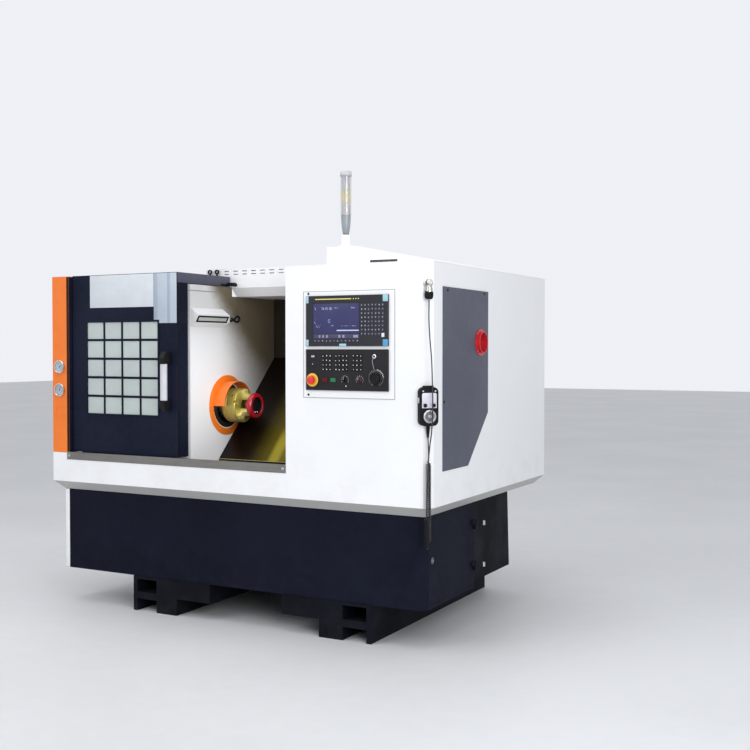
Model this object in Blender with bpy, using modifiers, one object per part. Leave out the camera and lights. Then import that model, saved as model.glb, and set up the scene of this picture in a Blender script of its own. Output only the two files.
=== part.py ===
"""A slant-bed turning lathe in its sheet enclosure, with the sliding door open.

Lengths are metres. A place on the machine is given by three distances: from the right side plane
(t, towards the left), from the front plane (u, towards the back) and above the floor (z).
The slanted bed has its own two: s runs up the slope, n stands square on it.
"""

import itertools
import math

import bmesh
import bpy
from mathutils import Matrix, Vector

# Fits
GAP = 0.0003
RUN_GAP = 0.0005
OVERRUN = 0.010
WALL = 0.003
LINER = 0.002
FULL_TURN = 2 * math.pi
SLOPE = math.radians(45)
SAME_SHARE = 0.0001
ROOT_HALF_SHARE = math.sin(SLOPE)

# Enclosure
LENGTH = 2.236
DEPTH = 1.500
BODY_TOP = 1.742
BODY_BOTTOM = 0.605
BODY_EDGE = 0.045
BODY_LIP = 0.030
CORNER_CUT = 0.035
CABINET_WIDTH = 0.754
CABINET_RETURN = 0.045
PANEL_TOP = 0.7675
ROOF_SETBACK = 0.475
ROOF_SEAM = 0.565
ROOF_PLATE = 0.003
LOUVRE_FRONT = 0.800
LOUVRE_HEIGHT = 1.300
LOUVRE_PITCH = 0.110
LOUVRE_LENGTH = 0.080
LOUVRE_STEP = 0.030
LOUVRE_WIDTH = 0.006
LOUVRE_COLUMNS = 3
LOUVRE_ROWS = 5

# Front corner column with its two gauges
COLUMN_WIDTH = 0.1165
COLUMN_CLEARANCE = 0.0095
COLUMN_DEPTH = 0.100
COLUMN_BOTTOM = 0.8030
COLUMN_TOP = 1.739
GAUGE_FROM_LEFT = 0.056
GAUGE_HEIGHTS = (1.260, 1.137)
GAUGE_RADIUS = 0.035
GAUGE_BODY_RADIUS = 0.029
GAUGE_RIM = 0.004
GAUGE_PROUD = 0.014
GAUGE_LENGTH = 0.040
GAUGE_HOLE = 0.0295
GAUGE_WELL = 0.008
NEEDLE_WIDTH = 0.0016
KNOCKOUT_HEIGHT = 1.014
KNOCKOUT_RADIUS = 0.036
KNOCKOUT_DEPTH = 0.001

# Door sill and its rail
SILL_FACE = 0.002
SILL_BOTTOM = 0.768
SILL_TOP = 0.808
SILL_DEPTH = 0.120
SILL_LIP = 0.004
SILL_SINK = 0.018
SILL_FLOOR = SILL_TOP - SILL_SINK
RAIL_FRONT = 0.055
RAIL_WIDTH = 0.012
RAIL_HEIGHT = 0.0115
RAIL_TOP = SILL_FLOOR + RAIL_HEIGHT

# Sliding door, a folded sheet that also roofs the work space
DOOR_WIDTH = 0.700
DOORWAY_WIDTH = LENGTH - COLUMN_WIDTH - COLUMN_CLEARANCE - DOOR_WIDTH - CABINET_WIDTH
DOOR_FRONT = 0.020
DOOR_SIDE = 0.083
DOOR_REACH = 0.447
DOOR_BOTTOM = 0.8095
DOOR_TOP = 1.741
DOOR_LIP = 0.041
DOOR_SHEET = 0.002
SHOE_LENGTH = 0.080
SHOE_HEIGHT = 0.030
SHOE_WALL = 0.010
SHOE_INSET = 0.060
PULL_WIDTH = 0.014
PULL_LENGTH = 0.050
PULL_DROP = 0.016
WINDOW_INSET = 0.126
WINDOW_STILE = 0.104
WINDOW_WIDTH = DOOR_WIDTH - WINDOW_INSET - WINDOW_STILE
WINDOW_BOTTOM = 1.017
WINDOW_HEIGHT = 0.476
WINDOW_COLUMNS = 4
WINDOW_ROWS = 5
WINDOW_BAR = 0.012
GLASS_MARGIN = 0.016
GLASS_THICK = 0.004
HANDLE_INSET = 0.056
HANDLE_PROUD = 0.058
HANDLE_BOTTOM = 1.043
HANDLE_HEIGHT = 0.298
HANDLE_WIDTH = 0.030
HANDLE_ROD_RADIUS = 0.008
GRIP_RADIUS = 0.018
GRIP_BOTTOM = 1.096
GRIP_HEIGHT = 0.184

# Inner walls
COVER_SETBACK = 0.112
COVER_TOP = 1.685
PARTITION_LAP = 0.008
PARTITION_FROM_RIGHT = CABINET_WIDTH + DOORWAY_WIDTH - PARTITION_LAP
PARTITION_SHEET = 0.003
PARTITION_BOTTOM = 0.620
PARTITION_BACK = 0.950
REAR_WALL_SETBACK = 0.880
CHAMBER_RIGHT = 0.130

# Roof over the work space, with a vented fascia
CHAMBER_ROOF = 1.785
ROOF_CAP_LENGTH = 0.168
FASCIA_BOTTOM = 1.682
FASCIA_EDGE = 0.046
VENT_COUNT = 7
VENT_HEIGHTS = (1.7715, 1.7550)
VENT_LENGTH = 0.030
VENT_WIDTH = 0.005
VENT_PITCH = 0.058
VENT_REACH = 0.328
VENT_START = PARTITION_FROM_RIGHT - VENT_REACH

# Raised hood on the right roof
HOOD_LEFT = 0.563
HOOD_SLOPE_START = 0.412
HOOD_RIGHT = 0.020
HOOD_TOP = 1.830
HOOD_FRONT = 0.060
HOOD_BACK = DEPTH - HOOD_FRONT
HOOD_SHEET = 0.002
HOOD_EAVE = 0.004
HOOD_SLOT = (0.193, 0.334)
HOOD_SLOT_HEIGHT = 0.016

# Signal lamp on the hood
LAMP_FROM_RIGHT = 0.500
LAMP_SETBACK = 0.130
LAMP_BASE_RADIUS = 0.036
LAMP_BASE_HEIGHT = 0.014
LAMP_STEM_RADIUS = 0.0285
LAMP_RING_RADIUS = 0.031
LAMP_RING_HEIGHT = 0.012
LAMP_HOUSING_TOP = 0.120
LAMP_LENS_RADIUS = 0.026
LAMP_LENS_TOP = 0.318
LAMP_CAP_RADIUS = 0.029
LAMP_HEIGHT = 0.360
LAMP_WALL = 0.003

# Right side cover and hose collar
SIDE_COVER_OUTLINE = ((0.127, 1.637), (0.657, 1.635), (0.657, 1.045), (0.412, 0.804), (0.127, 0.804))
HOSE_SETBACK = 0.559
HOSE_HEIGHT = 1.387
HOSE_RADIUS = 0.048
COLLAR_WALL = 0.003
COLLAR_RADIUS = 0.0655
COLLAR_FLANGE = 0.004
COLLAR_SPOUT = 0.018
COLLAR_DEPTH = 0.040

# Base cabinet
BASE_TOP = BODY_BOTTOM - GAP
BASE_BOTTOM = 0.1803
BASE_FRONT = 0.045
BASE_BACK = 0.600
BASE_INSET = 0.045
BASE_CORNER = 0.036
BASE_SHEET = 0.0025
BASE_FLOOR_BACK = 0.325
SIDE_DOOR_FRONT = 0.090
SIDE_DOOR_BACK = 0.586
SIDE_DOOR_BOTTOM = 0.200
SIDE_DOOR_TOP = 0.590
SIDE_DOOR_GAP = 0.0008
HINGE_HEIGHTS = (0.496, 0.293)
HINGE_RADIUS = 0.007
HINGE_LENGTH = 0.046
HINGE_PIN_RADIUS = 0.003
HINGE_OUT = 0.0085
HINGE_LEAF = 0.026
HINGE_ARM = 0.004
LOCK_SETBACK = 0.118
LOCK_HEIGHT = 0.398
LOCK_RADIUS = 0.011
LOCK_PROUD = 0.004
LOCK_STEM_RADIUS = 0.007
LOCK_SLOT_WIDTH = 0.003
LOCK_CAM_LENGTH = 0.034
LOCK_CAM_WIDTH = 0.012
LOCK_CAM_SHEET = 0.003

# Coolant tank in the base
TANK_RIGHT = 0.110
TANK_FROM_LEFT = 0.936
TANK_LEFT = LENGTH - TANK_FROM_LEFT
TANK_FRONT = 0.060
TANK_BACK = 0.315
TANK_TOP = 0.480
TANK_SHEET = 0.003

# Bed casting
FOOT_FRONT = 0.040
FOOT_REAR_INSET = 0.100
FOOT_BACK = DEPTH - FOOT_REAR_INSET
FOOT_TOP = 0.180
FOOT_OUTER = 0.318
FOOT_PILLAR = 0.025
FOOT_POCKET = 0.126
FOOT_LEG = 0.129
FOOT_BLOCK = 0.208
FOOT_BLOCK_BOTTOM = 0.085
FOOT_WEB = (0.063, 0.099)
FOOT_POCKET_TOP = 0.165
FOOT_SPREAD = 0.834
FOOT_SPAN = LENGTH - FOOT_SPREAD
BED_RIGHT = 0.160
BED_FRONT = 0.330
BED_REAR_INSET = 0.160
BED_BACK = DEPTH - BED_REAR_INSET
BED_SINK = 0.030
BED_SHOULDER_DROP = 0.456
SLANT_FALL = 1.056
SLANT_START = 0.444
SLANT_END = 1.024
BED_NORMAL = 0.172
BED_TOP_BACK = 1.200
SEAT_PAST_HEADSTOCK = 0.070
SEAT_DROP = 0.196
SEAT_FRONT = 0.240
WAY_PLACES = (1.020, 1.420)
WAY_WIDTH = 0.034
WAY_HEIGHT = 0.030
SCREW_PLACE = 1.220
SCREW_RADIUS = 0.012
SCREW_NORMAL = 0.214
BEARING_BLOCK = (0.060, 0.040)
BEARING_HEIGHT = 0.060
BEARING_RIGHT = 0.170
BEARING_FROM_PARTITION = 0.042

# Spindle line
SPINDLE_SETBACK = 0.427
SPINDLE_HEIGHT = 1.056
HEADSTOCK_CLEARANCE = 0.058
HEADSTOCK_LENGTH = 0.420
HEADSTOCK_RIGHT = PARTITION_FROM_RIGHT + HEADSTOCK_CLEARANCE
HEADSTOCK_LEFT = HEADSTOCK_RIGHT + HEADSTOCK_LENGTH
HEADSTOCK_HALF = 0.165
HEADSTOCK_RISE = 0.169
HEADSTOCK_TOP = SPINDLE_HEIGHT + HEADSTOCK_RISE
HEADSTOCK_CUT = 0.055
HEADSTOCK_BORE = 0.070
HEADSTOCK_CAP_RADIUS = 0.118
HEADSTOCK_CAP = 0.018
HEADSTOCK_FIN = 0.010
HEADSTOCK_FINS = 5
SPINDLE_NOSE_RADIUS = 0.080
SPINDLE_NOSE = 0.022
SPINDLE_THROAT = 0.062
SPINDLE_BORE = 0.026
SPINDLE_PULLEY_RADIUS = 0.100
PULLEY_CLEARANCE = 0.045
PULLEY_RIGHT = HEADSTOCK_LEFT + PULLEY_CLEARANCE
PULLEY_WIDTH = 0.066
PULLEY_LIP = 0.006
PULLEY_LIP_WIDTH = 0.005
CYLINDER_RADIUS = 0.072
CYLINDER_REACH = 0.230
CYLINDER_LEFT = HEADSTOCK_LEFT + CYLINDER_REACH
MOTOR_SETBACK = 0.960
MOTOR_DROP = 0.046
MOTOR_HEIGHT = SPINDLE_HEIGHT - MOTOR_DROP
MOTOR_HALF = 0.130
MOTOR_CLEARANCE = 0.040
MOTOR_LENGTH = 0.360
MOTOR_RIGHT = HEADSTOCK_RIGHT + MOTOR_CLEARANCE
MOTOR_LEFT = MOTOR_RIGHT + MOTOR_LENGTH
MOTOR_CUT = 0.030
MOTOR_FOOT = 0.014
MOTOR_SHAFT_RADIUS = 0.024
MOTOR_PULLEY_RADIUS = 0.065
BELT_THICK = 0.008

# Bed and seat heights, which follow the spindle
BED_SHOULDER = SPINDLE_HEIGHT - BED_SHOULDER_DROP
SLANT_ZERO = SPINDLE_HEIGHT - SLANT_FALL
SEAT_HEIGHT = SPINDLE_HEIGHT - SEAT_DROP
SEAT_LEFT = HEADSTOCK_LEFT + SEAT_PAST_HEADSTOCK
BEARING_PLACES = (BEARING_RIGHT, PARTITION_FROM_RIGHT - BEARING_FROM_PARTITION)

# Chuck, its guard, jaws and the ring that they grip
CHUCK_RADIUS = 0.090
CHUCK_REACH = 0.112
CHUCK_LENGTH = 0.0815
CHUCK_FACE = PARTITION_FROM_RIGHT - CHUCK_REACH
CHUCK_BACK = CHUCK_FACE + CHUCK_LENGTH
CHUCK_RIM_CUT = 0.004
JAW_COUNT = 3
JAW_WIDTH = 0.034
JAW_FOOT_WIDTH = 0.022
JAW_FOOT_DEPTH = 0.014
JAW_INNER = 0.036
JAW_STEP = 0.060
JAW_OUTER = 0.087
JAW_LOW = 0.026
JAW_LENGTH = 0.055
JAW_TRAVEL = 0.005
JAW_EDGE = 0.002
JAW_FIRST_ANGLE = math.radians(75)
SLOT_GAP = 0.0004
RING_RADIUS = 0.0665
RING_BORE = 0.030
RING_THICK = 0.030
RING_SPIGOT = 0.026
RING_ROUND = 0.008
GUARD_RADIUS = 0.1595
GUARD_HOLE = 0.125
GUARD_HOOD_RADIUS = 0.128
GUARD_HOOD_LENGTH = 0.075
GUARD_SHEET = 0.003
PARTITION_HOLE = 0.120

# Way covers and rear wall of the work space
COVER_NORMAL = 0.302
COVER_LOW = 0.797
COVER_HIGH = 1.5425
COVER_DROP = 0.024
COVER_SHEET = 0.002
COVER_FIXED_LENGTH = 0.602
COVER_FIXED_RIGHT = PARTITION_FROM_RIGHT - COVER_FIXED_LENGTH
COVER_OVERLAP = 0.030
COVER_STAGE = 0.0045
REAR_WALL_RISE = 0.247
REAR_WALL_BOTTOM = SPINDLE_HEIGHT + REAR_WALL_RISE

# Carriage
SADDLE_RIGHT = 0.190
SADDLE_LEFT = 0.460
SADDLE_LOW = 0.945
SADDLE_HIGH = 1.530
SADDLE_FOOT = 0.182
SADDLE_TOP = 0.262
SADDLE_RIB = 0.022
SADDLE_RIB_LOW = 1.000
SADDLE_RIB_HIGH = 1.400
SLIDE_RIGHT = 0.200
SLIDE_LEFT = 0.430
SLIDE_LENGTH = 0.290
SLIDE_TOP = 0.345
SLIDE_KEY_WIDTH = 0.060
SLIDE_KEY_DEPTH = 0.020
TURRET_RADIUS = 0.088
TURRET_REST = 0.360
TURRET_BODY_HALF = 0.095
TURRET_BODY_RIGHT = 0.215
TURRET_BODY_LEFT = 0.430
TURRET_DISC = 0.070
TURRET_SIDES = 8
TOOL_WIDTH = 0.036
TOOL_HEIGHT = 0.040
TOOL_BLOCK = 0.045
TOOL_NOSE = 0.020
DISC_HUB_RADIUS = 0.045
DISC_HUB = 0.014
Z_TRAVEL = 0.330
X_TRAVEL = 0.180

# Work lamp on the partition
WORK_LAMP_FRONT = 0.114
WORK_LAMP_BACK = 0.388
WORK_LAMP_TOP = 1.565
WORK_LAMP_FACE_TOP = 1.532
WORK_LAMP_FACE_BOTTOM = 1.494
WORK_LAMP_BOTTOM = 1.468
WORK_LAMP_REACH = 0.046
WORK_LAMP_LENS_INSET = 0.016
WORK_LAMP_LENS_DEPTH = 0.002
WORK_LAMP_GLAND_RADIUS = 0.008
WORK_LAMP_GLAND = 0.022

# Operator panel
PLATE_RIGHT = 0.173
PLATE_LEFT = 0.653
PLATE_BOTTOM = 1.129
PLATE_TOP = 1.622
PLATE_SHEET = 0.003
UNIT_RIGHT = 0.203
UNIT_LEFT = 0.633
UNIT_DEPTH = 0.009
DISPLAY_BOTTOM = 1.368
DISPLAY_TOP = 1.600
KEYPAD_BOTTOM = 1.165
KEYPAD_TOP = 1.354
SCREEN_SPAN = (0.352, 0.596)
SCREEN_HEIGHTS = (1.424, 1.565)
SCREEN_DEPTH = 0.003
KEY_PROUD = 0.0015
KEY_SINK = 0.002
KEY_SIZE_SHARE = 0.72
MDI_SPAN = (0.223, 0.348)
MDI_HEIGHTS = (1.417, 1.566)
MDI_COLUMNS = 7
MDI_ROWS = 8
SOFTKEY_HEIGHTS = (1.388, 1.402)
SOFTKEY_COUNT = 12
PAD_GROUPS = ((0.496, 0.551, 3), (0.408, 0.484, 4), (0.334, 0.392, 3))
PAD_HEIGHTS = (1.254, 1.337)
PAD_ROWS = 4
ESTOP_PLACE = (0.596, 1.212)
ESTOP_RADIUS = 0.020
ESTOP_COLLAR_RADIUS = 0.030
ESTOP_COLLAR_PROUD = 0.004
ESTOP_PROUD = 0.026
ESTOP_HEAD = 0.012
ESTOP_STEM = 0.011
ESTOP_TRAVEL = 0.005
STOP_PLACE = (0.530, 1.213)
START_PLACE = (0.486, 1.213)
BUTTON_WIDTH = 0.026
BUTTON_HEIGHT = 0.018
BUTTON_PROUD = 0.005
BUTTON_SEAT = 0.005
BUTTON_TRAVEL = 0.003
KNOB_PLACES = ((0.424, 1.215), (0.348, 1.215))
KNOB_RADIUS = 0.013
KNOB_PROUD = 0.016
KNOB_STEM = 0.004
KNOB_POINTER = 0.005
FEED_PLACE = (0.264, 1.224)
FEED_RADIUS = 0.033
FEED_PROUD = 0.022
FEED_FLUTES = 24
FEED_FLUTE_RADIUS = 0.0022
STEM_DEPTH = 0.005
KEYLOCK_PLACE = (0.271, 1.322)
KEYLOCK_RADIUS = 0.009

# Hand pendant on the cut front corner
PENDANT_WIDTH = 0.086
PENDANT_SHIFT = 0.008
PENDANT_BOTTOM = 1.018
PENDANT_TOP = 1.188
PENDANT_THICK = 0.034
PENDANT_CORNER = 0.022
PENDANT_EDGE = 0.003
RELIEF_RADIUS = 0.009
RELIEF_TIP_RADIUS = 0.0045
RELIEF_LENGTH = 0.058
WHEEL_HEIGHT = 1.060
WHEEL_RADIUS = 0.029
WHEEL_THICK = 0.010
WHEEL_STEM = 0.005
WHEEL_KNURLS = 40
SELECTOR_HEIGHT = 1.108
SELECTOR_SPREAD = 0.020
SELECTOR_RADIUS = 0.0085
SELECTOR_PROUD = 0.009
GLAND_HEIGHT = 1.645
GLAND_BASE_RADIUS = 0.0175
GLAND_NUT_RADIUS = 0.0145
GLAND_REACH = 0.044
GLAND_NECK = 0.012
PLUG_RADIUS = 0.0165
PLUG_HEIGHT = 1.594
PLUG_LENGTH = 0.044

# Curly cord of the pendant
CORD_DIAMETER = 0.0055
COIL_DIAMETER = 0.025
COIL_BOTTOM = 0.500
COIL_TOP = 0.859

PARTS = bpy.data.collections.new("turning_lathe")
HELPERS = bpy.data.collections.new("cutters_and_joined_shapes")
FRAME = None


def x_at(from_right):
    """World X of a distance from the right side plane."""
    return LENGTH / 2 - from_right


def y_at(from_front):
    """World Y of a distance from the front plane."""
    return from_front - DEPTH / 2


def slope_s(from_front, height):
    """How far up the slope a point of the section lies."""
    return (from_front + height - SLANT_ZERO) * ROOT_HALF_SHARE


def slope_n(from_front, height):
    """How far a point of the section stands off the slope."""
    return (height - SLANT_ZERO - from_front) * ROOT_HALF_SHARE


def start():
    """Empties the scene and makes the collections and the frame that carries every piece."""
    global FRAME
    for old in list(bpy.data.objects):
        bpy.data.objects.remove(old, do_unlink=True)
    for collection in (PARTS, HELPERS):
        bpy.context.scene.collection.children.link(collection)
    HELPERS.hide_render = True
    FRAME = bpy.data.objects.new("machine_frame", None)
    PARTS.objects.link(FRAME)


def material(name, colour, roughness, metallic=0.0):
    """A Principled material, made once for each name."""
    made = bpy.data.materials.get(name)
    if made is None:
        made = bpy.data.materials.new(name)
        made.use_nodes = True
        shader = made.node_tree.nodes["Principled BSDF"]
        shader.inputs["Base Color"].default_value = (*colour, 1.0)
        shader.inputs["Roughness"].default_value = roughness
        shader.inputs["Metallic"].default_value = metallic
    return made


def white_paint():
    return material("white_enclosure_paint", (0.86, 0.87, 0.89), 0.35)


def navy_paint():
    return material("navy_textured_paint", (0.022, 0.027, 0.050), 0.45)


def orange_paint():
    return material("orange_paint", (0.95, 0.25, 0.03), 0.35)


def grey_paint():
    return material("slate_grey_paint", (0.09, 0.10, 0.14), 0.45)


def raw_steel():
    return material("brushed_steel", (0.32, 0.31, 0.29), 0.35, 1.0)


def ground_steel():
    return material("ground_steel", (0.55, 0.55, 0.56), 0.25, 1.0)


def cast_iron():
    return material("painted_casting", (0.020, 0.024, 0.042), 0.6)


def black_plastic():
    return material("black_plastic", (0.015, 0.015, 0.018), 0.45)


def charcoal_panel():
    return material("charcoal_panel", (0.045, 0.045, 0.055), 0.5)


def put(name, mesh, finish, helper=False):
    """An object of the mesh: a piece of the lathe, or a helper that only cuts or joins."""
    piece = bpy.data.objects.new(name, mesh)
    if finish is not None:
        mesh.materials.append(finish)
    if helper:
        HELPERS.objects.link(piece)
        piece.hide_render = True
        piece.display_type = "WIRE"
    else:
        PARTS.objects.link(piece)
    piece.parent = FRAME
    return piece


def mesh_of(name, bm):
    """The finished mesh of an edit mesh."""
    mesh = bpy.data.meshes.new(name)
    bm.to_mesh(mesh)
    bm.free()
    return mesh


def add_box(bm, low, high):
    """One box between two corners, grown from a unit cube."""
    low, high = Vector(low), Vector(high)
    size = high - low
    place = Matrix.Translation((low + high) / 2) @ Matrix.Diagonal((*size, 1))
    return bmesh.ops.create_cube(bm, size=1, matrix=place)["verts"]


def corners(t, u, z):
    """The two opposite corners of a box given by its spans."""
    low = (x_at(max(t)), y_at(min(u)), min(z))
    high = (x_at(min(t)), y_at(max(u)), max(z))
    return low, high


def block(name, t, u, z, finish, helper=False, bevel=0.0):
    """A box piece given by its spans from the right, from the front and above the floor."""
    bm = bmesh.new()
    add_box(bm, *corners(t, u, z))
    piece = put(name, mesh_of(name, bm), finish, helper)
    if bevel:
        soften(piece, bevel)
    return piece


def blocks(name, spans, finish=None):
    """A helper of several separate boxes."""
    bm = bmesh.new()
    for t, u, z in spans:
        add_box(bm, *corners(t, u, z))
    return put(name, mesh_of(name, bm), finish, helper=True)


def soften(piece, width, segments=1, angle=math.radians(40)):
    """Breaks the piece's sharp edges."""
    bevel = piece.modifiers.new("broken_edges", "BEVEL")
    bevel.width = width
    bevel.segments = segments
    bevel.limit_method = "ANGLE"
    bevel.angle_limit = angle
    return piece


def open_box(name, t, u, z, openings, wall, finish, helper=False):
    """A sheet box whose faces towards the given directions are left out, with its wall inside."""
    bm = bmesh.new()
    add_box(bm, *corners(t, u, z))
    bm.normal_update()
    gone = [face for face in bm.faces if any(face.normal.dot(Vector(way)) > 0.9 for way in openings)]
    bmesh.ops.delete(bm, geom=gone, context="FACES")
    piece = put(name, mesh_of(name, bm), finish, helper)
    thicken(piece, wall)
    return piece


def thicken(piece, wall, inward=True):
    """Turns an open sheet into a wall."""
    shell = piece.modifiers.new("wall", "SOLIDIFY")
    shell.thickness = wall
    shell.offset = -1 if inward else 1
    shell.use_even_offset = True
    return piece


def folded(name, rings, wall, finish, helper=False):
    """A folded sheet through rings of points, each ring as long as the last, from top to bottom.

    The points of a ring run left to right as seen from outside, so the wall grows to the inside.
    """
    bm = bmesh.new()
    grid = [[bm.verts.new((x_at(t), y_at(u), z)) for t, u, z in ring] for ring in rings]
    for upper, lower in zip(grid, grid[1:]):
        for i in range(len(upper) - 1):
            bm.faces.new((upper[i], lower[i], lower[i + 1], upper[i + 1]))
    piece = put(name, mesh_of(name, bm), finish, helper)
    return thicken(piece, wall)


def inner_step(normals, wall):
    """The step from a corner of the outside to the corner where the inner planes meet."""
    distinct = []
    for normal in normals:
        if all(normal.dot(other) < 1 - SAME_SHARE for other in distinct):
            distinct.append(normal)
    if len(distinct) == 1:
        return distinct[0] * -wall
    if len(distinct) == 2:
        return (distinct[0] + distinct[1]) * (-wall / (1 + distinct[0].dot(distinct[1])))
    rows = max(
        (Matrix(three) for three in itertools.combinations(distinct, 3)),
        key=lambda matrix: abs(matrix.determinant()),
    )
    return rows.inverted() @ Vector((-wall, -wall, -wall))


def folded_true(name, rings, wall, finish):
    """As folded, with each inside corner set exactly where the inner planes meet."""
    outside = [[Vector((x_at(t), y_at(u), z)) for t, u, z in ring] for ring in rings]
    rows, columns = len(outside), len(outside[0])
    normals = {}
    for i in range(rows - 1):
        for j in range(columns - 1):
            down = outside[i + 1][j] - outside[i][j]
            along = outside[i][j + 1] - outside[i][j]
            if along.length < GAP:
                along = outside[i + 1][j + 1] - outside[i + 1][j]
            normals[i, j] = down.cross(along).normalized()
    inside = []
    for i in range(rows):
        inside.append([])
        for j in range(columns):
            near = [normals[a, b] for a in (i - 1, i) for b in (j - 1, j) if (a, b) in normals]
            inside[i].append(outside[i][j] + inner_step(near, wall))
    bm = bmesh.new()
    outer = [[bm.verts.new(point) for point in ring] for ring in outside]
    inner = [[bm.verts.new(point) for point in ring] for ring in inside]
    for i in range(rows - 1):
        for j in range(columns - 1):
            bm.faces.new((outer[i][j], outer[i + 1][j], outer[i + 1][j + 1], outer[i][j + 1]))
            bm.faces.new((inner[i][j], inner[i][j + 1], inner[i + 1][j + 1], inner[i + 1][j]))
    for i in range(rows - 1):
        bm.faces.new((outer[i][0], inner[i][0], inner[i + 1][0], outer[i + 1][0]))
        bm.faces.new((outer[i][-1], outer[i + 1][-1], inner[i + 1][-1], inner[i][-1]))
    for j in range(columns - 1):
        bm.faces.new((outer[0][j], outer[0][j + 1], inner[0][j + 1], inner[0][j]))
        bm.faces.new((outer[-1][j], inner[-1][j], inner[-1][j + 1], outer[-1][j + 1]))
    bmesh.ops.recalc_face_normals(bm, faces=bm.faces)
    return put(name, mesh_of(name, bm), finish)


def boolean(piece, other, operation):
    """Cuts the piece by the other shape, or joins the two."""
    step = piece.modifiers.new(f"{operation.lower()}_{other.name}"[:60], "BOOLEAN")
    step.operation = operation
    step.object = other
    step.solver = "EXACT"
    return piece


def cut(piece, *others):
    for other in others:
        boolean(piece, other, "DIFFERENCE")
    return piece


def join(piece, *others):
    for other in others:
        boolean(piece, other, "UNION")
    return piece


ALONG_X = Matrix(((0, 0, 1, 0), (1, 0, 0, 0), (0, 1, 0, 0), (0, 0, 0, 1)))
ALONG_Y = Matrix(((1, 0, 0, 0), (0, 0, -1, 0), (0, 1, 0, 0), (0, 0, 0, 1)))
ALONG_Z = Matrix.Identity(4)


def slab(name, outlines, thickness, matrix, finish, helper=False):
    """A flat plate of a filled outline, with holes where outlines lie inside another.

    The outline lies in the plane of the matrix, and the plate is centred on it.
    """
    curve = bpy.data.curves.new(name, "CURVE")
    curve.dimensions = "2D"
    curve.fill_mode = "BOTH"
    curve.extrude = thickness / 2
    for outline in outlines:
        spline = curve.splines.new("POLY")
        spline.points.add(len(outline) - 1)
        for point, (a, b) in zip(spline.points, outline):
            point.co = (a, b, 0, 1)
        spline.use_cyclic_u = True
    return as_mesh(name, curve, matrix, finish, helper)


def as_mesh(name, curve, matrix, finish, helper=False):
    """The closed mesh of a curve, set in place."""
    guide = bpy.data.objects.new(name + "_guide", curve)
    HELPERS.objects.link(guide)
    graph = bpy.context.evaluated_depsgraph_get()
    mesh = bpy.data.meshes.new_from_object(guide.evaluated_get(graph))
    bpy.data.objects.remove(guide)
    bm = bmesh.new()
    bm.from_mesh(mesh)
    bmesh.ops.remove_doubles(bm, verts=bm.verts, dist=GAP / 30)
    bmesh.ops.recalc_face_normals(bm, faces=bm.faces)
    bm.to_mesh(mesh)
    bm.free()
    mesh.materials.clear()
    piece = put(name, mesh, finish, helper)
    piece.matrix_local = matrix
    return piece


def turned(name, profile, matrix, finish, steps=32, helper=False):
    """A turned solid: profile points (radius, height) run down its outer side, round local Z."""
    bm = bmesh.new()
    points = [bm.verts.new((radius, 0, height)) for radius, height in profile]
    for first, second in zip(points, points[1:]):
        bm.edges.new((first, second))
    if profile[0][0] > 0:
        bm.edges.new((points[-1], points[0]))
    piece = put(name, mesh_of(name, bm), finish, helper)
    screw = piece.modifiers.new("turned", "SCREW")
    screw.axis = "Z"
    screw.angle = FULL_TURN
    screw.steps = steps
    screw.render_steps = steps
    screw.use_merge_vertices = True
    screw.merge_threshold = 0.00001
    screw.use_smooth_shade = True
    piece.matrix_local = matrix
    return piece


def rod(name, radius, length, matrix, finish, steps=24, helper=False):
    """A plain cylinder whose base lies at the matrix and which runs along its Z."""
    return turned(name, [(0, length), (radius, length), (radius, 0), (0, 0)], matrix, finish, steps, helper)


def facing_front(t, u, z):
    """A place whose local Z points to the front and whose local X points right."""
    return Matrix.Translation((x_at(t), y_at(u), z)) @ Matrix.Rotation(math.radians(90), 4, "X")


def facing_right(t, u, z):
    """A place whose local Z points to the right."""
    return Matrix.Translation((x_at(t), y_at(u), z)) @ Matrix.Rotation(math.radians(90), 4, "Y")


def facing_up(t, u, z):
    """A place whose local Z points up."""
    return Matrix.Translation((x_at(t), y_at(u), z))


def on_slope(t=0.0):
    """The frame of the slanted bed: X along the machine, Y up the slope, Z square off it."""
    return Matrix.Translation((x_at(t), y_at(0), SLANT_ZERO)) @ Matrix.Rotation(SLOPE, 4, "X")


def slope_boxes(name, spans, finish, helper=False):
    """Boxes on the slope, each given by its spans from the right, up the slope and off it."""
    bm = bmesh.new()
    for t, s, n in spans:
        add_box(bm, (-max(t), min(s), min(n)), (-min(t), max(s), max(n)))
    piece = put(name, mesh_of(name, bm), finish, helper)
    piece.matrix_local = on_slope()
    return piece


def ring_points(radius, count, centre=(0, 0), start=0.0, sweep=FULL_TURN, closed=True):
    """Points round a circle, or along an arc when closed is false."""
    steps = count if closed else count - 1
    return [
        (
            centre[0] + radius * math.cos(start + sweep * i / steps),
            centre[1] + radius * math.sin(start + sweep * i / steps),
        )
        for i in range(count)
    ]


def set_origin(piece, point):
    """Moves the piece's origin to a point without moving its shape."""
    bpy.context.view_layer.update()
    place = Vector(point)
    turn = piece.matrix_local.to_3x3()
    offset = turn.inverted() @ (place - piece.matrix_local.translation)
    piece.data.transform(Matrix.Translation(-offset))
    piece.location = place
    return piece


def body_ring(z, inset=0.0, lip=0.0):
    """The right cabinet's plan at one height: return, front, cut corner and side."""
    corner = CORNER_CUT + (inset + lip) * math.tan(SLOPE / 2)
    left = CABINET_WIDTH - lip
    back = CABINET_RETURN + inset
    inset += lip
    return [
        (left, back, z),
        (left, inset, z),
        (corner, inset, z),
        (inset, corner, z),
        (inset, DEPTH - WALL * math.sqrt(2) - GAP - inset, z),
    ]


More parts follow.
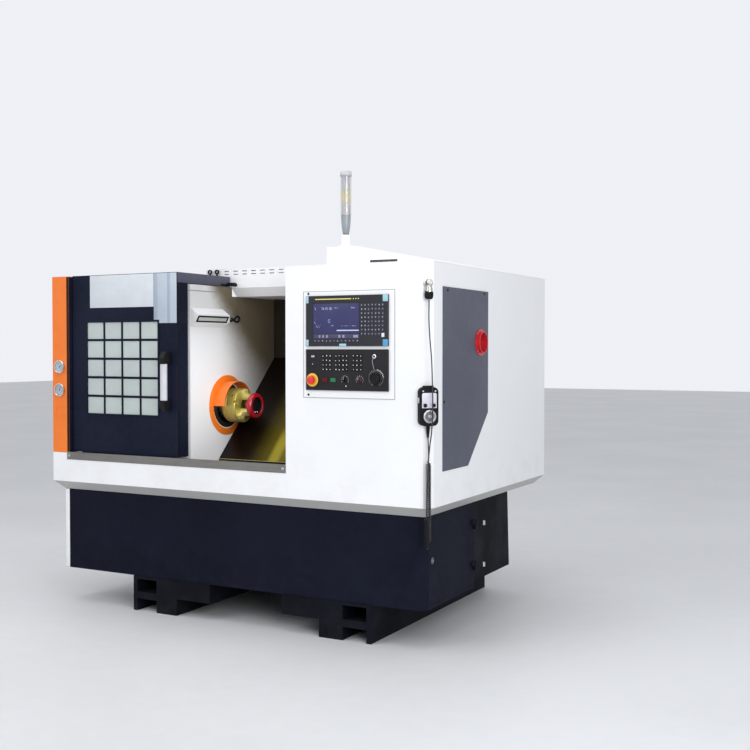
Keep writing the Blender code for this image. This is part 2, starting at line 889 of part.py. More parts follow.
def build_enclosure():
    """The outer sheets: right cabinet, lower front, left side, back and roofs."""
    cabinet = folded_true(
        "control_cabinet",
        [
            body_ring(BODY_TOP),
            body_ring(BODY_BOTTOM + BODY_EDGE),
            body_ring(BODY_BOTTOM, BODY_EDGE),
            body_ring(BODY_BOTTOM, BODY_EDGE, BODY_LIP),
        ],
        WALL,
        white_paint(),
    )
    hose_hole = rod(
        "hose_hole",
        HOSE_RADIUS + COLLAR_WALL + GAP,
        COLLAR_DEPTH + OVERRUN,
        facing_right(COLLAR_DEPTH, HOSE_SETBACK, HOSE_HEIGHT),
        None,
        steps=32,
        helper=True,
    )
    cut(cabinet, hose_hole)

    seam = CABINET_WIDTH + GAP
    lower = folded(
        "lower_front_panel",
        [
            [(LENGTH, BODY_LIP, PANEL_TOP), (seam, BODY_LIP, PANEL_TOP)],
            [(LENGTH, 0, PANEL_TOP), (seam, 0, PANEL_TOP)],
            [(LENGTH, 0, BODY_BOTTOM + BODY_EDGE), (seam, 0, BODY_BOTTOM + BODY_EDGE)],
            [(LENGTH - BODY_EDGE, BODY_EDGE, BODY_BOTTOM), (seam, BODY_EDGE, BODY_BOTTOM)],
            [
                (LENGTH - BODY_EDGE, BODY_EDGE + BODY_LIP, BODY_BOTTOM),
                (seam, BODY_EDGE + BODY_LIP, BODY_BOTTOM),
            ],
        ],
        WALL,
        white_paint(),
    )
    ear = block(
        "lower_panel_ear",
        (LENGTH - COLUMN_WIDTH, LENGTH),
        (0, WALL),
        (PANEL_TOP - WALL - OVERRUN, COLUMN_BOTTOM - GAP),
        None,
        helper=True,
    )
    join(lower, ear)

    rear_edge = BODY_BOTTOM + BODY_EDGE
    side_front = COLUMN_DEPTH + GAP

    def rear_ring(z, inset=0.0):
        front = BODY_EDGE + BODY_LIP + GAP if inset else side_front
        return [
            (inset, DEPTH - inset, z),
            (LENGTH - inset, DEPTH - inset, z),
            (LENGTH - inset, max(front, side_front), z),
        ]

    rear = folded(
        "rear_enclosure",
        [
            rear_ring(BODY_TOP),
            rear_ring(rear_edge),
            rear_ring(BODY_BOTTOM, BODY_EDGE),
            rear_ring(BODY_BOTTOM, BODY_EDGE + BODY_LIP),
        ],
        WALL,
        white_paint(),
    )
    roof_left = blocks(
        "left_roof",
        [
            (
                (PARTITION_FROM_RIGHT + PARTITION_SHEET + GAP, LENGTH - WALL / 2),
                (ROOF_SETBACK, DEPTH - WALL / 2),
                (BODY_TOP - WALL, BODY_TOP - GAP),
            ),
            (
                (LENGTH - COLUMN_WIDTH + GAP, LENGTH - WALL / 2),
                (COLUMN_DEPTH + GAP, ROOF_SETBACK + OVERRUN),
                (BODY_TOP - WALL, BODY_TOP - GAP),
            ),
        ],
    )
    apron = block(
        "left_roof_apron",
        (PARTITION_FROM_RIGHT + PARTITION_SHEET + GAP, LENGTH - WALL / 2),
        (ROOF_SETBACK, ROOF_SETBACK + WALL),
        (COVER_TOP - WALL, BODY_TOP - WALL / 2),
        None,
        helper=True,
    )
    join(rear, roof_left, apron)
    louvres = [
        (
            (LENGTH - OVERRUN, LENGTH + OVERRUN),
            (LOUVRE_FRONT + column * LOUVRE_PITCH, LOUVRE_FRONT + column * LOUVRE_PITCH + LOUVRE_LENGTH),
            (LOUVRE_HEIGHT + row * LOUVRE_STEP, LOUVRE_HEIGHT + row * LOUVRE_STEP + LOUVRE_WIDTH),
        )
        for column in range(LOUVRE_COLUMNS)
        for row in range(LOUVRE_ROWS)
    ]
    cut(rear, blocks("side_louvres", louvres))
    build_roofs()
    build_column()
    build_sill()
    build_side_cover()


def build_roofs():
    """The right roof with its raised hood, and the vented roof over the work space."""
    low = BODY_TOP + GAP
    high = low + ROOF_PLATE
    outline = [
        (x_at(CABINET_WIDTH), y_at(0)),
        (x_at(CORNER_CUT), y_at(0)),
        (x_at(0), y_at(CORNER_CUT)),
        (x_at(0), y_at(DEPTH)),
        (x_at(ROOF_SEAM), y_at(DEPTH)),
        (x_at(ROOF_SEAM), y_at(ROOF_SETBACK)),
        (x_at(CABINET_WIDTH), y_at(ROOF_SETBACK)),
    ]
    plan = Matrix.Translation((0, 0, (low + high) / 2))
    roof = slab("cabinet_roof", [outline], ROOF_PLATE, plan, white_paint())
    under_hood = block(
        "hood_well",
        (HOOD_RIGHT + BODY_LIP, HOOD_LEFT - OVERRUN),
        (HOOD_FRONT + OVERRUN, HOOD_BACK - OVERRUN),
        (low - OVERRUN, high + OVERRUN),
        None,
        helper=True,
    )
    cut(roof, under_hood)
    hood = folded_hood(high)
    join(roof, hood)
    slot = block(
        "hood_slot",
        HOOD_SLOT,
        (HOOD_FRONT - OVERRUN, HOOD_FRONT + OVERRUN / 2),
        (high + HOOD_SHEET / 2, high + HOOD_SLOT_HEIGHT),
        None,
        helper=True,
    )
    cut(roof, slot)

    front = ROOF_SETBACK
    left = PARTITION_FROM_RIGHT + PARTITION_SHEET
    right = ROOF_SEAM + GAP
    section = [
        (DEPTH, BODY_TOP + GAP),
        (DEPTH, CHAMBER_ROOF),
        (front, CHAMBER_ROOF),
        (front, FASCIA_BOTTOM),
        (front + FASCIA_EDGE, FASCIA_BOTTOM - FASCIA_EDGE),
        (REAR_WALL_SETBACK + OVERRUN, FASCIA_BOTTOM - FASCIA_EDGE),
    ]
    rings = [[(left, u, z), (right, u, z)] for u, z in section]
    chamber = folded("chamber_roof", rings, LINER, white_paint())
    end = block(
        "chamber_roof_end",
        (left - LINER, left),
        (front, DEPTH),
        (BODY_TOP + GAP, CHAMBER_ROOF),
        None,
        helper=True,
    )
    join(chamber, end)
    cap_left = left + ROOF_CAP_LENGTH
    cap = (
        ((left - LINER, cap_left), (front, DEPTH), (CHAMBER_ROOF - LINER, CHAMBER_ROOF)),
        ((left - LINER, cap_left), (front, front + LINER), (BODY_TOP + GAP, CHAMBER_ROOF)),
        ((left - LINER, cap_left), (DEPTH - LINER, DEPTH), (BODY_TOP + GAP, CHAMBER_ROOF)),
        ((cap_left - LINER, cap_left), (front, DEPTH), (BODY_TOP + GAP, CHAMBER_ROOF)),
    )
    for number, spans in enumerate(cap):
        join(chamber, block(f"roof_cap_{number}", *spans, None, helper=True))
    vents = [
        (
            (VENT_START + i * VENT_PITCH, VENT_START + i * VENT_PITCH + VENT_LENGTH),
            (front - OVERRUN, front + OVERRUN),
            (z - VENT_WIDTH / 2, z + VENT_WIDTH / 2),
        )
        for i in range(VENT_COUNT)
        for z in VENT_HEIGHTS
    ]
    cut(chamber, blocks("vent_slots", vents))


def folded_hood(foot):
    """The hood's shell: flat on top to the left, falling to the right, open underneath."""
    sink = foot - ROOF_PLATE / 2
    eave = foot + HOOD_EAVE
    section = [
        (HOOD_LEFT, sink),
        (HOOD_LEFT, HOOD_TOP),
        (HOOD_SLOPE_START, HOOD_TOP),
        (HOOD_RIGHT, eave),
        (HOOD_RIGHT, sink),
    ]
    outline = [(x_at(t), z) for t, z in section]
    middle = y_at((HOOD_FRONT + HOOD_BACK) / 2)
    place = Matrix.Translation((0, middle, 0)) @ ALONG_Y
    hood = slab("roof_hood", [outline], HOOD_BACK - HOOD_FRONT, place, None, helper=True)
    inner = [
        (HOOD_LEFT - HOOD_SHEET, sink - OVERRUN),
        (HOOD_LEFT - HOOD_SHEET, HOOD_TOP - HOOD_SHEET),
        (HOOD_SLOPE_START, HOOD_TOP - HOOD_SHEET),
        (HOOD_RIGHT + BODY_LIP, eave + HOOD_SHEET),
        (HOOD_RIGHT + BODY_LIP, sink - OVERRUN),
    ]
    hollow = slab(
        "roof_hood_inside",
        [[(x_at(t), z) for t, z in inner]],
        HOOD_BACK - HOOD_FRONT - 2 * HOOD_SHEET,
        place,
        None,
        helper=True,
    )
    return cut(hood, hollow)


def build_column():
    """The orange corner column, its knock-out and the two gauges."""
    left = LENGTH
    right = LENGTH - COLUMN_WIDTH
    rings = [
        [(left, COLUMN_DEPTH, z), (left, 0, z), (right, 0, z), (right, COLUMN_DEPTH, z)]
        for z in (COLUMN_TOP, COLUMN_BOTTOM)
    ]
    column = folded("corner_column", rings, WALL, orange_paint())
    middle = left - GAUGE_FROM_LEFT
    for number, height in enumerate(GAUGE_HEIGHTS):
        hole = rod(
            f"gauge_hole_{number}",
            GAUGE_HOLE,
            2 * OVERRUN,
            facing_front(middle, OVERRUN, height),
            None,
            steps=32,
            helper=True,
        )
        cut(column, hole)
        build_gauge(("gauge_upper", "gauge_lower")[number], middle, height)
    disc = rod(
        "knockout_cut",
        KNOCKOUT_RADIUS,
        OVERRUN,
        facing_front(middle, KNOCKOUT_DEPTH, KNOCKOUT_HEIGHT),
        None,
        steps=32,
        helper=True,
    )
    cut(column, disc)


def build_gauge(name, t, height):
    """A pressure gauge: flanged case with an open dial well and its needle."""
    profile = [
        (0, GAUGE_PROUD - GAUGE_WELL),
        (GAUGE_RADIUS - GAUGE_RIM, GAUGE_PROUD - GAUGE_WELL),
        (GAUGE_RADIUS - GAUGE_RIM, GAUGE_PROUD),
        (GAUGE_RADIUS - GAUGE_RIM / 4, GAUGE_PROUD),
        (GAUGE_RADIUS, GAUGE_PROUD - GAUGE_RIM),
        (GAUGE_RADIUS, GAP),
        (GAUGE_BODY_RADIUS, GAP),
        (GAUGE_BODY_RADIUS, -GAUGE_LENGTH),
        (0, -GAUGE_LENGTH),
    ]
    place = facing_front(t, 0, height)
    gauge = turned(name, profile, place, ground_steel(), steps=32)
    reach = GAUGE_RADIUS - 2 * GAUGE_RIM
    outline = [
        (-NEEDLE_WIDTH, -reach / 3),
        (NEEDLE_WIDTH, -reach / 3),
        (NEEDLE_WIDTH / 2, reach),
        (-NEEDLE_WIDTH / 2, reach),
    ]
    bottom = GAUGE_PROUD - GAUGE_WELL
    needle = slab(
        name + "_needle",
        [outline],
        NEEDLE_WIDTH * 2,
        place @ Matrix.Translation((0, 0, bottom)) @ Matrix.Rotation(SLOPE * 3, 4, "Z"),
        None,
        helper=True,
    )
    join(gauge, needle)


def build_sill():
    """The steel channel under the doorway, with the rail that the door runs on sunk in it."""
    section = [
        (-SILL_FACE, SILL_BOTTOM),
        (-GAP, SILL_BOTTOM),
        (-GAP, SILL_FLOOR - SILL_FACE),
        (SILL_DEPTH, SILL_FLOOR - SILL_FACE),
        (SILL_DEPTH, SILL_FLOOR),
        (RAIL_FRONT + RAIL_WIDTH, SILL_FLOOR),
        (RAIL_FRONT + RAIL_WIDTH, RAIL_TOP),
        (RAIL_FRONT, RAIL_TOP),
        (RAIL_FRONT, SILL_FLOOR),
        (SILL_LIP, SILL_FLOOR),
        (SILL_LIP, SILL_TOP),
        (-SILL_FACE, SILL_TOP),
    ]
    left = LENGTH - COLUMN_WIDTH - GAP
    right = CABINET_WIDTH + GAP
    middle = x_at((left + right) / 2)
    outline = [(y_at(u), z) for u, z in section]
    slab("door_sill", [outline], left - right, Matrix.Translation((middle, 0, 0)) @ ALONG_X, raw_steel())


def build_side_cover():
    """The bolted cover on the right side, and the hose collar through it."""
    outline = [(y_at(u), z) for u, z in SIDE_COVER_OUTLINE]
    hole = ring_points(HOSE_RADIUS + COLLAR_WALL + GAP, 32, (y_at(HOSE_SETBACK), HOSE_HEIGHT))
    place = Matrix.Translation((x_at(-GAP - WALL / 2), 0, 0)) @ ALONG_X
    slab("side_cover", [outline, hole], WALL, place, grey_paint())
    face = GAP + WALL + GAP
    profile = [
        (HOSE_RADIUS, face + COLLAR_SPOUT),
        (HOSE_RADIUS + COLLAR_WALL, face + COLLAR_SPOUT),
        (HOSE_RADIUS + COLLAR_WALL, face + COLLAR_FLANGE),
        (COLLAR_RADIUS, face + COLLAR_FLANGE),
        (COLLAR_RADIUS, face),
        (HOSE_RADIUS + COLLAR_WALL, face),
        (HOSE_RADIUS + COLLAR_WALL, -COLLAR_DEPTH),
        (HOSE_RADIUS, -COLLAR_DEPTH),
    ]
    red = material("red_collar", (0.60, 0.02, 0.03), 0.4)
    turned("hose_collar", profile, facing_right(0, HOSE_SETBACK, HOSE_HEIGHT), red, steps=32)


def build_base():
    """The bed casting, the base cabinet with its side door, and the coolant tank."""
    build_bed()
    right = BASE_INSET
    left = LENGTH - BASE_INSET
    rings = [
        [
            (left, BASE_BACK, z),
            (left, BASE_FRONT, z),
            (right + BASE_CORNER, BASE_FRONT, z),
            (right, BASE_FRONT + BASE_CORNER, z),
            (right, BASE_BACK, z),
        ]
        for z in (BASE_TOP, BASE_BOTTOM)
    ]
    base = folded("base_cabinet", rings, BASE_SHEET, navy_paint())
    inner = BASE_SHEET / 2
    floor_outline = [
        (x_at(left - inner), y_at(BASE_FRONT + inner)),
        (x_at(right + BASE_CORNER), y_at(BASE_FRONT + inner)),
        (x_at(right + inner), y_at(BASE_FRONT + BASE_CORNER)),
        (x_at(right + inner), y_at(BASE_FLOOR_BACK)),
        (x_at(left - inner), y_at(BASE_FLOOR_BACK)),
    ]
    floor = slab(
        "base_floor",
        [floor_outline],
        BASE_SHEET,
        Matrix.Translation((0, 0, BASE_BOTTOM + BASE_SHEET / 2 + GAP)),
        None,
        helper=True,
    )
    doorway = block(
        "side_doorway",
        (right - OVERRUN, right + OVERRUN),
        (SIDE_DOOR_FRONT, SIDE_DOOR_BACK),
        (SIDE_DOOR_BOTTOM, SIDE_DOOR_TOP),
        None,
        helper=True,
    )
    join(base, floor)
    cut(base, doorway)
    build_side_door(base, right)

    open_box(
        "coolant_tank",
        (TANK_RIGHT, TANK_LEFT),
        (TANK_FRONT, TANK_BACK),
        (BASE_BOTTOM + BASE_SHEET + 2 * GAP, TANK_TOP),
        [(0, 0, 1)],
        TANK_SHEET,
        raw_steel(),
    )


def build_side_door(base, side):
    """The side door on two barrel hinges, with its quarter-turn lock."""
    clearance = SIDE_DOOR_GAP
    door = block(
        "base_side_door",
        (side, side + BASE_SHEET),
        (SIDE_DOOR_FRONT + clearance, SIDE_DOOR_BACK - clearance),
        (SIDE_DOOR_BOTTOM + clearance, SIDE_DOOR_TOP - clearance),
        navy_paint(),
    )
    axis_t = side - HINGE_OUT
    axis_u = (SIDE_DOOR_BACK + BASE_BACK) / 2
    half = HINGE_LENGTH / 2
    for number, height in enumerate(HINGE_HEIGHTS):
        hinge_on_door(door, number, side, axis_t, axis_u, height + RUN_GAP, half - RUN_GAP)
        hinge_on_base(base, number, side, axis_t, axis_u, height - half, half)
    stem_hole = rod(
        "lock_hole",
        LOCK_STEM_RADIUS + GAP,
        2 * OVERRUN,
        facing_right(side + OVERRUN, LOCK_SETBACK, LOCK_HEIGHT),
        None,
        steps=16,
        helper=True,
    )
    cut(door, stem_hole)
    set_origin(door, (x_at(axis_t), y_at(axis_u), 0))
    build_lock(side)


def hinge_leaf(name, points, foot, rise):
    """A hinge leaf of the given plan, a little shorter than its barrel."""
    outline = [(x_at(t), y_at(u)) for t, u in points]
    place = Matrix.Translation((0, 0, foot + rise / 2))
    return slab(name, [outline], rise - 2 * RUN_GAP, place, None, helper=True)


def hinge_on_door(door, number, side, axis_t, axis_u, foot, rise):
    """The upper half of a hinge: an angled leaf on the door with a bored barrel."""
    edge = SIDE_DOOR_BACK - SIDE_DOOR_GAP - GAP
    near = edge - HINGE_LEAF
    arm_end = axis_u - (HINGE_PIN_RADIUS + HINGE_RADIUS) / 2
    leaf = hinge_leaf(
        f"door_leaf_{number}",
        [
            (side + BASE_SHEET / 2, near),
            (axis_t - HINGE_ARM / 2, near),
            (axis_t - HINGE_ARM / 2, arm_end),
            (axis_t + HINGE_ARM / 2, arm_end),
            (axis_t + HINGE_ARM / 2, edge),
            (side + BASE_SHEET / 2, edge),
        ],
        foot,
        rise,
    )
    barrel = turned(
        f"door_barrel_{number}",
        [
            (HINGE_PIN_RADIUS + GAP, rise),
            (HINGE_RADIUS, rise),
            (HINGE_RADIUS, 0),
            (HINGE_PIN_RADIUS + GAP, 0),
        ],
        facing_up(axis_t, axis_u, foot),
        None,
        steps=16,
        helper=True,
    )
    join(door, leaf, barrel)


def hinge_on_base(base, number, side, axis_t, axis_u, foot, rise):
    """The lower half of a hinge: a leaf on the cabinet, its barrel and the pin."""
    arm = HINGE_ARM / 2
    leaf = hinge_leaf(
        f"base_leaf_{number}",
        [
            (side + BASE_SHEET / 2, axis_u - arm),
            (axis_t, axis_u - arm),
            (axis_t, axis_u + arm),
            (side + BASE_SHEET / 2, axis_u + arm),
        ],
        foot,
        rise,
    )
    barrel = turned(
        f"base_barrel_{number}",
        [
            (0, 2 * rise - GAP),
            (HINGE_PIN_RADIUS, 2 * rise - GAP),
            (HINGE_PIN_RADIUS, rise),
            (HINGE_RADIUS, rise),
            (HINGE_RADIUS, 0),
            (0, 0),
        ],
        facing_up(axis_t, axis_u, foot),
        None,
        steps=16,
        helper=True,
    )
    join(base, leaf, barrel)


def build_lock(side):
    """A quarter-turn lock: slotted head outside, stem through the door and a cam behind it."""
    behind = BASE_SHEET + GAP
    profile = [
        (0, LOCK_PROUD),
        (LOCK_RADIUS - LOCK_PROUD / 4, LOCK_PROUD),
        (LOCK_RADIUS, LOCK_PROUD / 2),
        (LOCK_RADIUS, GAP),
        (LOCK_STEM_RADIUS, GAP),
        (LOCK_STEM_RADIUS, -behind - LOCK_CAM_SHEET),
        (0, -behind - LOCK_CAM_SHEET),
    ]
    place = facing_right(side, LOCK_SETBACK, LOCK_HEIGHT)
    lock = turned("side_door_lock", profile, place, ground_steel(), steps=16)
    # The cam hangs free of the frame as drawn, so the lock is open.
    cam = block(
        "lock_cam",
        (side + behind, side + behind + LOCK_CAM_SHEET),
        (LOCK_SETBACK - LOCK_CAM_WIDTH / 2, LOCK_SETBACK + LOCK_CAM_WIDTH / 2),
        (LOCK_HEIGHT - LOCK_CAM_LENGTH, LOCK_HEIGHT),
        None,
        helper=True,
    )
    slot = block(
        "lock_slot",
        (side - LOCK_PROUD - OVERRUN, side - LOCK_PROUD / 2),
        (LOCK_SETBACK - LOCK_SLOT_WIDTH / 2, LOCK_SETBACK + LOCK_SLOT_WIDTH / 2),
        (LOCK_HEIGHT - LOCK_RADIUS / 2, LOCK_HEIGHT + LOCK_RADIUS / 2),
        None,
        helper=True,
    )
    join(lock, cam)
    cut(lock, slot)


def build_bed():
    """The casting: two feet, the slanted bed with its ways, and the headstock seat."""
    bed_left = PARTITION_FROM_RIGHT + OVERRUN
    slant = math.sqrt(2) * BED_NORMAL + SLANT_ZERO
    section = [
        (BED_FRONT, FOOT_TOP - BED_SINK),
        (BED_BACK + BED_SINK, FOOT_TOP - BED_SINK),
        (BED_BACK, BED_SHOULDER),
        (BED_TOP_BACK, SLANT_END + slant),
        (SLANT_END, SLANT_END + slant),
        (SLANT_START, SLANT_START + slant),
        (BED_FRONT, BED_SHOULDER - BED_SINK),
    ]
    outline = [(y_at(u), z) for u, z in section]
    middle = x_at((BED_RIGHT + bed_left) / 2)
    bed = slab(
        "bed_casting",
        [outline],
        bed_left - BED_RIGHT,
        Matrix.Translation((middle, 0, 0)) @ ALONG_X,
        cast_iron(),
    )
    seat_right = PARTITION_FROM_RIGHT + PARTITION_SHEET + OVERRUN / 2
    seat_section = [
        (BED_FRONT, FOOT_TOP - BED_SINK / 2),
        (BED_BACK + BED_SINK / 2, FOOT_TOP - BED_SINK / 2),
        (BED_BACK - BED_SINK / 2, BED_SHOULDER),
        (BED_TOP_BACK, SEAT_HEIGHT),
        (SEAT_FRONT, SEAT_HEIGHT),
        (SEAT_FRONT, BED_SHOULDER + (SEAT_HEIGHT - BED_SHOULDER) / 2),
        (BED_FRONT, BED_SHOULDER - BED_SINK / 2),
    ]
    seat = slab(
        "headstock_seat",
        [[(y_at(u), z) for u, z in seat_section]],
        SEAT_LEFT - seat_right,
        Matrix.Translation((x_at((SEAT_LEFT + seat_right) / 2), 0, 0)) @ ALONG_X,
        None,
        helper=True,
    )
    join(bed, seat)
    for number, outer in enumerate((FOOT_OUTER, FOOT_OUTER + FOOT_SPAN)):
        join(bed, foot_shape(number, outer, 1 if number == 0 else -1))
    ways = slope_boxes(
        "bed_ways",
        [
            (
                (BED_RIGHT + OVERRUN, bed_left - OVERRUN),
                (s - WAY_WIDTH / 2, s + WAY_WIDTH / 2),
                (BED_NORMAL - OVERRUN, BED_NORMAL + WAY_HEIGHT),
            )
            for s in WAY_PLACES
        ],
        None,
        helper=True,
    )
    supports = slope_boxes(
        "screw_bearings",
        [
            (
                (t - BEARING_BLOCK[1] / 2, t + BEARING_BLOCK[1] / 2),
                (SCREW_PLACE - BEARING_BLOCK[0] / 2, SCREW_PLACE + BEARING_BLOCK[0] / 2),
                (BED_NORMAL - OVERRUN, BED_NORMAL + BEARING_HEIGHT),
            )
            for t in BEARING_PLACES
        ],
        None,
        helper=True,
    )
    join(bed, ways, supports)
    tunnel = rod(
        "screw_bearing_bore",
        SCREW_RADIUS + GAP,
        BEARING_PLACES[1] - BEARING_PLACES[0] + 2 * BEARING_BLOCK[0],
        screw_place(BEARING_PLACES[1] + BEARING_BLOCK[0]),
        None,
        steps=20,
        helper=True,
    )
    cut(bed, tunnel)


def screw_place(t):
    """A place on the long screw's axis, pointing right."""
    return on_slope(t) @ Matrix.Translation((0, SCREW_PLACE, SCREW_NORMAL)) @ Matrix.Rotation(
        math.radians(90), 4, "Y"
    )


def foot_shape(number, outer, side):
    """One foot of the casting, drawn from the front: pillar, webbed pocket, leg and raised block."""
    widths = (FOOT_PILLAR, FOOT_POCKET, FOOT_LEG, FOOT_BLOCK)
    edges = [outer]
    for width in widths:
        edges.append(edges[-1] + side * width)
    pillar, pocket, leg, end = edges[1:]
    outline = [
        (outer, 0),
        (pillar, 0),
        (pillar, FOOT_WEB[0]),
        (pocket, FOOT_WEB[0]),
        (pocket, 0),
        (leg, 0),
        (leg, FOOT_BLOCK_BOTTOM),
        (end, FOOT_BLOCK_BOTTOM),
        (end, FOOT_TOP),
        (outer, FOOT_TOP),
    ]
    hole = [
        (pillar, FOOT_WEB[1]),
        (pocket, FOOT_WEB[1]),
        (pocket, FOOT_POCKET_TOP),
        (pillar, FOOT_POCKET_TOP),
    ]
    drawn = [[(x_at(t), z) for t, z in line] for line in (outline, hole)]
    place = Matrix.Translation((0, y_at((FOOT_FRONT + FOOT_BACK) / 2), 0)) @ ALONG_Y
    return slab(f"foot_{number}", drawn, FOOT_BACK - FOOT_FRONT, place, None, helper=True)


def build_inner_walls():
    """Headstock cover, partition with the chuck guard, rear wall, way covers and work lamp."""
    left = LENGTH - COLUMN_WIDTH - GAP
    right = PARTITION_FROM_RIGHT + PARTITION_SHEET + GAP
    section = [
        (ROOF_SETBACK - GAP, COVER_TOP),
        (COVER_SETBACK, COVER_TOP),
        (COVER_SETBACK, SILL_FLOOR + GAP),
    ]
    folded(
        "headstock_cover",
        [[(left, u, z), (right, u, z)] for u, z in section],
        WALL,
        white_paint(),
    )

    ways_top = BED_NORMAL + WAY_HEIGHT + WALL
    rise = math.sqrt(2) * ways_top + SLANT_ZERO
    roof_under = FASCIA_BOTTOM - FASCIA_EDGE - GAP
    front_line = ROOF_SETBACK - GAP
    edge = [
        (COVER_SETBACK, SILL_FLOOR + GAP),
        (SILL_DEPTH + GAP, SILL_FLOOR + GAP),
        (SILL_DEPTH + GAP, PARTITION_BOTTOM),
        (PARTITION_BOTTOM - rise, PARTITION_BOTTOM),
        (PARTITION_BACK, PARTITION_BACK + rise),
        (PARTITION_BACK, roof_under),
        (front_line, roof_under),
        (front_line, COVER_TOP - GAP),
        (COVER_SETBACK, COVER_TOP - GAP),
    ]
    outline = [(y_at(u), z) for u, z in edge]
    centre = (y_at(SPINDLE_SETBACK), SPINDLE_HEIGHT)
    hole = ring_points(PARTITION_HOLE, 32, centre)
    place = x_at(PARTITION_FROM_RIGHT + PARTITION_SHEET / 2)
    slab(
        "partition_wall",
        [outline, hole],
        PARTITION_SHEET,
        Matrix.Translation((place, 0, 0)) @ ALONG_X,
        white_paint(),
    )
    build_guard(centre)

    rear_top = FASCIA_BOTTOM - FASCIA_EDGE - GAP
    block(
        "rear_inner_wall",
        (CHAMBER_RIGHT, PARTITION_FROM_RIGHT - GAP),
        (REAR_WALL_SETBACK, REAR_WALL_SETBACK + LINER),
        (REAR_WALL_BOTTOM, rear_top),
        material("dark_wall_paint", (0.030, 0.024, 0.020), 0.5),
    )
    film = material("filmed_stainless", (0.16, 0.12, 0.02), 0.22, 0.8)
    cover_left = PARTITION_FROM_RIGHT - GUARD_SHEET - 2 * GAP
    way_cover("way_cover_fixed", COVER_FIXED_RIGHT, cover_left, 0.0, film)
    moving = way_cover(
        "way_cover_moving",
        SADDLE_LEFT - SADDLE_RIB,
        COVER_FIXED_RIGHT + COVER_OVERLAP,
        COVER_STAGE,
        film,
    )
    set_origin(moving, (x_at(SADDLE_LEFT), y_at(0), 0))
    build_work_lamp()


def build_guard(centre):
    """The orange chuck guard: a flange on the partition with a half-round hood."""
    back = PARTITION_FROM_RIGHT - GAP
    flange = slab(
        "chuck_guard",
        [ring_points(GUARD_RADIUS, 48, centre), ring_points(GUARD_HOLE, 40, centre)],
        GUARD_SHEET,
        Matrix.Translation((x_at(back - GUARD_SHEET / 2), 0, 0)) @ ALONG_X,
        orange_paint(),
    )
    outer = ring_points(GUARD_HOOD_RADIUS, 25, centre, 0, math.pi, closed=False)
    inner = ring_points(GUARD_HOOD_RADIUS - GUARD_SHEET, 25, centre, math.pi, -math.pi, closed=False)
    length = GUARD_HOOD_LENGTH - GUARD_SHEET / 2
    hood = slab(
        "guard_hood",
        [outer + inner],
        length,
        Matrix.Translation((x_at(back - GUARD_SHEET / 2 - length / 2), 0, 0)) @ ALONG_X,
        None,
        helper=True,
    )
    join(flange, hood)


def way_cover(name, right, left, stage, finish):
    """One stage of the slanted way cover: a sheet with a lip down its front edge."""
    rise = COVER_NORMAL + stage
    low = COVER_LOW - stage
    high = COVER_HIGH - 2 * stage
    corner = ((low - rise) * ROOT_HALF_SHARE, (low + rise) * ROOT_HALF_SHARE + SLANT_ZERO)
    far = ((high - rise) * ROOT_HALF_SHARE, (high + rise) * ROOT_HALF_SHARE + SLANT_ZERO)
    section = [far, corner, (corner[0], corner[1] - COVER_DROP)]
    return folded(name, [[(left, u, z), (right, u, z)] for u, z in section], COVER_SHEET, finish)


def build_work_lamp():
    """The work lamp on the partition: a wedge housing with a sunk lens and a cable gland."""
    wall = PARTITION_FROM_RIGHT - GAP
    section = [
        (wall, WORK_LAMP_TOP),
        (wall - WORK_LAMP_REACH, WORK_LAMP_FACE_TOP),
        (wall - WORK_LAMP_REACH, WORK_LAMP_FACE_BOTTOM),
        (wall, WORK_LAMP_BOTTOM),
    ]
    outline = [(x_at(t), z) for t, z in section]
    middle = y_at((WORK_LAMP_FRONT + WORK_LAMP_BACK) / 2)
    lamp = slab(
        "work_lamp",
        [outline],
        WORK_LAMP_BACK - WORK_LAMP_FRONT,
        Matrix.Translation((0, middle, 0)) @ ALONG_Y,
        white_paint(),
    )
    face = wall - WORK_LAMP_REACH
    rim = (WORK_LAMP_FACE_TOP - WORK_LAMP_FACE_BOTTOM) / 6
    well = block(
        "lamp_lens_well",
        (face - OVERRUN, face + WORK_LAMP_LENS_DEPTH),
        (WORK_LAMP_FRONT + WORK_LAMP_LENS_INSET, WORK_LAMP_BACK - WORK_LAMP_LENS_INSET),
        (WORK_LAMP_FACE_BOTTOM + rim, WORK_LAMP_FACE_TOP - rim),
        None,
        helper=True,
    )
    gland = rod(
        "lamp_gland",
        WORK_LAMP_GLAND_RADIUS,
        WORK_LAMP_GLAND + OVERRUN,
        facing_front(
            wall - WORK_LAMP_REACH / 2,
            WORK_LAMP_BACK + WORK_LAMP_GLAND,
            (WORK_LAMP_FACE_TOP + WORK_LAMP_FACE_BOTTOM) / 2,
        ),
        None,
        steps=12,
        helper=True,
    )
    join(lamp, gland)
    cut(lamp, well)


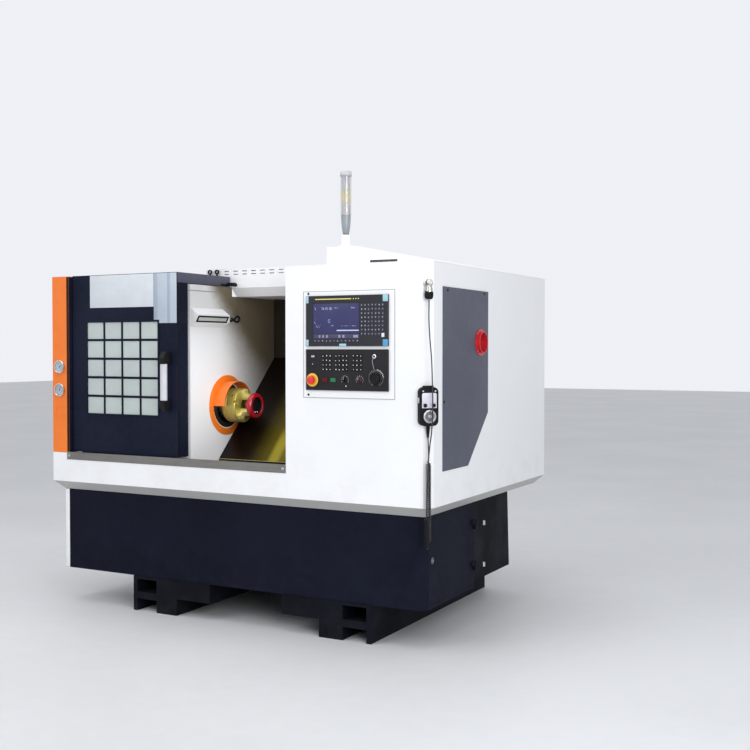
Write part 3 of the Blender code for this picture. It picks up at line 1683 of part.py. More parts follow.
def build_signal_lamp():
    """The signal lamp: footed housing, clear lens tube and cap."""
    foot = HOOD_TOP + GAP
    lens_foot = LAMP_HOUSING_TOP + GAP
    base = [
        (0, LAMP_HOUSING_TOP),
        (LAMP_LENS_RADIUS, LAMP_HOUSING_TOP),
        (LAMP_STEM_RADIUS, LAMP_BASE_HEIGHT + LAMP_RING_HEIGHT),
        (LAMP_RING_RADIUS, LAMP_BASE_HEIGHT + LAMP_RING_HEIGHT),
        (LAMP_RING_RADIUS, LAMP_BASE_HEIGHT),
        (LAMP_BASE_RADIUS, LAMP_BASE_HEIGHT * 2 / 3),
        (LAMP_BASE_RADIUS, 0),
        (0, 0),
    ]
    place = facing_up(LAMP_FROM_RIGHT, LAMP_SETBACK, foot)
    turned("signal_lamp_base", base, place, white_paint(), steps=24)
    lens = [
        (0, LAMP_HEIGHT),
        (LAMP_CAP_RADIUS * 3 / 4, LAMP_HEIGHT),
        (LAMP_CAP_RADIUS, LAMP_HEIGHT - LAMP_RING_HEIGHT),
        (LAMP_CAP_RADIUS, LAMP_LENS_TOP),
        (LAMP_LENS_RADIUS, LAMP_LENS_TOP),
        (LAMP_LENS_RADIUS, lens_foot),
        (LAMP_LENS_RADIUS - LAMP_WALL, lens_foot),
        (LAMP_LENS_RADIUS - LAMP_WALL, LAMP_LENS_TOP),
        (0, LAMP_LENS_TOP),
    ]
    clear = material("clear_lens", (0.75, 0.78, 0.74), 0.1)
    turned("signal_lamp_lens", lens, place, clear, steps=24)


def build_spindle_line():
    """Headstock, spindle with its pulley and cylinder, chuck, motor and belt."""
    build_headstock()
    axis = facing_right(0, SPINDLE_SETBACK, SPINDLE_HEIGHT)
    nose_back = CHUCK_BACK + GAP + SPINDLE_NOSE
    shaft = HEADSTOCK_BORE - RUN_GAP
    rim = SPINDLE_PULLEY_RADIUS
    flange = rim + PULLEY_LIP
    pulley_left = PULLEY_RIGHT + PULLEY_WIDTH
    profile = [
        (SPINDLE_BORE, -CHUCK_BACK - GAP),
        (SPINDLE_NOSE_RADIUS, -CHUCK_BACK - GAP),
        (SPINDLE_NOSE_RADIUS, -nose_back),
        (shaft, -nose_back - OVERRUN),
        (shaft, -PULLEY_RIGHT + OVERRUN),
        (SPINDLE_THROAT, -PULLEY_RIGHT + OVERRUN / 2),
        (SPINDLE_THROAT, -PULLEY_RIGHT),
        (flange, -PULLEY_RIGHT),
        (flange, -PULLEY_RIGHT - PULLEY_LIP_WIDTH),
        (rim, -PULLEY_RIGHT - PULLEY_LIP_WIDTH),
        (rim, -pulley_left + PULLEY_LIP_WIDTH),
        (flange, -pulley_left + PULLEY_LIP_WIDTH),
        (flange, -pulley_left),
        (SPINDLE_THROAT, -pulley_left),
        (SPINDLE_THROAT, -pulley_left - OVERRUN),
        (CYLINDER_RADIUS, -pulley_left - OVERRUN),
        (CYLINDER_RADIUS, -CYLINDER_LEFT),
        (SPINDLE_BORE, -CYLINDER_LEFT),
    ]
    turned("spindle", profile, axis, ground_steel(), steps=28)
    build_chuck(axis)
    build_motor()


def build_headstock():
    """The headstock casting: finned block with a bored tunnel and two bearing caps."""
    seat = SEAT_HEIGHT + GAP
    half = HEADSTOCK_HALF
    top = HEADSTOCK_TOP
    cut_back = HEADSTOCK_CUT
    section = [
        (SPINDLE_SETBACK - half, seat),
        (SPINDLE_SETBACK + half, seat),
        (SPINDLE_SETBACK + half, top - cut_back),
        (SPINDLE_SETBACK + half - cut_back, top),
        (SPINDLE_SETBACK - half + cut_back, top),
        (SPINDLE_SETBACK - half, top - cut_back),
    ]
    outline = [(y_at(u), z) for u, z in section]
    middle = x_at((HEADSTOCK_LEFT + HEADSTOCK_RIGHT) / 2)
    casting = slab(
        "headstock",
        [outline],
        HEADSTOCK_LEFT - HEADSTOCK_RIGHT,
        Matrix.Translation((middle, 0, 0)) @ ALONG_X,
        cast_iron(),
    )
    pitch = (HEADSTOCK_LEFT - HEADSTOCK_RIGHT) / (HEADSTOCK_FINS + 1)
    grooves = [
        (
            (
                HEADSTOCK_RIGHT + (i + 1) * pitch - HEADSTOCK_FIN / 2,
                HEADSTOCK_RIGHT + (i + 1) * pitch + HEADSTOCK_FIN / 2,
            ),
            (SPINDLE_SETBACK - half / 2, SPINDLE_SETBACK + half / 2),
            (top - HEADSTOCK_FIN, top + OVERRUN),
        )
        for i in range(HEADSTOCK_FINS)
    ]
    cut(casting, blocks("headstock_grooves", grooves))
    for number, (start_t, way) in enumerate(((HEADSTOCK_RIGHT, 1), (HEADSTOCK_LEFT, -1))):
        base_t = start_t + (OVERRUN if way > 0 else HEADSTOCK_CAP)
        cap = rod(
            f"bearing_cap_{number}",
            HEADSTOCK_CAP_RADIUS,
            HEADSTOCK_CAP + OVERRUN,
            facing_right(base_t, SPINDLE_SETBACK, SPINDLE_HEIGHT),
            None,
            steps=32,
            helper=True,
        )
        join(casting, cap)
    tunnel = rod(
        "headstock_tunnel",
        HEADSTOCK_BORE,
        HEADSTOCK_LEFT - HEADSTOCK_RIGHT + 2 * HEADSTOCK_CAP + 2 * OVERRUN,
        facing_right(HEADSTOCK_LEFT + HEADSTOCK_CAP + OVERRUN, SPINDLE_SETBACK, SPINDLE_HEIGHT),
        None,
        steps=32,
        helper=True,
    )
    cut(casting, tunnel)


def build_chuck(axis):
    """The three-jaw chuck: slotted body, stepped jaws in the slots and the gripped ring."""
    steel = material("oiled_chuck_steel", (0.30, 0.25, 0.07), 0.3, 1.0)
    face = -CHUCK_FACE
    back = -CHUCK_BACK
    profile = [
        (SPINDLE_BORE, face),
        (CHUCK_RADIUS - CHUCK_RIM_CUT, face),
        (CHUCK_RADIUS, face - CHUCK_RIM_CUT),
        (CHUCK_RADIUS, back),
        (SPINDLE_BORE, back),
    ]
    chuck = turned("chuck_body", profile, axis, steel, steps=36)
    jaw_finish = material("jaw_steel", (0.50, 0.42, 0.12), 0.32, 1.0)
    for number in range(JAW_COUNT):
        angle = JAW_FIRST_ANGLE + FULL_TURN * number / JAW_COUNT
        turn = axis @ Matrix.Rotation(angle, 4, "Z")
        slot = put_box(
            f"jaw_slot_{number}",
            (SPINDLE_BORE + RING_ROUND / 2, -JAW_FOOT_WIDTH / 2 - SLOT_GAP, face - JAW_FOOT_DEPTH - SLOT_GAP),
            (CHUCK_RADIUS + OVERRUN, JAW_FOOT_WIDTH / 2 + SLOT_GAP, face + OVERRUN),
            turn,
        )
        cut(chuck, slot)
        jaw = slab(
            f"jaw_{number + 1}",
            [
                [
                    (JAW_INNER, face + GAP),
                    (JAW_OUTER, face + GAP),
                    (JAW_OUTER, face + JAW_LOW),
                    (JAW_STEP, face + JAW_LOW),
                    (JAW_STEP, face + JAW_LENGTH),
                    (JAW_INNER, face + JAW_LENGTH),
                ]
            ],
            JAW_WIDTH,
            turn @ Matrix.Rotation(math.radians(90), 4, "X"),
            jaw_finish,
        )
        soften(jaw, JAW_EDGE)
        foot = put_box(
            f"jaw_foot_{number}",
            (JAW_INNER, -JAW_FOOT_WIDTH / 2, face - JAW_FOOT_DEPTH),
            (JAW_OUTER - JAW_TRAVEL, JAW_FOOT_WIDTH / 2, face + JAW_LOW / 2),
            turn,
        )
        join(jaw, foot)
    front = face + JAW_LENGTH + GAP
    ring = [
        (RING_BORE, front + RING_THICK),
        (RING_RADIUS - RING_ROUND, front + RING_THICK),
        (RING_RADIUS, front + RING_THICK - RING_ROUND),
        (RING_RADIUS, front + RING_ROUND / 2),
        (RING_RADIUS - RING_ROUND / 2, front),
        (JAW_INNER - GAP, front),
        (JAW_INNER - GAP, front - RING_SPIGOT),
        (RING_BORE, front - RING_SPIGOT),
    ]
    red = material("red_ring", (0.45, 0.012, 0.03), 0.3)
    turned("gripped_ring", ring, axis, red, steps=36)


def put_box(name, low, high, matrix):
    """A helper box between two corners of the frame of a matrix."""
    bm = bmesh.new()
    add_box(bm, low, high)
    piece = put(name, mesh_of(name, bm), None, helper=True)
    piece.matrix_local = matrix
    return piece


def build_motor():
    """The spindle motor on the seat, its pulley and the belt to the spindle."""
    seat = SEAT_HEIGHT + GAP
    low = MOTOR_HEIGHT - MOTOR_HALF
    cut_back = MOTOR_CUT
    front = MOTOR_SETBACK - MOTOR_HALF
    back = MOTOR_SETBACK + MOTOR_HALF
    section = [
        (front, seat),
        (back, seat),
        (back, seat + MOTOR_FOOT),
        (back - cut_back, low),
        (back, low + cut_back),
        (back, MOTOR_HEIGHT + MOTOR_HALF - cut_back),
        (back - cut_back, MOTOR_HEIGHT + MOTOR_HALF),
        (front + cut_back, MOTOR_HEIGHT + MOTOR_HALF),
        (front, MOTOR_HEIGHT + MOTOR_HALF - cut_back),
        (front, low + cut_back),
        (front + cut_back, low),
        (front, seat + MOTOR_FOOT),
    ]
    outline = [(y_at(u), z) for u, z in section]
    middle = x_at((MOTOR_LEFT + MOTOR_RIGHT) / 2)
    motor = slab(
        "spindle_motor",
        [outline],
        MOTOR_LEFT - MOTOR_RIGHT,
        Matrix.Translation((middle, 0, 0)) @ ALONG_X,
        grey_paint(),
    )
    shaft = rod(
        "motor_shaft",
        MOTOR_SHAFT_RADIUS,
        PULLEY_RIGHT + PULLEY_WIDTH - MOTOR_LEFT + OVERRUN,
        facing_right(PULLEY_RIGHT + PULLEY_WIDTH, MOTOR_SETBACK, MOTOR_HEIGHT),
        None,
        steps=16,
        helper=True,
    )
    join(motor, shaft)
    rim = MOTOR_PULLEY_RADIUS
    flange = rim + PULLEY_LIP
    bore = MOTOR_SHAFT_RADIUS + GAP
    left = PULLEY_RIGHT + PULLEY_WIDTH
    profile = [
        (bore, -PULLEY_RIGHT),
        (flange, -PULLEY_RIGHT),
        (flange, -PULLEY_RIGHT - PULLEY_LIP_WIDTH),
        (rim, -PULLEY_RIGHT - PULLEY_LIP_WIDTH),
        (rim, -left + PULLEY_LIP_WIDTH),
        (flange, -left + PULLEY_LIP_WIDTH),
        (flange, -left),
        (bore, -left),
    ]
    turned(
        "motor_pulley",
        profile,
        facing_right(0, MOTOR_SETBACK, MOTOR_HEIGHT),
        ground_steel(),
        steps=32,
    )
    build_belt()


def build_belt():
    """The flat toothless side of the belt: a closed band round both pulleys."""
    first = Vector((y_at(SPINDLE_SETBACK), SPINDLE_HEIGHT))
    second = Vector((y_at(MOTOR_SETBACK), MOTOR_HEIGHT))
    between = second - first
    tilt = math.atan2(between.y, between.x)
    spread = math.acos((SPINDLE_PULLEY_RADIUS - MOTOR_PULLEY_RADIUS) / between.length)

    def loop(extra):
        large = SPINDLE_PULLEY_RADIUS + extra
        small = MOTOR_PULLEY_RADIUS + extra
        far = ring_points(large, 20, first, tilt + spread, FULL_TURN - 2 * spread, closed=False)
        near = ring_points(small, 16, second, tilt - spread, 2 * spread, closed=False)
        return far + near

    # The inner band clears the flats of the pulleys' facets by standing a gap off their rims.
    width = PULLEY_WIDTH - 2 * PULLEY_LIP_WIDTH - 4 * GAP
    middle = PULLEY_RIGHT + PULLEY_WIDTH / 2
    slab(
        "drive_belt",
        [loop(BELT_THICK), loop(2 * GAP)],
        width,
        Matrix.Translation((x_at(middle), 0, 0)) @ ALONG_X,
        black_plastic(),
    )


def build_carriage():
    """The saddle on its ways, the cross slide with the turret, and the long screw."""
    grey = material("machined_iron", (0.20, 0.20, 0.21), 0.4, 0.8)
    saddle = slope_boxes(
        "saddle",
        [((SADDLE_RIGHT, SADDLE_LEFT), (SADDLE_LOW, SADDLE_HIGH), (SADDLE_FOOT, SADDLE_TOP))],
        grey,
    )
    rib_top = COVER_NORMAL + COVER_STAGE - COVER_SHEET - GAP
    rib = slope_boxes(
        "saddle_rib",
        [
            (
                (SADDLE_LEFT - SADDLE_RIB, SADDLE_LEFT),
                (SADDLE_RIB_LOW, SADDLE_RIB_HIGH),
                (SADDLE_TOP - OVERRUN, rib_top),
            )
        ],
        None,
        helper=True,
    )
    way_top = BED_NORMAL + WAY_HEIGHT
    grooves = slope_boxes(
        "way_grooves",
        [
            (
                (SADDLE_RIGHT - OVERRUN, SADDLE_LEFT + OVERRUN),
                (s - WAY_WIDTH / 2 - GAP, s + WAY_WIDTH / 2 + GAP),
                (SADDLE_FOOT - OVERRUN, way_top + GAP),
            )
            for s in WAY_PLACES
        ],
        None,
        helper=True,
    )
    nut_bore = rod(
        "saddle_nut_bore",
        SCREW_RADIUS + RUN_GAP,
        SADDLE_LEFT - SADDLE_RIGHT + 2 * OVERRUN,
        screw_place(SADDLE_LEFT + OVERRUN),
        None,
        steps=20,
        helper=True,
    )
    key_way = slope_boxes(
        "slide_keyway",
        [
            (
                (slide_middle() - SLIDE_KEY_WIDTH / 2 - GAP, slide_middle() + SLIDE_KEY_WIDTH / 2 + GAP),
                (SADDLE_LOW - OVERRUN, SADDLE_HIGH + OVERRUN),
                (SADDLE_TOP - SLIDE_KEY_DEPTH - GAP, SADDLE_TOP + OVERRUN),
            )
        ],
        None,
        helper=True,
    )
    join(saddle, rib)
    cut(saddle, grooves, nut_bore, key_way)

    screw_length = BEARING_PLACES[1] - BEARING_PLACES[0] + BEARING_BLOCK[1]
    rod(
        "z_ball_screw",
        SCREW_RADIUS,
        screw_length,
        screw_place(BEARING_PLACES[1] + BEARING_BLOCK[1] / 2),
        ground_steel(),
        steps=20,
    )
    build_turret(grey)


def slide_middle():
    """Distance of the cross slide's centre line from the right side plane."""
    return (SLIDE_RIGHT + SLIDE_LEFT) / 2


def turret_centre():
    """The turret's centre on the slope, up from the spindle axis."""
    s = slope_s(SPINDLE_SETBACK, SPINDLE_HEIGHT) + TURRET_REST
    n = slope_n(SPINDLE_SETBACK, SPINDLE_HEIGHT)
    return s, n


def build_turret(grey):
    """The cross slide with its turret body, and the eight-sided disc with tool blocks."""
    s, n = turret_centre()
    slide_low = s - SLIDE_LENGTH / 2 - SLIDE_KEY_DEPTH
    slide_high = slide_low + SLIDE_LENGTH
    foot = SADDLE_TOP + GAP
    slide = slope_boxes(
        "cross_slide",
        [((SLIDE_RIGHT, SLIDE_LEFT), (slide_low, slide_high), (foot, SLIDE_TOP))],
        grey,
    )
    key = slope_boxes(
        "slide_key",
        [
            (
                (slide_middle() - SLIDE_KEY_WIDTH / 2, slide_middle() + SLIDE_KEY_WIDTH / 2),
                (slide_low + OVERRUN, slide_high - OVERRUN),
                (foot - SLIDE_KEY_DEPTH, foot + OVERRUN),
            )
        ],
        None,
        helper=True,
    )
    half = TURRET_BODY_HALF
    body = slope_boxes(
        "turret_body",
        [((TURRET_BODY_RIGHT, TURRET_BODY_LEFT), (s - half, s + half), (SLIDE_TOP - OVERRUN, n + half))],
        None,
        helper=True,
    )
    soften(body, OVERRUN)
    join(slide, key, body)

    disc_back = TURRET_BODY_LEFT + GAP
    front = disc_back + TURRET_DISC
    axis = on_slope() @ Matrix.Translation((0, s, n)) @ Matrix.Rotation(math.radians(90), 4, "Y")
    flats = ring_points(TURRET_RADIUS / math.cos(math.pi / TURRET_SIDES), TURRET_SIDES, start=math.pi / 8)
    disc = slab(
        "turret_disc",
        [flats],
        TURRET_DISC,
        axis @ Matrix.Translation((0, 0, -(disc_back + front) / 2)),
        material("turret_steel", (0.42, 0.42, 0.43), 0.3, 1.0),
    )
    hub = rod(
        "turret_hub",
        DISC_HUB_RADIUS,
        DISC_HUB + OVERRUN,
        axis @ Matrix.Translation((0, 0, -front - DISC_HUB)),
        None,
        steps=20,
        helper=True,
    )
    join(disc, hub)
    for number in range(TURRET_SIDES // 2):
        turn = axis @ Matrix.Rotation(FULL_TURN * number * 2 / TURRET_SIDES, 4, "Z")
        tool = slab(
            f"tool_block_{number}",
            [
                [
                    (-TURRET_RADIUS + OVERRUN, -disc_back - TURRET_DISC + TOOL_BLOCK),
                    (-TURRET_RADIUS - TOOL_HEIGHT / 2, -disc_back - TURRET_DISC + TOOL_BLOCK),
                    (-TURRET_RADIUS - TOOL_HEIGHT, -front + TOOL_NOSE / 2),
                    (-TURRET_RADIUS - TOOL_HEIGHT, -front - TOOL_NOSE),
                    (-TURRET_RADIUS - TOOL_HEIGHT / 2, -front - TOOL_NOSE / 2),
                    (-TURRET_RADIUS + OVERRUN, -front - TOOL_NOSE / 2),
                ]
            ],
            TOOL_WIDTH,
            turn @ Matrix.Rotation(math.radians(90), 4, "X"),
            None,
            helper=True,
        )
        join(disc, tool)


def build_door():
    """The folded sliding door with its window, shoes, buffer arm and pull handle."""
    right = CABINET_WIDTH + DOORWAY_WIDTH
    left = right + DOOR_WIDTH
    back = DOOR_FRONT + DOOR_REACH
    door = open_box(
        "sliding_door",
        (right, left),
        (DOOR_FRONT, back),
        (DOOR_BOTTOM, DOOR_TOP),
        [(0, 1, 0), (0, 0, -1)],
        DOOR_SHEET,
        navy_paint(),
    )
    below_roof = block(
        "door_side_cut",
        (right - OVERRUN, left + OVERRUN),
        (DOOR_FRONT + DOOR_SIDE, back + OVERRUN),
        (DOOR_BOTTOM - OVERRUN, DOOR_TOP - DOOR_LIP),
        None,
        helper=True,
    )
    cell_w = (WINDOW_WIDTH - (WINDOW_COLUMNS - 1) * WINDOW_BAR) / WINDOW_COLUMNS
    cell_h = (WINDOW_HEIGHT - (WINDOW_ROWS - 1) * WINDOW_BAR) / WINDOW_ROWS
    first_t = right + WINDOW_INSET
    panes = [
        (
            (first_t + i * (cell_w + WINDOW_BAR), first_t + i * (cell_w + WINDOW_BAR) + cell_w),
            (DOOR_FRONT - OVERRUN, DOOR_FRONT + OVERRUN),
            (
                WINDOW_BOTTOM + j * (cell_h + WINDOW_BAR),
                WINDOW_BOTTOM + j * (cell_h + WINDOW_BAR) + cell_h,
            ),
        )
        for i in range(WINDOW_COLUMNS)
        for j in range(WINDOW_ROWS)
    ]
    cut(door, below_roof, blocks("window_panes", panes))
    shoe_front = RAIL_FRONT - SHOE_WALL
    shoe_back = RAIL_FRONT + RAIL_WIDTH + SHOE_WALL
    shoes = []
    for number, edge in enumerate((right + SHOE_INSET, left - SHOE_INSET - SHOE_LENGTH)):
        shoe = block(
            f"door_shoe_{number}",
            (edge, edge + SHOE_LENGTH),
            (DOOR_FRONT + DOOR_SHEET / 2, shoe_back),
            (SILL_FLOOR + GAP, SILL_TOP + SHOE_HEIGHT),
            None,
            helper=True,
        )
        shoes.append(shoe)
    join(door, *shoes)
    groove = block(
        "door_shoe_groove",
        (right - OVERRUN, left + OVERRUN),
        (RAIL_FRONT - GAP, RAIL_FRONT + RAIL_WIDTH + GAP),
        (SILL_FLOOR - OVERRUN, RAIL_TOP + GAP),
        None,
        helper=True,
    )
    cut(door, groove)
    arm = block(
        "door_buffer_arm",
        (right + DOOR_SHEET / 2, right - PULL_LENGTH),
        (back - PULL_WIDTH - PULL_DROP, back - PULL_DROP),
        (DOOR_TOP - DOOR_LIP - PULL_DROP / 2, DOOR_TOP - DOOR_LIP + PULL_DROP / 2),
        None,
        helper=True,
    )
    join(door, arm)
    set_origin(door, (x_at(left), y_at(DOOR_FRONT), SILL_TOP))

    glass_front = DOOR_FRONT + DOOR_SHEET + GAP
    glass = material("pale_green_glass", (0.72, 0.78, 0.75), 0.08)
    block(
        "window_glass",
        (first_t - GLASS_MARGIN, first_t + WINDOW_WIDTH + GLASS_MARGIN),
        (glass_front, glass_front + GLASS_THICK),
        (WINDOW_BOTTOM - GLASS_MARGIN, WINDOW_BOTTOM + WINDOW_HEIGHT + GLASS_MARGIN),
        glass,
    )
    build_handle(right + HANDLE_INSET)


def build_handle(t):
    """The door's pull handle: two end brackets on one rod, with a sleeve grip round it."""
    face = DOOR_FRONT - GAP
    top = HANDLE_BOTTOM + HANDLE_HEIGHT
    out = face - HANDLE_PROUD

    def bracket(name, z_wall, z_grip):
        middle = (z_wall + z_grip) / 2
        section = [
            (face, z_wall),
            (out + GRIP_RADIUS, z_wall),
            (out, middle),
            (out, z_grip),
            (face, z_grip),
        ]
        outline = [(y_at(u), z) for u, z in section]
        place = Matrix.Translation((x_at(t), 0, 0)) @ ALONG_X
        return slab(name, [outline], HANDLE_WIDTH, place, black_plastic(), helper=name != "door_handle")

    lower = bracket("door_handle", HANDLE_BOTTOM, GRIP_BOTTOM - GAP)
    upper = bracket("handle_upper_bracket", top, GRIP_BOTTOM + GRIP_HEIGHT + GAP)
    middle_u = out + GRIP_RADIUS
    core = rod(
        "handle_rod",
        HANDLE_ROD_RADIUS,
        GRIP_HEIGHT + 2 * OVERRUN,
        facing_up(t, middle_u, GRIP_BOTTOM - OVERRUN),
        None,
        steps=16,
        helper=True,
    )
    join(lower, core, upper)
    profile = [
        (HANDLE_ROD_RADIUS + GAP, GRIP_HEIGHT),
        (GRIP_RADIUS - GAP, GRIP_HEIGHT),
        (GRIP_RADIUS - GAP, 0),
        (HANDLE_ROD_RADIUS + GAP, 0),
    ]
    grip = material("pale_grip", (0.80, 0.80, 0.84), 0.4)
    turned("handle_grip", profile, facing_up(t, middle_u, GRIP_BOTTOM), grip, steps=24)


def build_panel():
    """The operator panel: plate, display unit, key unit and everything that is pressed or turned."""
    plate_face = -GAP - PLATE_SHEET
    unit_back = plate_face - GAP
    unit_face = unit_back - UNIT_DEPTH
    block(
        "panel_plate",
        (PLATE_RIGHT, PLATE_LEFT),
        (-GAP, plate_face),
        (PLATE_BOTTOM, PLATE_TOP),
        white_paint(),
    )
    display = block(
        "display_unit",
        (UNIT_RIGHT, UNIT_LEFT),
        (unit_back, unit_face),
        (DISPLAY_BOTTOM, DISPLAY_TOP),
        charcoal_panel(),
    )
    screen = block(
        "screen_well",
        SCREEN_SPAN,
        (unit_face - OVERRUN, unit_face + SCREEN_DEPTH),
        SCREEN_HEIGHTS,
        None,
        helper=True,
    )
    cut(display, screen)
    keys = key_grid(MDI_SPAN, MDI_HEIGHTS, MDI_COLUMNS, MDI_ROWS, unit_face)
    keys += key_grid(SCREEN_SPAN, SOFTKEY_HEIGHTS, SOFTKEY_COUNT, 1, unit_face)
    join(display, blocks("display_keys", keys))

    keypad = block(
        "keypad_unit",
        (UNIT_RIGHT, UNIT_LEFT),
        (unit_back, unit_face),
        (KEYPAD_BOTTOM, KEYPAD_TOP),
        charcoal_panel(),
    )
    keys = []
    for low, high, columns in PAD_GROUPS:
        keys += key_grid((low, high), PAD_HEIGHTS, columns, PAD_ROWS, unit_face)
    join(keypad, blocks("pad_keys", keys))
    build_controls(keypad, unit_face)


def key_grid(span, heights, columns, rows, face):
    """The spans of a grid of raised keys."""
    width = (span[1] - span[0]) / columns
    height = (heights[1] - heights[0]) / rows
    side = width * KEY_SIZE_SHARE
    rise = height * KEY_SIZE_SHARE
    return [
        (
            (span[0] + i * width, span[0] + i * width + side),
            (face - KEY_PROUD, face + KEY_SINK),
            (heights[0] + j * height, heights[0] + j * height + rise),
        )
        for i in range(columns)
        for j in range(rows)
    ]


def build_controls(keypad, face):
    """The stop mushroom, two buttons, two knobs and the feed dial, each in its own seat."""
    t, z = ESTOP_PLACE
    collar = rod(
        "estop_collar",
        ESTOP_COLLAR_RADIUS,
        ESTOP_COLLAR_PROUD + KEY_SINK,
        facing_front(t, face + KEY_SINK, z),
        None,
        steps=32,
        helper=True,
    )
    join(keypad, collar)
    seats = [(t, z, ESTOP_STEM + RUN_GAP, ESTOP_TRAVEL + 2 * GAP)]
    for t_knob, z_knob in (*KNOB_PLACES, FEED_PLACE):
        seats.append((t_knob, z_knob, KNOB_STEM + RUN_GAP, STEM_DEPTH + GAP))
    for number, (t_seat, z_seat, radius, depth) in enumerate(seats):
        hole = rod(
            f"control_seat_{number}",
            radius,
            depth + OVERRUN,
            facing_front(t_seat, face + depth, z_seat),
            None,
            steps=20,
            helper=True,
        )
        cut(keypad, hole)

    red = material("red_button", (0.62, 0.02, 0.02), 0.35)
    dome = ESTOP_RADIUS / 3
    profile = [
        (0, ESTOP_PROUD),
        (ESTOP_RADIUS - dome, ESTOP_PROUD),
        (ESTOP_RADIUS, ESTOP_PROUD - dome / 2),
        (ESTOP_RADIUS, ESTOP_PROUD - ESTOP_HEAD),
        (ESTOP_STEM, ESTOP_PROUD - ESTOP_HEAD - dome / 3),
        (ESTOP_STEM, -GAP),
        (0, -GAP),
    ]
    turned("emergency_stop", profile, facing_front(t, face, z), red, steps=28)

    colours = (("stop_button", STOP_PLACE, red), ("start_button", START_PLACE, green()))
    for name, (t_button, z_button), finish in colours:
        side = BUTTON_WIDTH / 2
        rise = BUTTON_HEIGHT / 2
        block(
            name,
            (t_button - side, t_button + side),
            (face + BUTTON_SEAT - BUTTON_TRAVEL - GAP, face - BUTTON_PROUD),
            (z_button - rise, z_button + rise),
            finish,
            bevel=BUTTON_PROUD / 6,
        )
        pocket = block(
            f"{name}_pocket",
            (t_button - side - GAP, t_button + side + GAP),
            (face + BUTTON_SEAT, face - OVERRUN),
            (z_button - rise - GAP, z_button + rise + GAP),
            None,
            helper=True,
        )
        cut(keypad, pocket)
    for name, (t_knob, z_knob) in zip(("mode_knob", "override_knob"), KNOB_PLACES):
        build_knob(name, t_knob, z_knob, face)
    build_feed_dial(face)
    t_lock, z_lock = KEYLOCK_PLACE
    lock = rod(
        "key_lock",
        KEYLOCK_RADIUS,
        KNOB_STEM + KEY_SINK,
        facing_front(t_lock, face + KEY_SINK, z_lock),
        None,
        steps=20,
        helper=True,
    )
    join(keypad, lock)


def green():
    return material("green_button", (0.03, 0.42, 0.20), 0.35)


def build_knob(name, t, z, face):
    """A pointer knob: skirted turned body with a raised grip bar."""
    profile = [
        (0, KNOB_PROUD / 2),
        (KNOB_RADIUS - KNOB_POINTER / 2, KNOB_PROUD / 2),
        (KNOB_RADIUS, KNOB_PROUD / 4),
        (KNOB_RADIUS, GAP),
        (KNOB_STEM, GAP),
        (KNOB_STEM, -STEM_DEPTH),
        (0, -STEM_DEPTH),
    ]
    place = facing_front(t, face, z)
    knob = turned(name, profile, place, black_plastic(), steps=24)
    bar = put_box(
        name + "_bar",
        (-KNOB_POINTER / 2, -KNOB_RADIUS + KNOB_POINTER / 2, KNOB_PROUD / 3),
        (KNOB_POINTER / 2, KNOB_RADIUS - KNOB_POINTER / 3, KNOB_PROUD),
        place,
    )
    return join(knob, bar)


def build_feed_dial(face):
    """The large fluted dial."""
    t, z = FEED_PLACE
    profile = [
        (0, FEED_PROUD),
        (FEED_RADIUS * 2 / 3, FEED_PROUD),
        (FEED_RADIUS * 3 / 4, FEED_PROUD / 2),
        (FEED_RADIUS - FEED_FLUTE_RADIUS, FEED_PROUD / 2),
        (FEED_RADIUS, FEED_PROUD / 3),
        (FEED_RADIUS, GAP),
        (KNOB_STEM, GAP),
        (KNOB_STEM, -STEM_DEPTH),
        (0, -STEM_DEPTH),
    ]
    turned("feed_dial", profile, facing_front(t, face, z), black_plastic(), steps=FEED_FLUTES)


def pendant_frame():
    """The pendant's frame on the cut corner: X along it to the right, Y inwards, Z up."""
    middle = CORNER_CUT / 2
    corner = Matrix.Translation((x_at(middle), y_at(middle), 0)) @ Matrix.Rotation(SLOPE, 4, "Z")
    return corner @ Matrix.Translation((-PENDANT_SHIFT, 0, 0))


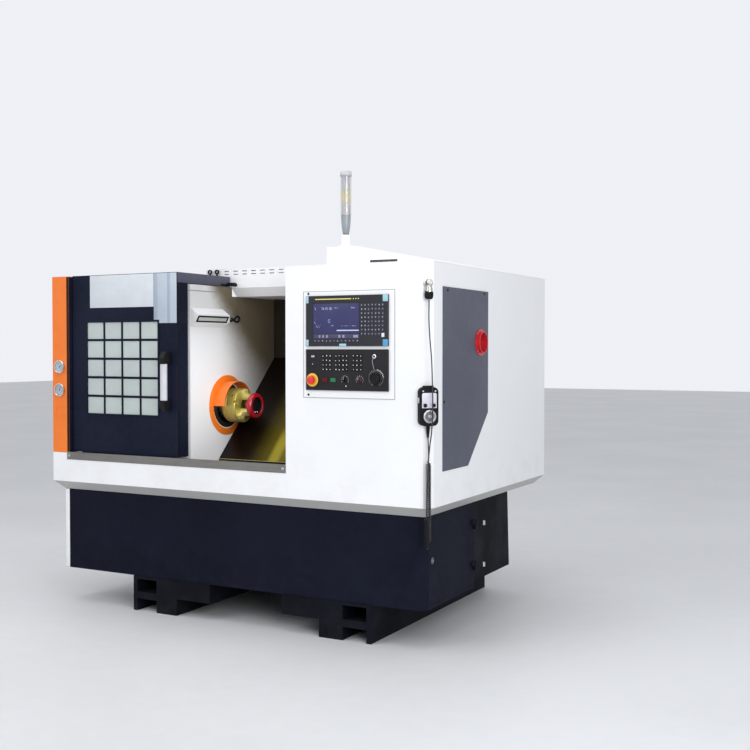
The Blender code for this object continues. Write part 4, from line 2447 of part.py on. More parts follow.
def build_pendant():
    """The hand pendant, its wheel and selectors, the gland above it and the curly cord."""
    frame = pendant_frame()
    back = -GAP
    front = back - PENDANT_THICK
    half = PENDANT_WIDTH / 2
    cut_corner = PENDANT_CORNER
    outline = []
    places = (
        (half - cut_corner, PENDANT_TOP - cut_corner, 0),
        (-half + cut_corner, PENDANT_TOP - cut_corner, 1),
        (-half + cut_corner, PENDANT_BOTTOM + cut_corner, 2),
        (half - cut_corner, PENDANT_BOTTOM + cut_corner, 3),
    )
    for a, z, quarter in places:
        outline += ring_points(cut_corner, 6, (a, z), FULL_TURN * quarter / 4, FULL_TURN / 4, closed=False)
    middle = (front + back) / 2
    place = frame @ Matrix.Translation((0, middle, 0)) @ ALONG_Y
    body = slab("pendant_body", [outline], PENDANT_THICK, place, black_plastic())
    soften(body, PENDANT_EDGE, angle=math.radians(60))
    relief = turned(
        "pendant_relief",
        [
            (0, 0),
            (RELIEF_RADIUS, 0),
            (RELIEF_TIP_RADIUS, -RELIEF_LENGTH),
            (0, -RELIEF_LENGTH),
        ],
        frame @ Matrix.Translation((0, middle, PENDANT_BOTTOM + OVERRUN / 2)),
        None,
        steps=16,
        helper=True,
    )
    join(body, relief)
    wheel_place = frame @ Matrix.Translation((0, front, WHEEL_HEIGHT)) @ Matrix.Rotation(
        math.radians(90), 4, "X"
    )
    wheel_seat = rod(
        "wheel_seat",
        WHEEL_STEM + RUN_GAP,
        2 * OVERRUN,
        wheel_place @ Matrix.Translation((0, 0, -OVERRUN)),
        None,
        steps=16,
        helper=True,
    )
    cut(body, wheel_seat)
    silver = material("silver_wheel", (0.60, 0.60, 0.62), 0.3, 1.0)
    profile = [
        (0, WHEEL_THICK - GAP * 4),
        (WHEEL_RADIUS * 2 / 3, WHEEL_THICK - GAP * 4),
        (WHEEL_RADIUS * 3 / 4, WHEEL_THICK),
        (WHEEL_RADIUS - GAP * 4, WHEEL_THICK),
        (WHEEL_RADIUS, WHEEL_THICK - GAP * 4),
        (WHEEL_RADIUS, GAP),
        (WHEEL_STEM, GAP),
        (WHEEL_STEM, -OVERRUN + GAP),
        (0, -OVERRUN + GAP),
    ]
    turned("pendant_wheel", profile, wheel_place, silver, steps=WHEEL_KNURLS)
    for name, side in (("pendant_axis_knob", -1), ("pendant_step_knob", 1)):
        spot = frame @ Matrix.Translation((side * SELECTOR_SPREAD, front, SELECTOR_HEIGHT)) @ Matrix.Rotation(
            math.radians(90), 4, "X"
        )
        knob_profile = [
            (0, SELECTOR_PROUD),
            (SELECTOR_RADIUS * 3 / 4, SELECTOR_PROUD),
            (SELECTOR_RADIUS, SELECTOR_PROUD / 3),
            (SELECTOR_RADIUS, GAP),
            (KNOB_STEM, GAP),
            (KNOB_STEM, -STEM_DEPTH),
            (0, -STEM_DEPTH),
        ]
        turned(name, knob_profile, spot, black_plastic(), steps=16)
        hole = rod(
            name + "_seat",
            KNOB_STEM + RUN_GAP,
            STEM_DEPTH + GAP + OVERRUN,
            spot @ Matrix.Translation((0, 0, -STEM_DEPTH - GAP)),
            None,
            steps=16,
            helper=True,
        )
        cut(body, hole)
    build_gland(frame)
    build_cord(frame, front)


def build_gland(frame):
    """The chrome gland on the corner with the round plug that hangs from it."""
    outward = frame @ Matrix.Translation((0, 0, GLAND_HEIGHT)) @ Matrix.Rotation(math.radians(90), 4, "X")
    profile = [
        (0, GLAND_REACH),
        (GLAND_NUT_RADIUS * 2 / 3, GLAND_REACH),
        (GLAND_NUT_RADIUS, GLAND_REACH - GLAND_NECK / 2),
        (GLAND_NUT_RADIUS, GLAND_NECK),
        (GLAND_BASE_RADIUS, GLAND_NECK * 2 / 3),
        (GLAND_BASE_RADIUS, GAP),
        (0, GAP),
    ]
    chrome = material("chrome", (0.70, 0.70, 0.72), 0.12, 1.0)
    gland = turned("pendant_gland", profile, outward, chrome, steps=20)
    plug_low = PLUG_HEIGHT - PLUG_LENGTH / 2
    plug_top = GLAND_HEIGHT - GLAND_NUT_RADIUS / 2
    plug = turned(
        "gland_plug",
        [
            (0, plug_top),
            (PLUG_RADIUS * 2 / 3, plug_top),
            (PLUG_RADIUS, PLUG_HEIGHT + PLUG_LENGTH / 3),
            (PLUG_RADIUS, PLUG_HEIGHT - PLUG_LENGTH / 4),
            (PLUG_RADIUS / 2, plug_low),
            (0, plug_low),
        ],
        frame @ Matrix.Translation((0, -GLAND_REACH + GLAND_NUT_RADIUS, 0)),
        None,
        steps=20,
        helper=True,
    )
    join(gland, plug)


def smooth_route(points, spacing):
    """Points a set way apart on a smooth curve through the chosen points."""
    line = [Vector(point) for point in points]
    line = [line[0] * 2 - line[1]] + line + [line[-1] * 2 - line[-2]]
    fine = []
    steps = 24
    for a, b, c, d in zip(line, line[1:], line[2:], line[3:]):
        for i in range(steps):
            f = i / steps
            fine.append(
                0.5 * (2 * b + (c - a) * f + (2 * a - 5 * b + 4 * c - d) * f**2 + (3 * b - a - 3 * c + d) * f**3)
            )
    fine.append(line[-2])
    length = sum((q - p).length for p, q in zip(fine, fine[1:]))
    count = max(2, round(length / spacing))
    pitch = length / count
    even = [fine[0]]
    travelled = 0.0
    for p, q in zip(fine, fine[1:]):
        step = (q - p).length
        while travelled + step >= pitch * len(even) and len(even) < count:
            even.append(p.lerp(q, (pitch * len(even) - travelled) / step))
        travelled += step
    even.append(fine[-1])
    return even


# Places on the cord's route: along the cut corner, out from it, and above the floor.
DROP_ROUTE = (
    (0.000, -0.0280, 1.5715),
    (0.000, -0.0285, 1.550),
    (-0.003, -0.036, 1.480),
    (-0.002, -0.046, 1.400),
    (0.003, -0.054, 1.310),
    (0.005, -0.058, 1.220),
    (0.006, -0.061, 1.130),
    (0.005, -0.061, 1.060),
    (0.001, -0.060, 0.990),
    (-0.006, -0.057, 0.930),
    (-0.010, -0.053, 0.870),
    (-0.013, -0.049, 0.780),
    (-0.015, -0.045, 0.690),
    (-0.016, -0.043, 0.610),
    (-0.015, -0.041, 0.530),
    (-0.013, -0.039, 0.492),
    (-0.008, -0.034, 0.474),
    (-0.002, -0.027, 0.482),
    (0.000, -0.024, 0.4995),
)
LEAD_ROUTE = (
    (0.000, -0.024, 0.8595),
    (0.001, -0.023, 0.885),
    (0.001, -0.020, 0.920),
    (0.000, -0.0173, 0.9645),
)


def tube(name, points, radius, matrix, finish):
    """A round tube along points, with closed ends."""
    curve = bpy.data.curves.new(name, "CURVE")
    curve.dimensions = "3D"
    curve.bevel_depth = radius
    curve.bevel_resolution = 2
    curve.use_fill_caps = True
    spline = curve.splines.new("POLY")
    spline.points.add(len(points) - 1)
    for point, place in zip(spline.points, points):
        point.co = (*place, 1)
    piece = bpy.data.objects.new(name, curve)
    curve.materials.append(finish)
    PARTS.objects.link(piece)
    piece.parent = FRAME
    piece.matrix_local = matrix
    return piece


def build_cord(frame, front):
    """The cord: a drop in front of the pendant, the curly part and the lead into the pendant."""
    spacing = 2.5 * CORD_DIAMETER
    radius = CORD_DIAMETER / 2
    tube("cord_drop", smooth_route(DROP_ROUTE, spacing), radius, frame, black_plastic())
    tube("cord_lead", smooth_route(LEAD_ROUTE, spacing), radius, frame, black_plastic())
    axis_a, axis_b = LEAD_ROUTE[0][:2]
    rod(
        "cord_coil",
        COIL_DIAMETER / 2,
        COIL_TOP - COIL_BOTTOM - 2 * GAP,
        frame @ Matrix.Translation((axis_a, axis_b, COIL_BOTTOM + GAP)),
        black_plastic(),
        steps=16,
    )


CORD_PIECES = ("cord_drop", "cord_coil", "cord_lead")


def centre_on_floor():
    """Moves the whole machine so that the middle of its footprint, without the cord, is the origin."""
    bpy.context.view_layer.update()
    graph = bpy.context.evaluated_depsgraph_get()
    low = Vector((math.inf, math.inf, math.inf))
    high = -low
    for piece in PARTS.objects:
        if piece.type == "EMPTY" or piece.name in CORD_PIECES:
            continue
        evaluated = piece.evaluated_get(graph)
        mesh = evaluated.to_mesh()
        for vertex in mesh.vertices:
            place = evaluated.matrix_world @ vertex.co
            low = Vector(map(min, low, place))
            high = Vector(map(max, high, place))
        evaluated.to_mesh_clear()
    middle = (low + high) / 2
    FRAME.location = (-middle.x, -middle.y, -low.z)


def main():
    start()
    build_enclosure()
    build_base()
    build_inner_walls()
    build_signal_lamp()
    build_spindle_line()
    build_carriage()
    build_door()
    build_panel()
    build_pendant()
    centre_on_floor()


main()
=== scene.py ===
"""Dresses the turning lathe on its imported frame: paint, glass, gauges, keys, pendant and cord.

Places are given as on the machine: t from the right side plane towards the left, u from the front
plane towards the back, and z above the floor. Lengths are metres.
"""
from __future__ import annotations

import logging
import math
import random
from dataclasses import dataclass
from enum import Enum
from typing import Any, Sequence

import bpy
from mathutils import Matrix, Vector


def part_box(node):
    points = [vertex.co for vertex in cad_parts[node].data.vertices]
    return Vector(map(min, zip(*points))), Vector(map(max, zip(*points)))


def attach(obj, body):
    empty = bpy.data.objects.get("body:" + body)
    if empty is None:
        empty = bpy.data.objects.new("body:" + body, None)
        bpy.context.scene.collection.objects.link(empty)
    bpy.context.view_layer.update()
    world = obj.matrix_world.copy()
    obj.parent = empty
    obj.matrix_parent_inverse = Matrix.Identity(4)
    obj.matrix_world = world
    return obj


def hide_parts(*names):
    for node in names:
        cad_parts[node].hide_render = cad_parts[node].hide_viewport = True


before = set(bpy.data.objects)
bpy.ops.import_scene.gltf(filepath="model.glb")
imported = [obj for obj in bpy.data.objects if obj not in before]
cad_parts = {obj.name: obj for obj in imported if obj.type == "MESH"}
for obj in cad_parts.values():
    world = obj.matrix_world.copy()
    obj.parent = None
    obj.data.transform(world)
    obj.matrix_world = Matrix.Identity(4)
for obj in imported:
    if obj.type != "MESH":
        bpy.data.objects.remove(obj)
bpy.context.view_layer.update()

LOG = logging.getLogger("lathe")

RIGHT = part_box("control_cabinet")[1].x
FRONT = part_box("control_cabinet")[0].y
CORNER_CUT = 0.035
PENDANT_SHIFT = 0.008
ROOT_HALF = math.sqrt(0.5)
UNIT_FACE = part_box("display_unit")[0].y - FRONT + 0.0015

Piece = bpy.types.Object
Colour = tuple[float, float, float]
Point = tuple[float, float, float]


class Body(Enum):
    """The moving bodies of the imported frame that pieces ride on."""

    MACHINE = "machine"
    DOOR = "door"
    SPINDLE = "spindle"
    JAW_1 = "jaw_1"
    JAW_2 = "jaw_2"
    JAW_3 = "jaw_3"
    SIDE_DOOR = "base_side_door"
    STOP = "emergency_stop"
    MODE = "mode_knob"
    OVERRIDE = "override_knob"
    FEED = "feed_dial"
    WHEEL = "pendant_wheel"
    AXIS_KNOB = "pendant_axis_knob"
    STEP_KNOB = "pendant_step_knob"


class Facing(Enum):
    """The way that a piece's own Z points."""

    FRONT = "front"
    RIGHT = "right"
    UP = "up"
    CORNER = "corner"


def at(t: float, u: float, z: float) -> Vector:
    """Gives the row-frame point of a place on the machine."""
    return Vector((RIGHT - t, FRONT + u, z))


def shift(x: float, y: float, z: float) -> Matrix:
    """Gives a move by three distances."""
    return Matrix.Translation((x, y, z))


def spin(degrees: float, axis: str = "Z") -> Matrix:
    """Gives a turn round an axis."""
    return Matrix.Rotation(math.radians(degrees), 4, axis)


def facing(way: Facing, t: float, u: float, z: float) -> Matrix:
    """Makes the placing of a piece whose own Z points the given way.

    Args:
        way: Where the piece's Z axis points.
        t: Distance from the right side plane.
        u: Distance from the front plane.
        z: Height above the floor.

    Returns:
        The placing, with local X to the operator's right where it faces the front.
    """
    turns = {
        Facing.FRONT: spin(90, "X"), Facing.RIGHT: spin(90, "Y"), Facing.UP: Matrix.Identity(4),
        Facing.CORNER: spin(45) @ spin(90, "X"),}
    return Matrix.Translation(at(t, u, z)) @ turns[way]


def corner_frame() -> Matrix:
    """Gives the pendant's frame on the cut front corner: X along it, Y inwards, Z up."""
    half = CORNER_CUT / 2
    corner = Matrix.Translation(at(half, half, 0)) @ spin(45)
    return corner @ shift(-PENDANT_SHIFT, 0, 0)


# Modelling


class Bench:
    """Models pieces with Blender's own operators and fits them to the frame."""

    @staticmethod
    def clear() -> None:
        """Deselects everything."""
        bpy.ops.object.select_all(action="DESELECT")

    @staticmethod
    def pick(piece: Piece) -> None:
        """Makes one piece the only selected and the active one."""
        Bench.clear()
        piece.select_set(True)
        bpy.context.view_layer.objects.active = piece

    @staticmethod
    def settle(piece: Piece, name: str, place: Matrix | None = None) -> Piece:
        """Names a piece and puts its place into its mesh.

        Args:
            piece: The piece as modelled.
            name: The name that it gets.
            place: A further placing, or none.

        Returns:
            The piece, its object at the origin.
        """
        matrix = (place or Matrix.Identity(4)) @ piece.matrix_world
        piece.data.transform(matrix)
        piece.matrix_world = Matrix.Identity(4)
        if matrix.determinant() < 0:
            piece.data.flip_normals()
        piece.name = name
        piece.data.name = name
        return piece

    @staticmethod
    def smooth(piece: Piece, angle: float = 35.0) -> Piece:
        """Shades a piece smooth except across sharp edges."""
        Bench.pick(piece)
        bpy.ops.object.shade_smooth_by_angle(angle=math.radians(angle))
        return piece

    @staticmethod
    def bevel(piece: Piece, width: float, segments: int = 2) -> Piece:
        """Rounds a piece's sharp edges and keeps the result."""
        Bench.pick(piece)
        edge = piece.modifiers.new("edge", "BEVEL")
        edge.width = width
        edge.segments = segments
        edge.limit_method = "ANGLE"
        edge.angle_limit = math.radians(40)
        bpy.ops.object.modifier_apply(modifier=edge.name)
        return Bench.smooth(piece)

    @staticmethod
    def block(
        name: str, low: Sequence[float], high: Sequence[float], edge: float = 0.0,
        place: Matrix | None = None
    ) -> Piece:
        """Makes a block with rounded edges.

        Args:
            name: The piece's name.
            low: One corner, in the frame of place.
            high: The opposite corner.
            edge: The width of the rounding.
            place: The frame of the corners, or none for the row's frame.

        Returns:
            The finished block.
        """
        first, last = Vector(low), Vector(high)
        size = Vector(abs(last[i] - first[i]) for i in range(3))
        Bench.clear()
        bpy.ops.mesh.primitive_cube_add(size=1, location=(first + last) / 2)
        piece = bpy.context.object
        piece.scale = size
        bpy.ops.object.transform_apply(location=False, rotation=False, scale=True)
        if edge:
            Bench.bevel(piece, edge)
        return Bench.settle(piece, name, place)

    @staticmethod
    def span(
        name: str, t: tuple[float, float], u: tuple[float, float], z: tuple[float, float], edge: float = 0.0
    ) -> Piece:
        """Makes a block from its spans from the right, from the front and in height."""
        return Bench.block(name, at(max(t), min(u), min(z)), at(min(t), max(u), max(z)), edge)

    @staticmethod
    def turned(
        name: str, profile: Sequence[tuple[float, float]], place: Matrix, sides: int = 32,
        closed: bool = True, angle: float = 35.0
    ) -> Piece:
        """Turns a profile round the place's Z by extruding and resizing a circle.

        Args:
            name: The piece's name.
            profile: Points of radius and height. A closed piece starts and ends on its faces, and an
                open one returns to its first point.
            place: The placing of the piece's axis.
            sides: Faces round it.
            closed: True for a solid with end faces, false for a ring.
            angle: The angle past which an edge stays sharp.

        Returns:
            The turned piece.
        """
        Bench.clear()
        radius, height = profile[0]
        bpy.ops.mesh.primitive_circle_add(
            vertices=sides, radius=radius, location=(0, 0, height),
            fill_type="NGON" if closed else "NOTHING")
        piece = bpy.context.object
        bpy.ops.object.mode_set(mode="EDIT")
        bpy.ops.mesh.select_all(action="SELECT")
        for (r0, z0), (r1, z1) in zip(profile, profile[1:]):
            bpy.ops.mesh.extrude_region_move(TRANSFORM_OT_translate={"value": (0, 0, z1 - z0)})
            if abs(r1 - r0) > 1e-9:
                bpy.ops.transform.resize(value=(r1 / r0, r1 / r0, 1))
        bpy.ops.mesh.select_all(action="SELECT")
        bpy.ops.mesh.remove_doubles(threshold=1e-6)
        bpy.ops.mesh.normals_make_consistent(inside=False)
        bpy.ops.object.mode_set(mode="OBJECT")
        Bench.smooth(piece, angle)
        return Bench.settle(piece, name, place)

    @staticmethod
    def ring(name: str, profile: Sequence[tuple[float, float]], place: Matrix, sides: int) -> Piece:
        """Turns a ring from a profile that returns to its first point."""
        return Bench.turned(name, [*profile, profile[0]], place, sides, False)

    @staticmethod
    def sheet(
        name: str, outline: Sequence[tuple[float, float]], thickness: float, place: Matrix,
        edge: float = 0.0
    ) -> Piece:
        """Makes a flat plate of an outline in the place's XY plane, centred on it."""
        curve = bpy.data.curves.new(name, "CURVE")
        curve.dimensions = "2D"
        curve.fill_mode = "BOTH"
        curve.extrude = thickness / 2
        spline = curve.splines.new("POLY")
        spline.points.add(len(outline) - 1)
        for point, (a, b) in zip(spline.points, outline):
            point.co = (a, b, 0, 1)
        spline.use_cyclic_u = True
        piece = bpy.data.objects.new(name, curve)
        bpy.context.scene.collection.objects.link(piece)
        Bench.pick(piece)
        bpy.ops.object.convert(target="MESH")
        piece = bpy.context.object
        bpy.ops.object.mode_set(mode="EDIT")
        bpy.ops.mesh.select_all(action="SELECT")
        bpy.ops.mesh.remove_doubles(threshold=1e-6)
        bpy.ops.mesh.normals_make_consistent(inside=False)
        bpy.ops.object.mode_set(mode="OBJECT")
        if edge:
            Bench.bevel(piece, edge)
        return Bench.settle(piece, name, place)

    @staticmethod
    def cut(piece: Piece, *tools: Piece) -> Piece:
        """Cuts a piece by others, which are then removed."""
        for tool in tools:
            Bench.pick(piece)
            step = piece.modifiers.new("cut", "BOOLEAN")
            step.operation = "DIFFERENCE"
            step.object = tool
            step.solver = "EXACT"
            bpy.ops.object.modifier_apply(modifier=step.name)
            bpy.data.objects.remove(tool, do_unlink=True)
        return Bench.smooth(piece)

    @staticmethod
    def merge(name: str, pieces: Sequence[Piece]) -> Piece:
        """Joins pieces of one finish into one object."""
        Bench.clear()
        for piece in pieces:
            piece.select_set(True)
        bpy.context.view_layer.objects.active = pieces[0]
        if len(pieces) > 1:
            bpy.ops.object.join()
        whole = bpy.context.object
        whole.name = name
        whole.data.name = name
        return whole

    @staticmethod
    def copies(name: str, first: Piece, places: Sequence[Matrix]) -> Piece:
        """Sets copies of a piece modelled at the origin at each place, as one object."""
        made = []
        for place in places:
            twin = first.copy()
            twin.data = first.data.copy()
            bpy.context.scene.collection.objects.link(twin)
            twin.data.transform(place)
            made.append(twin)
        bpy.data.objects.remove(first, do_unlink=True)
        return Bench.merge(name, made)

    @staticmethod
    def tube(name: str, points: Sequence[Sequence[float]], radius: float, resolution: int = 4) -> Piece:
        """Makes a round tube along points as a curve of one open spline."""
        curve = bpy.data.curves.new(name, "CURVE")
        curve.dimensions = "3D"
        curve.bevel_depth = radius
        curve.bevel_resolution = resolution
        curve.use_fill_caps = True
        spline = curve.splines.new("POLY")
        spline.points.add(len(points) - 1)
        for point, spot in zip(spline.points, points):
            point.co = (*spot, 1)
        piece = bpy.data.objects.new(name, curve)
        bpy.context.scene.collection.objects.link(piece)
        return piece

    @staticmethod
    def fit(
        piece: Piece, finish: bpy.types.Material, body: Body = Body.MACHINE, replaces: Sequence[str] = (),
        slot: str | None = None
    ) -> Piece:
        """Gives a piece its finish and the body that it rides on.

        Args:
            piece: The finished piece.
            finish: Its material.
            body: The body that it moves with.
            replaces: The nodes that it stands for.
            slot: The record's material slot, if one suits. It is not used.

        Returns:
            The piece.
        """
        piece.data.materials.clear()
        piece.data.materials.append(finish)
        if replaces:
            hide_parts(*replaces)
        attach(piece, body.value)
        LOG.info("piece %s on %s", piece.name, body.value)
        return piece


def dress(material: bpy.types.Material, *nodes: str) -> None:
    """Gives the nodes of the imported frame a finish."""
    for name in nodes:
        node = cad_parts[name]
        if not node.material_slots:
            node.data.materials.append(material)
        for slot in node.material_slots:
            slot.material = material


def smooth_path(points: Sequence[Sequence[float]], spacing: float) -> list[Vector]:
    """Sets points an even way apart on a smooth curve through the chosen ones."""
    line = [Vector(point) for point in points]
    line = [line[0] * 2 - line[1]] + line + [line[-1] * 2 - line[-2]]
    fine: list[Vector] = []
    steps = 24
    for a, b, c, d in zip(line, line[1:], line[2:], line[3:]):
        for i in range(steps):
            f = i / steps
            fine.append(
                0.5 * (
                    2 * b + (c - a) * f + (
                        2 * a - 5 * b + 4 * c - d) * f**2 + (3 * b - a - 3 * c + d) * f**3))
    fine.append(line[-2])
    total = sum((q - p).length for p, q in zip(fine, fine[1:]))
    count = max(2, round(total / spacing))
    even, travelled = [fine[0]], 0.0
    for p, q in zip(fine, fine[1:]):
        step = (q - p).length
        while travelled + step >= total / count * len(even) and len(even) < count:
            even.append(p.lerp(q, (total / count * len(even) - travelled) / step))
        travelled += step
    even.append(fine[-1])
    return even


# Finishes


class Graph:
    """Adds and links the nodes of one material or node group."""

    def __init__(self, tree: bpy.types.NodeTree) -> None:
        """Starts on a node tree."""
        self.tree = tree

    def add(self, kind: str, **settings: Any) -> bpy.types.Node:
        """Adds a node and sets its options."""
        node = self.tree.nodes.new(kind)
        for key, value in settings.items():
            setattr(node, key, value)
        return node

    def join(self, source: Any, target: Any) -> None:
        """Links a socket to another, or sets a value on it."""
        if isinstance(source, bpy.types.NodeSocket):
            self.tree.links.new(source, target)
        else:
            target.default_value = source

    def sum(self, operation: str, a: Any, b: Any = 0.0, c: Any = 0.0, clamp: bool = False) -> Any:
        """Adds a Math node and gives its value."""
        node = self.add("ShaderNodeMath", operation=operation, use_clamp=clamp)
        for value, socket in zip((a, b, c), node.inputs):
            self.join(value, socket)
        return node.outputs[0]

    def vector(self, operation: str, a: Any, b: Any) -> Any:
        """Adds a Vector Math node and gives its vector."""
        node = self.add("ShaderNodeVectorMath", operation=operation)
        self.join(a, node.inputs[0])
        self.join(b, node.inputs[1])
        return node.outputs[0]

    def ramp(self, value: Any, low: float, high: float) -> Any:
        """Maps a value between two limits to 0 and 1, smoothly."""
        node = self.add("ShaderNodeMapRange", interpolation_type="SMOOTHSTEP")
        self.join(value, node.inputs["Value"])
        node.inputs["From Min"].default_value = low
        node.inputs["From Max"].default_value = high
        return node.outputs["Result"]

    def blend(self, factor: Any, first: Any, second: Any) -> Any:
        """Mixes two colours."""
        node = self.add("ShaderNodeMix", data_type="RGBA")
        self.join(factor, node.inputs[0])
        for value, socket in ((first, node.inputs[6]), (second, node.inputs[7])):
            self.join((*value, 1.0) if isinstance(value, tuple) and len(value) == 3 else value, socket)
        return node.outputs[2]

    def mix(self, factor: Any, first: Any, second: Any) -> Any:
        """Mixes two numbers."""
        node = self.add("ShaderNodeMix", data_type="FLOAT")
        for value, socket in ((factor, node.inputs[0]), (first, node.inputs[2]), (second, node.inputs[3])):
            self.join(value, socket)
        return node.outputs[0]

    def noise(self, vector: Any, scale: Any, detail: float = 3.0, roughness: float = 0.5) -> Any:
        """Adds a noise and gives its factor."""
        node = self.add("ShaderNodeTexNoise")
        self.join(vector, node.inputs["Vector"])
        self.join(scale, node.inputs["Scale"])
        node.inputs["Detail"].default_value = detail
        node.inputs["Roughness"].default_value = roughness
        return node.outputs["Fac"]

    def split(self, vector: Any) -> tuple[Any, Any, Any]:
        """Gives the three parts of a vector."""
        node = self.add("ShaderNodeSeparateXYZ")
        self.join(vector, node.inputs[0])
        return node.outputs[0], node.outputs[1], node.outputs[2]

    def object_place(self) -> Any:
        """Gives the Object coordinates."""
        return self.add("ShaderNodeTexCoord").outputs["Object"]


class Effects:
    """Builds the shader node groups that several finishes share, each one once."""

    _made: dict[str, bpy.types.NodeTree] = {}

    @classmethod
    def _start(
        cls, name: str, inputs: Sequence[tuple[str, str, Any]], outputs: Sequence[str]
    ) -> tuple[Graph, Any, Any]:
        """Starts a group with named inputs and outputs.

        Args:
            name: The group's name.
            inputs: Each input's name, socket type and default.
            outputs: The names of the float outputs.

        Returns:
            The graph, its input node's outputs and its output node's inputs.
        """
        tree = bpy.data.node_groups.new(name, "ShaderNodeTree")
        for label, kind, default in inputs:
            socket = tree.interface.new_socket(label, in_out="INPUT", socket_type=kind)
            if default is not None:
                socket.default_value = default
        for label in outputs:
            tree.interface.new_socket(label, in_out="OUTPUT", socket_type="NodeSocketFloat")
        graph = Graph(tree)
        cls._made[name] = tree
        return graph, graph.add("NodeGroupInput").outputs, graph.add("NodeGroupOutput").inputs

    @classmethod
    def tone(cls) -> bpy.types.NodeTree:
        """Slow changes of tone with a finer mottle: Factor from 0 to 1."""
        if "lathe_tone" not in cls._made:
            inputs = [("Vector", "NodeSocketVector", None), ("Scale", "NodeSocketFloat", 3.0)]
            graph, given, out = cls._start("lathe_tone", inputs, ["Factor"])
            slow = graph.noise(given["Vector"], given["Scale"], 2.0)
            fine = graph.noise(given["Vector"], graph.sum("MULTIPLY", given["Scale"], 14.0), 4.0, 0.6)
            both = graph.sum("ADD", graph.sum("MULTIPLY", slow, 0.7), graph.sum("MULTIPLY", fine, 0.3))
            graph.join(graph.ramp(both, 0.36, 0.64), out["Factor"])
        return cls._made["lathe_tone"]

    @classmethod
    def grain(cls) -> bpy.types.NodeTree:
        """Sprayed or moulded texture: Height, and a Mask of its high spots."""
        if "lathe_grain" not in cls._made:
            inputs = [("Vector", "NodeSocketVector", None), ("Scale", "NodeSocketFloat", 600.0)]
            graph, given, out = cls._start("lathe_grain", inputs, ["Height", "Mask"])
            height = graph.noise(given["Vector"], given["Scale"], 2.0, 0.55)
            graph.join(height, out["Height"])
            graph.join(graph.ramp(height, 0.5, 0.68), out["Mask"])
        return cls._made["lathe_grain"]

    @classmethod
    def brush(cls) -> bpy.types.NodeTree:
        """Brushed or turned lines: Height and a slower Streak."""
        if "lathe_brush" not in cls._made:
            inputs = [
                ("Vector", "NodeSocketVector", None), ("Stretch", "NodeSocketVector", (1.0, 60.0, 60.0)),
                ("Scale", "NodeSocketFloat", 12.0)]
            graph, given, out = cls._start("lathe_brush", inputs, ["Height", "Streak"])
            drawn = graph.vector("MULTIPLY", given["Vector"], given["Stretch"])
            graph.join(graph.noise(drawn, given["Scale"], 4.0, 0.65), out["Height"])
            slow = graph.noise(drawn, graph.sum("MULTIPLY", given["Scale"], 0.2), 2.0)
            graph.join(graph.ramp(slow, 0.35, 0.65), out["Streak"])
        return cls._made["lathe_brush"]

    @classmethod
    def dust_and_light_mask(cls) -> bpy.types.NodeTree:
        """Dust, and on some coats painted light, in patches that gather towards the foot of a surface:
        Mask.
        """
        if "lathe_dust_and_light" not in cls._made:
            inputs = [
                ("Vector", "NodeSocketVector", None), ("Low", "NodeSocketFloat", 0.0),
                ("High", "NodeSocketFloat", 0.4), ("Scale", "NodeSocketFloat", 9.0)]
            graph, given, out = cls._start("lathe_dust_and_light", inputs, ["Mask"])
            height = graph.split(given["Vector"])[2]
            span = graph.sum("SUBTRACT", given["High"], given["Low"])
            share = graph.sum("DIVIDE", graph.sum("SUBTRACT", height, given["Low"]), span, clamp=True)
            patchy = graph.noise(given["Vector"], given["Scale"], 5.0, 0.62)
            low = graph.sum("SUBTRACT", 1.0, share, clamp=True)
            graph.join(graph.sum("MULTIPLY", low, graph.ramp(patchy, 0.42, 0.72)), out["Mask"])
        return cls._made["lathe_dust_and_light"]

    @classmethod
    def window(cls) -> bpy.types.NodeTree:
        """A rectangle in X and Z: Mask 1 inside it."""
        if "lathe_window" not in cls._made:
            inputs = [
                ("Vector", "NodeSocketVector", None), ("Centre", "NodeSocketVector", (0.0, 0.0, 0.0)),
                ("Half", "NodeSocketVector", (0.1, 0.0, 0.1))]
            graph, given, out = cls._start("lathe_window", inputs, ["Mask"])
            offset = graph.vector("SUBTRACT", given["Vector"], given["Centre"])
            x, _, z = graph.split(offset)
            half_x, _, half_z = graph.split(given["Half"])
            across = graph.sum("LESS_THAN", graph.sum("ABSOLUTE", x), half_x)
            up = graph.sum("LESS_THAN", graph.sum("ABSOLUTE", z), half_z)
            graph.join(graph.sum("MULTIPLY", across, up), out["Mask"])
        return cls._made["lathe_window"]

    @classmethod
    def place(cls, graph: Graph, tree: bpy.types.NodeTree, **values: Any) -> Any:
        """Places a group in a material with its own values and gives its outputs."""
        node = graph.add("ShaderNodeGroup", node_tree=tree)
        for label, value in values.items():
            graph.join(value, node.inputs[label])
        return node.outputs


def start_material(name: str) -> tuple[bpy.types.Material, Graph, Any]:
    """Starts a material and gives it with its graph and its shader's inputs."""
    material = bpy.data.materials.new(name)
    material.use_nodes = True
    shader = material.node_tree.nodes["Principled BSDF"]
    return material, Graph(material.node_tree), shader.inputs


def add_bump(graph: Graph, inputs: Any, height: Any, strength: float, distance: float) -> None:
    """Feeds a height into the shader's normal through a Bump node."""
    bump = graph.add("ShaderNodeBump")
    bump.inputs["Strength"].default_value = strength
    bump.inputs["Distance"].default_value = distance
    graph.join(height, bump.inputs["Height"])
    graph.join(bump.outputs["Normal"], inputs["Normal"])


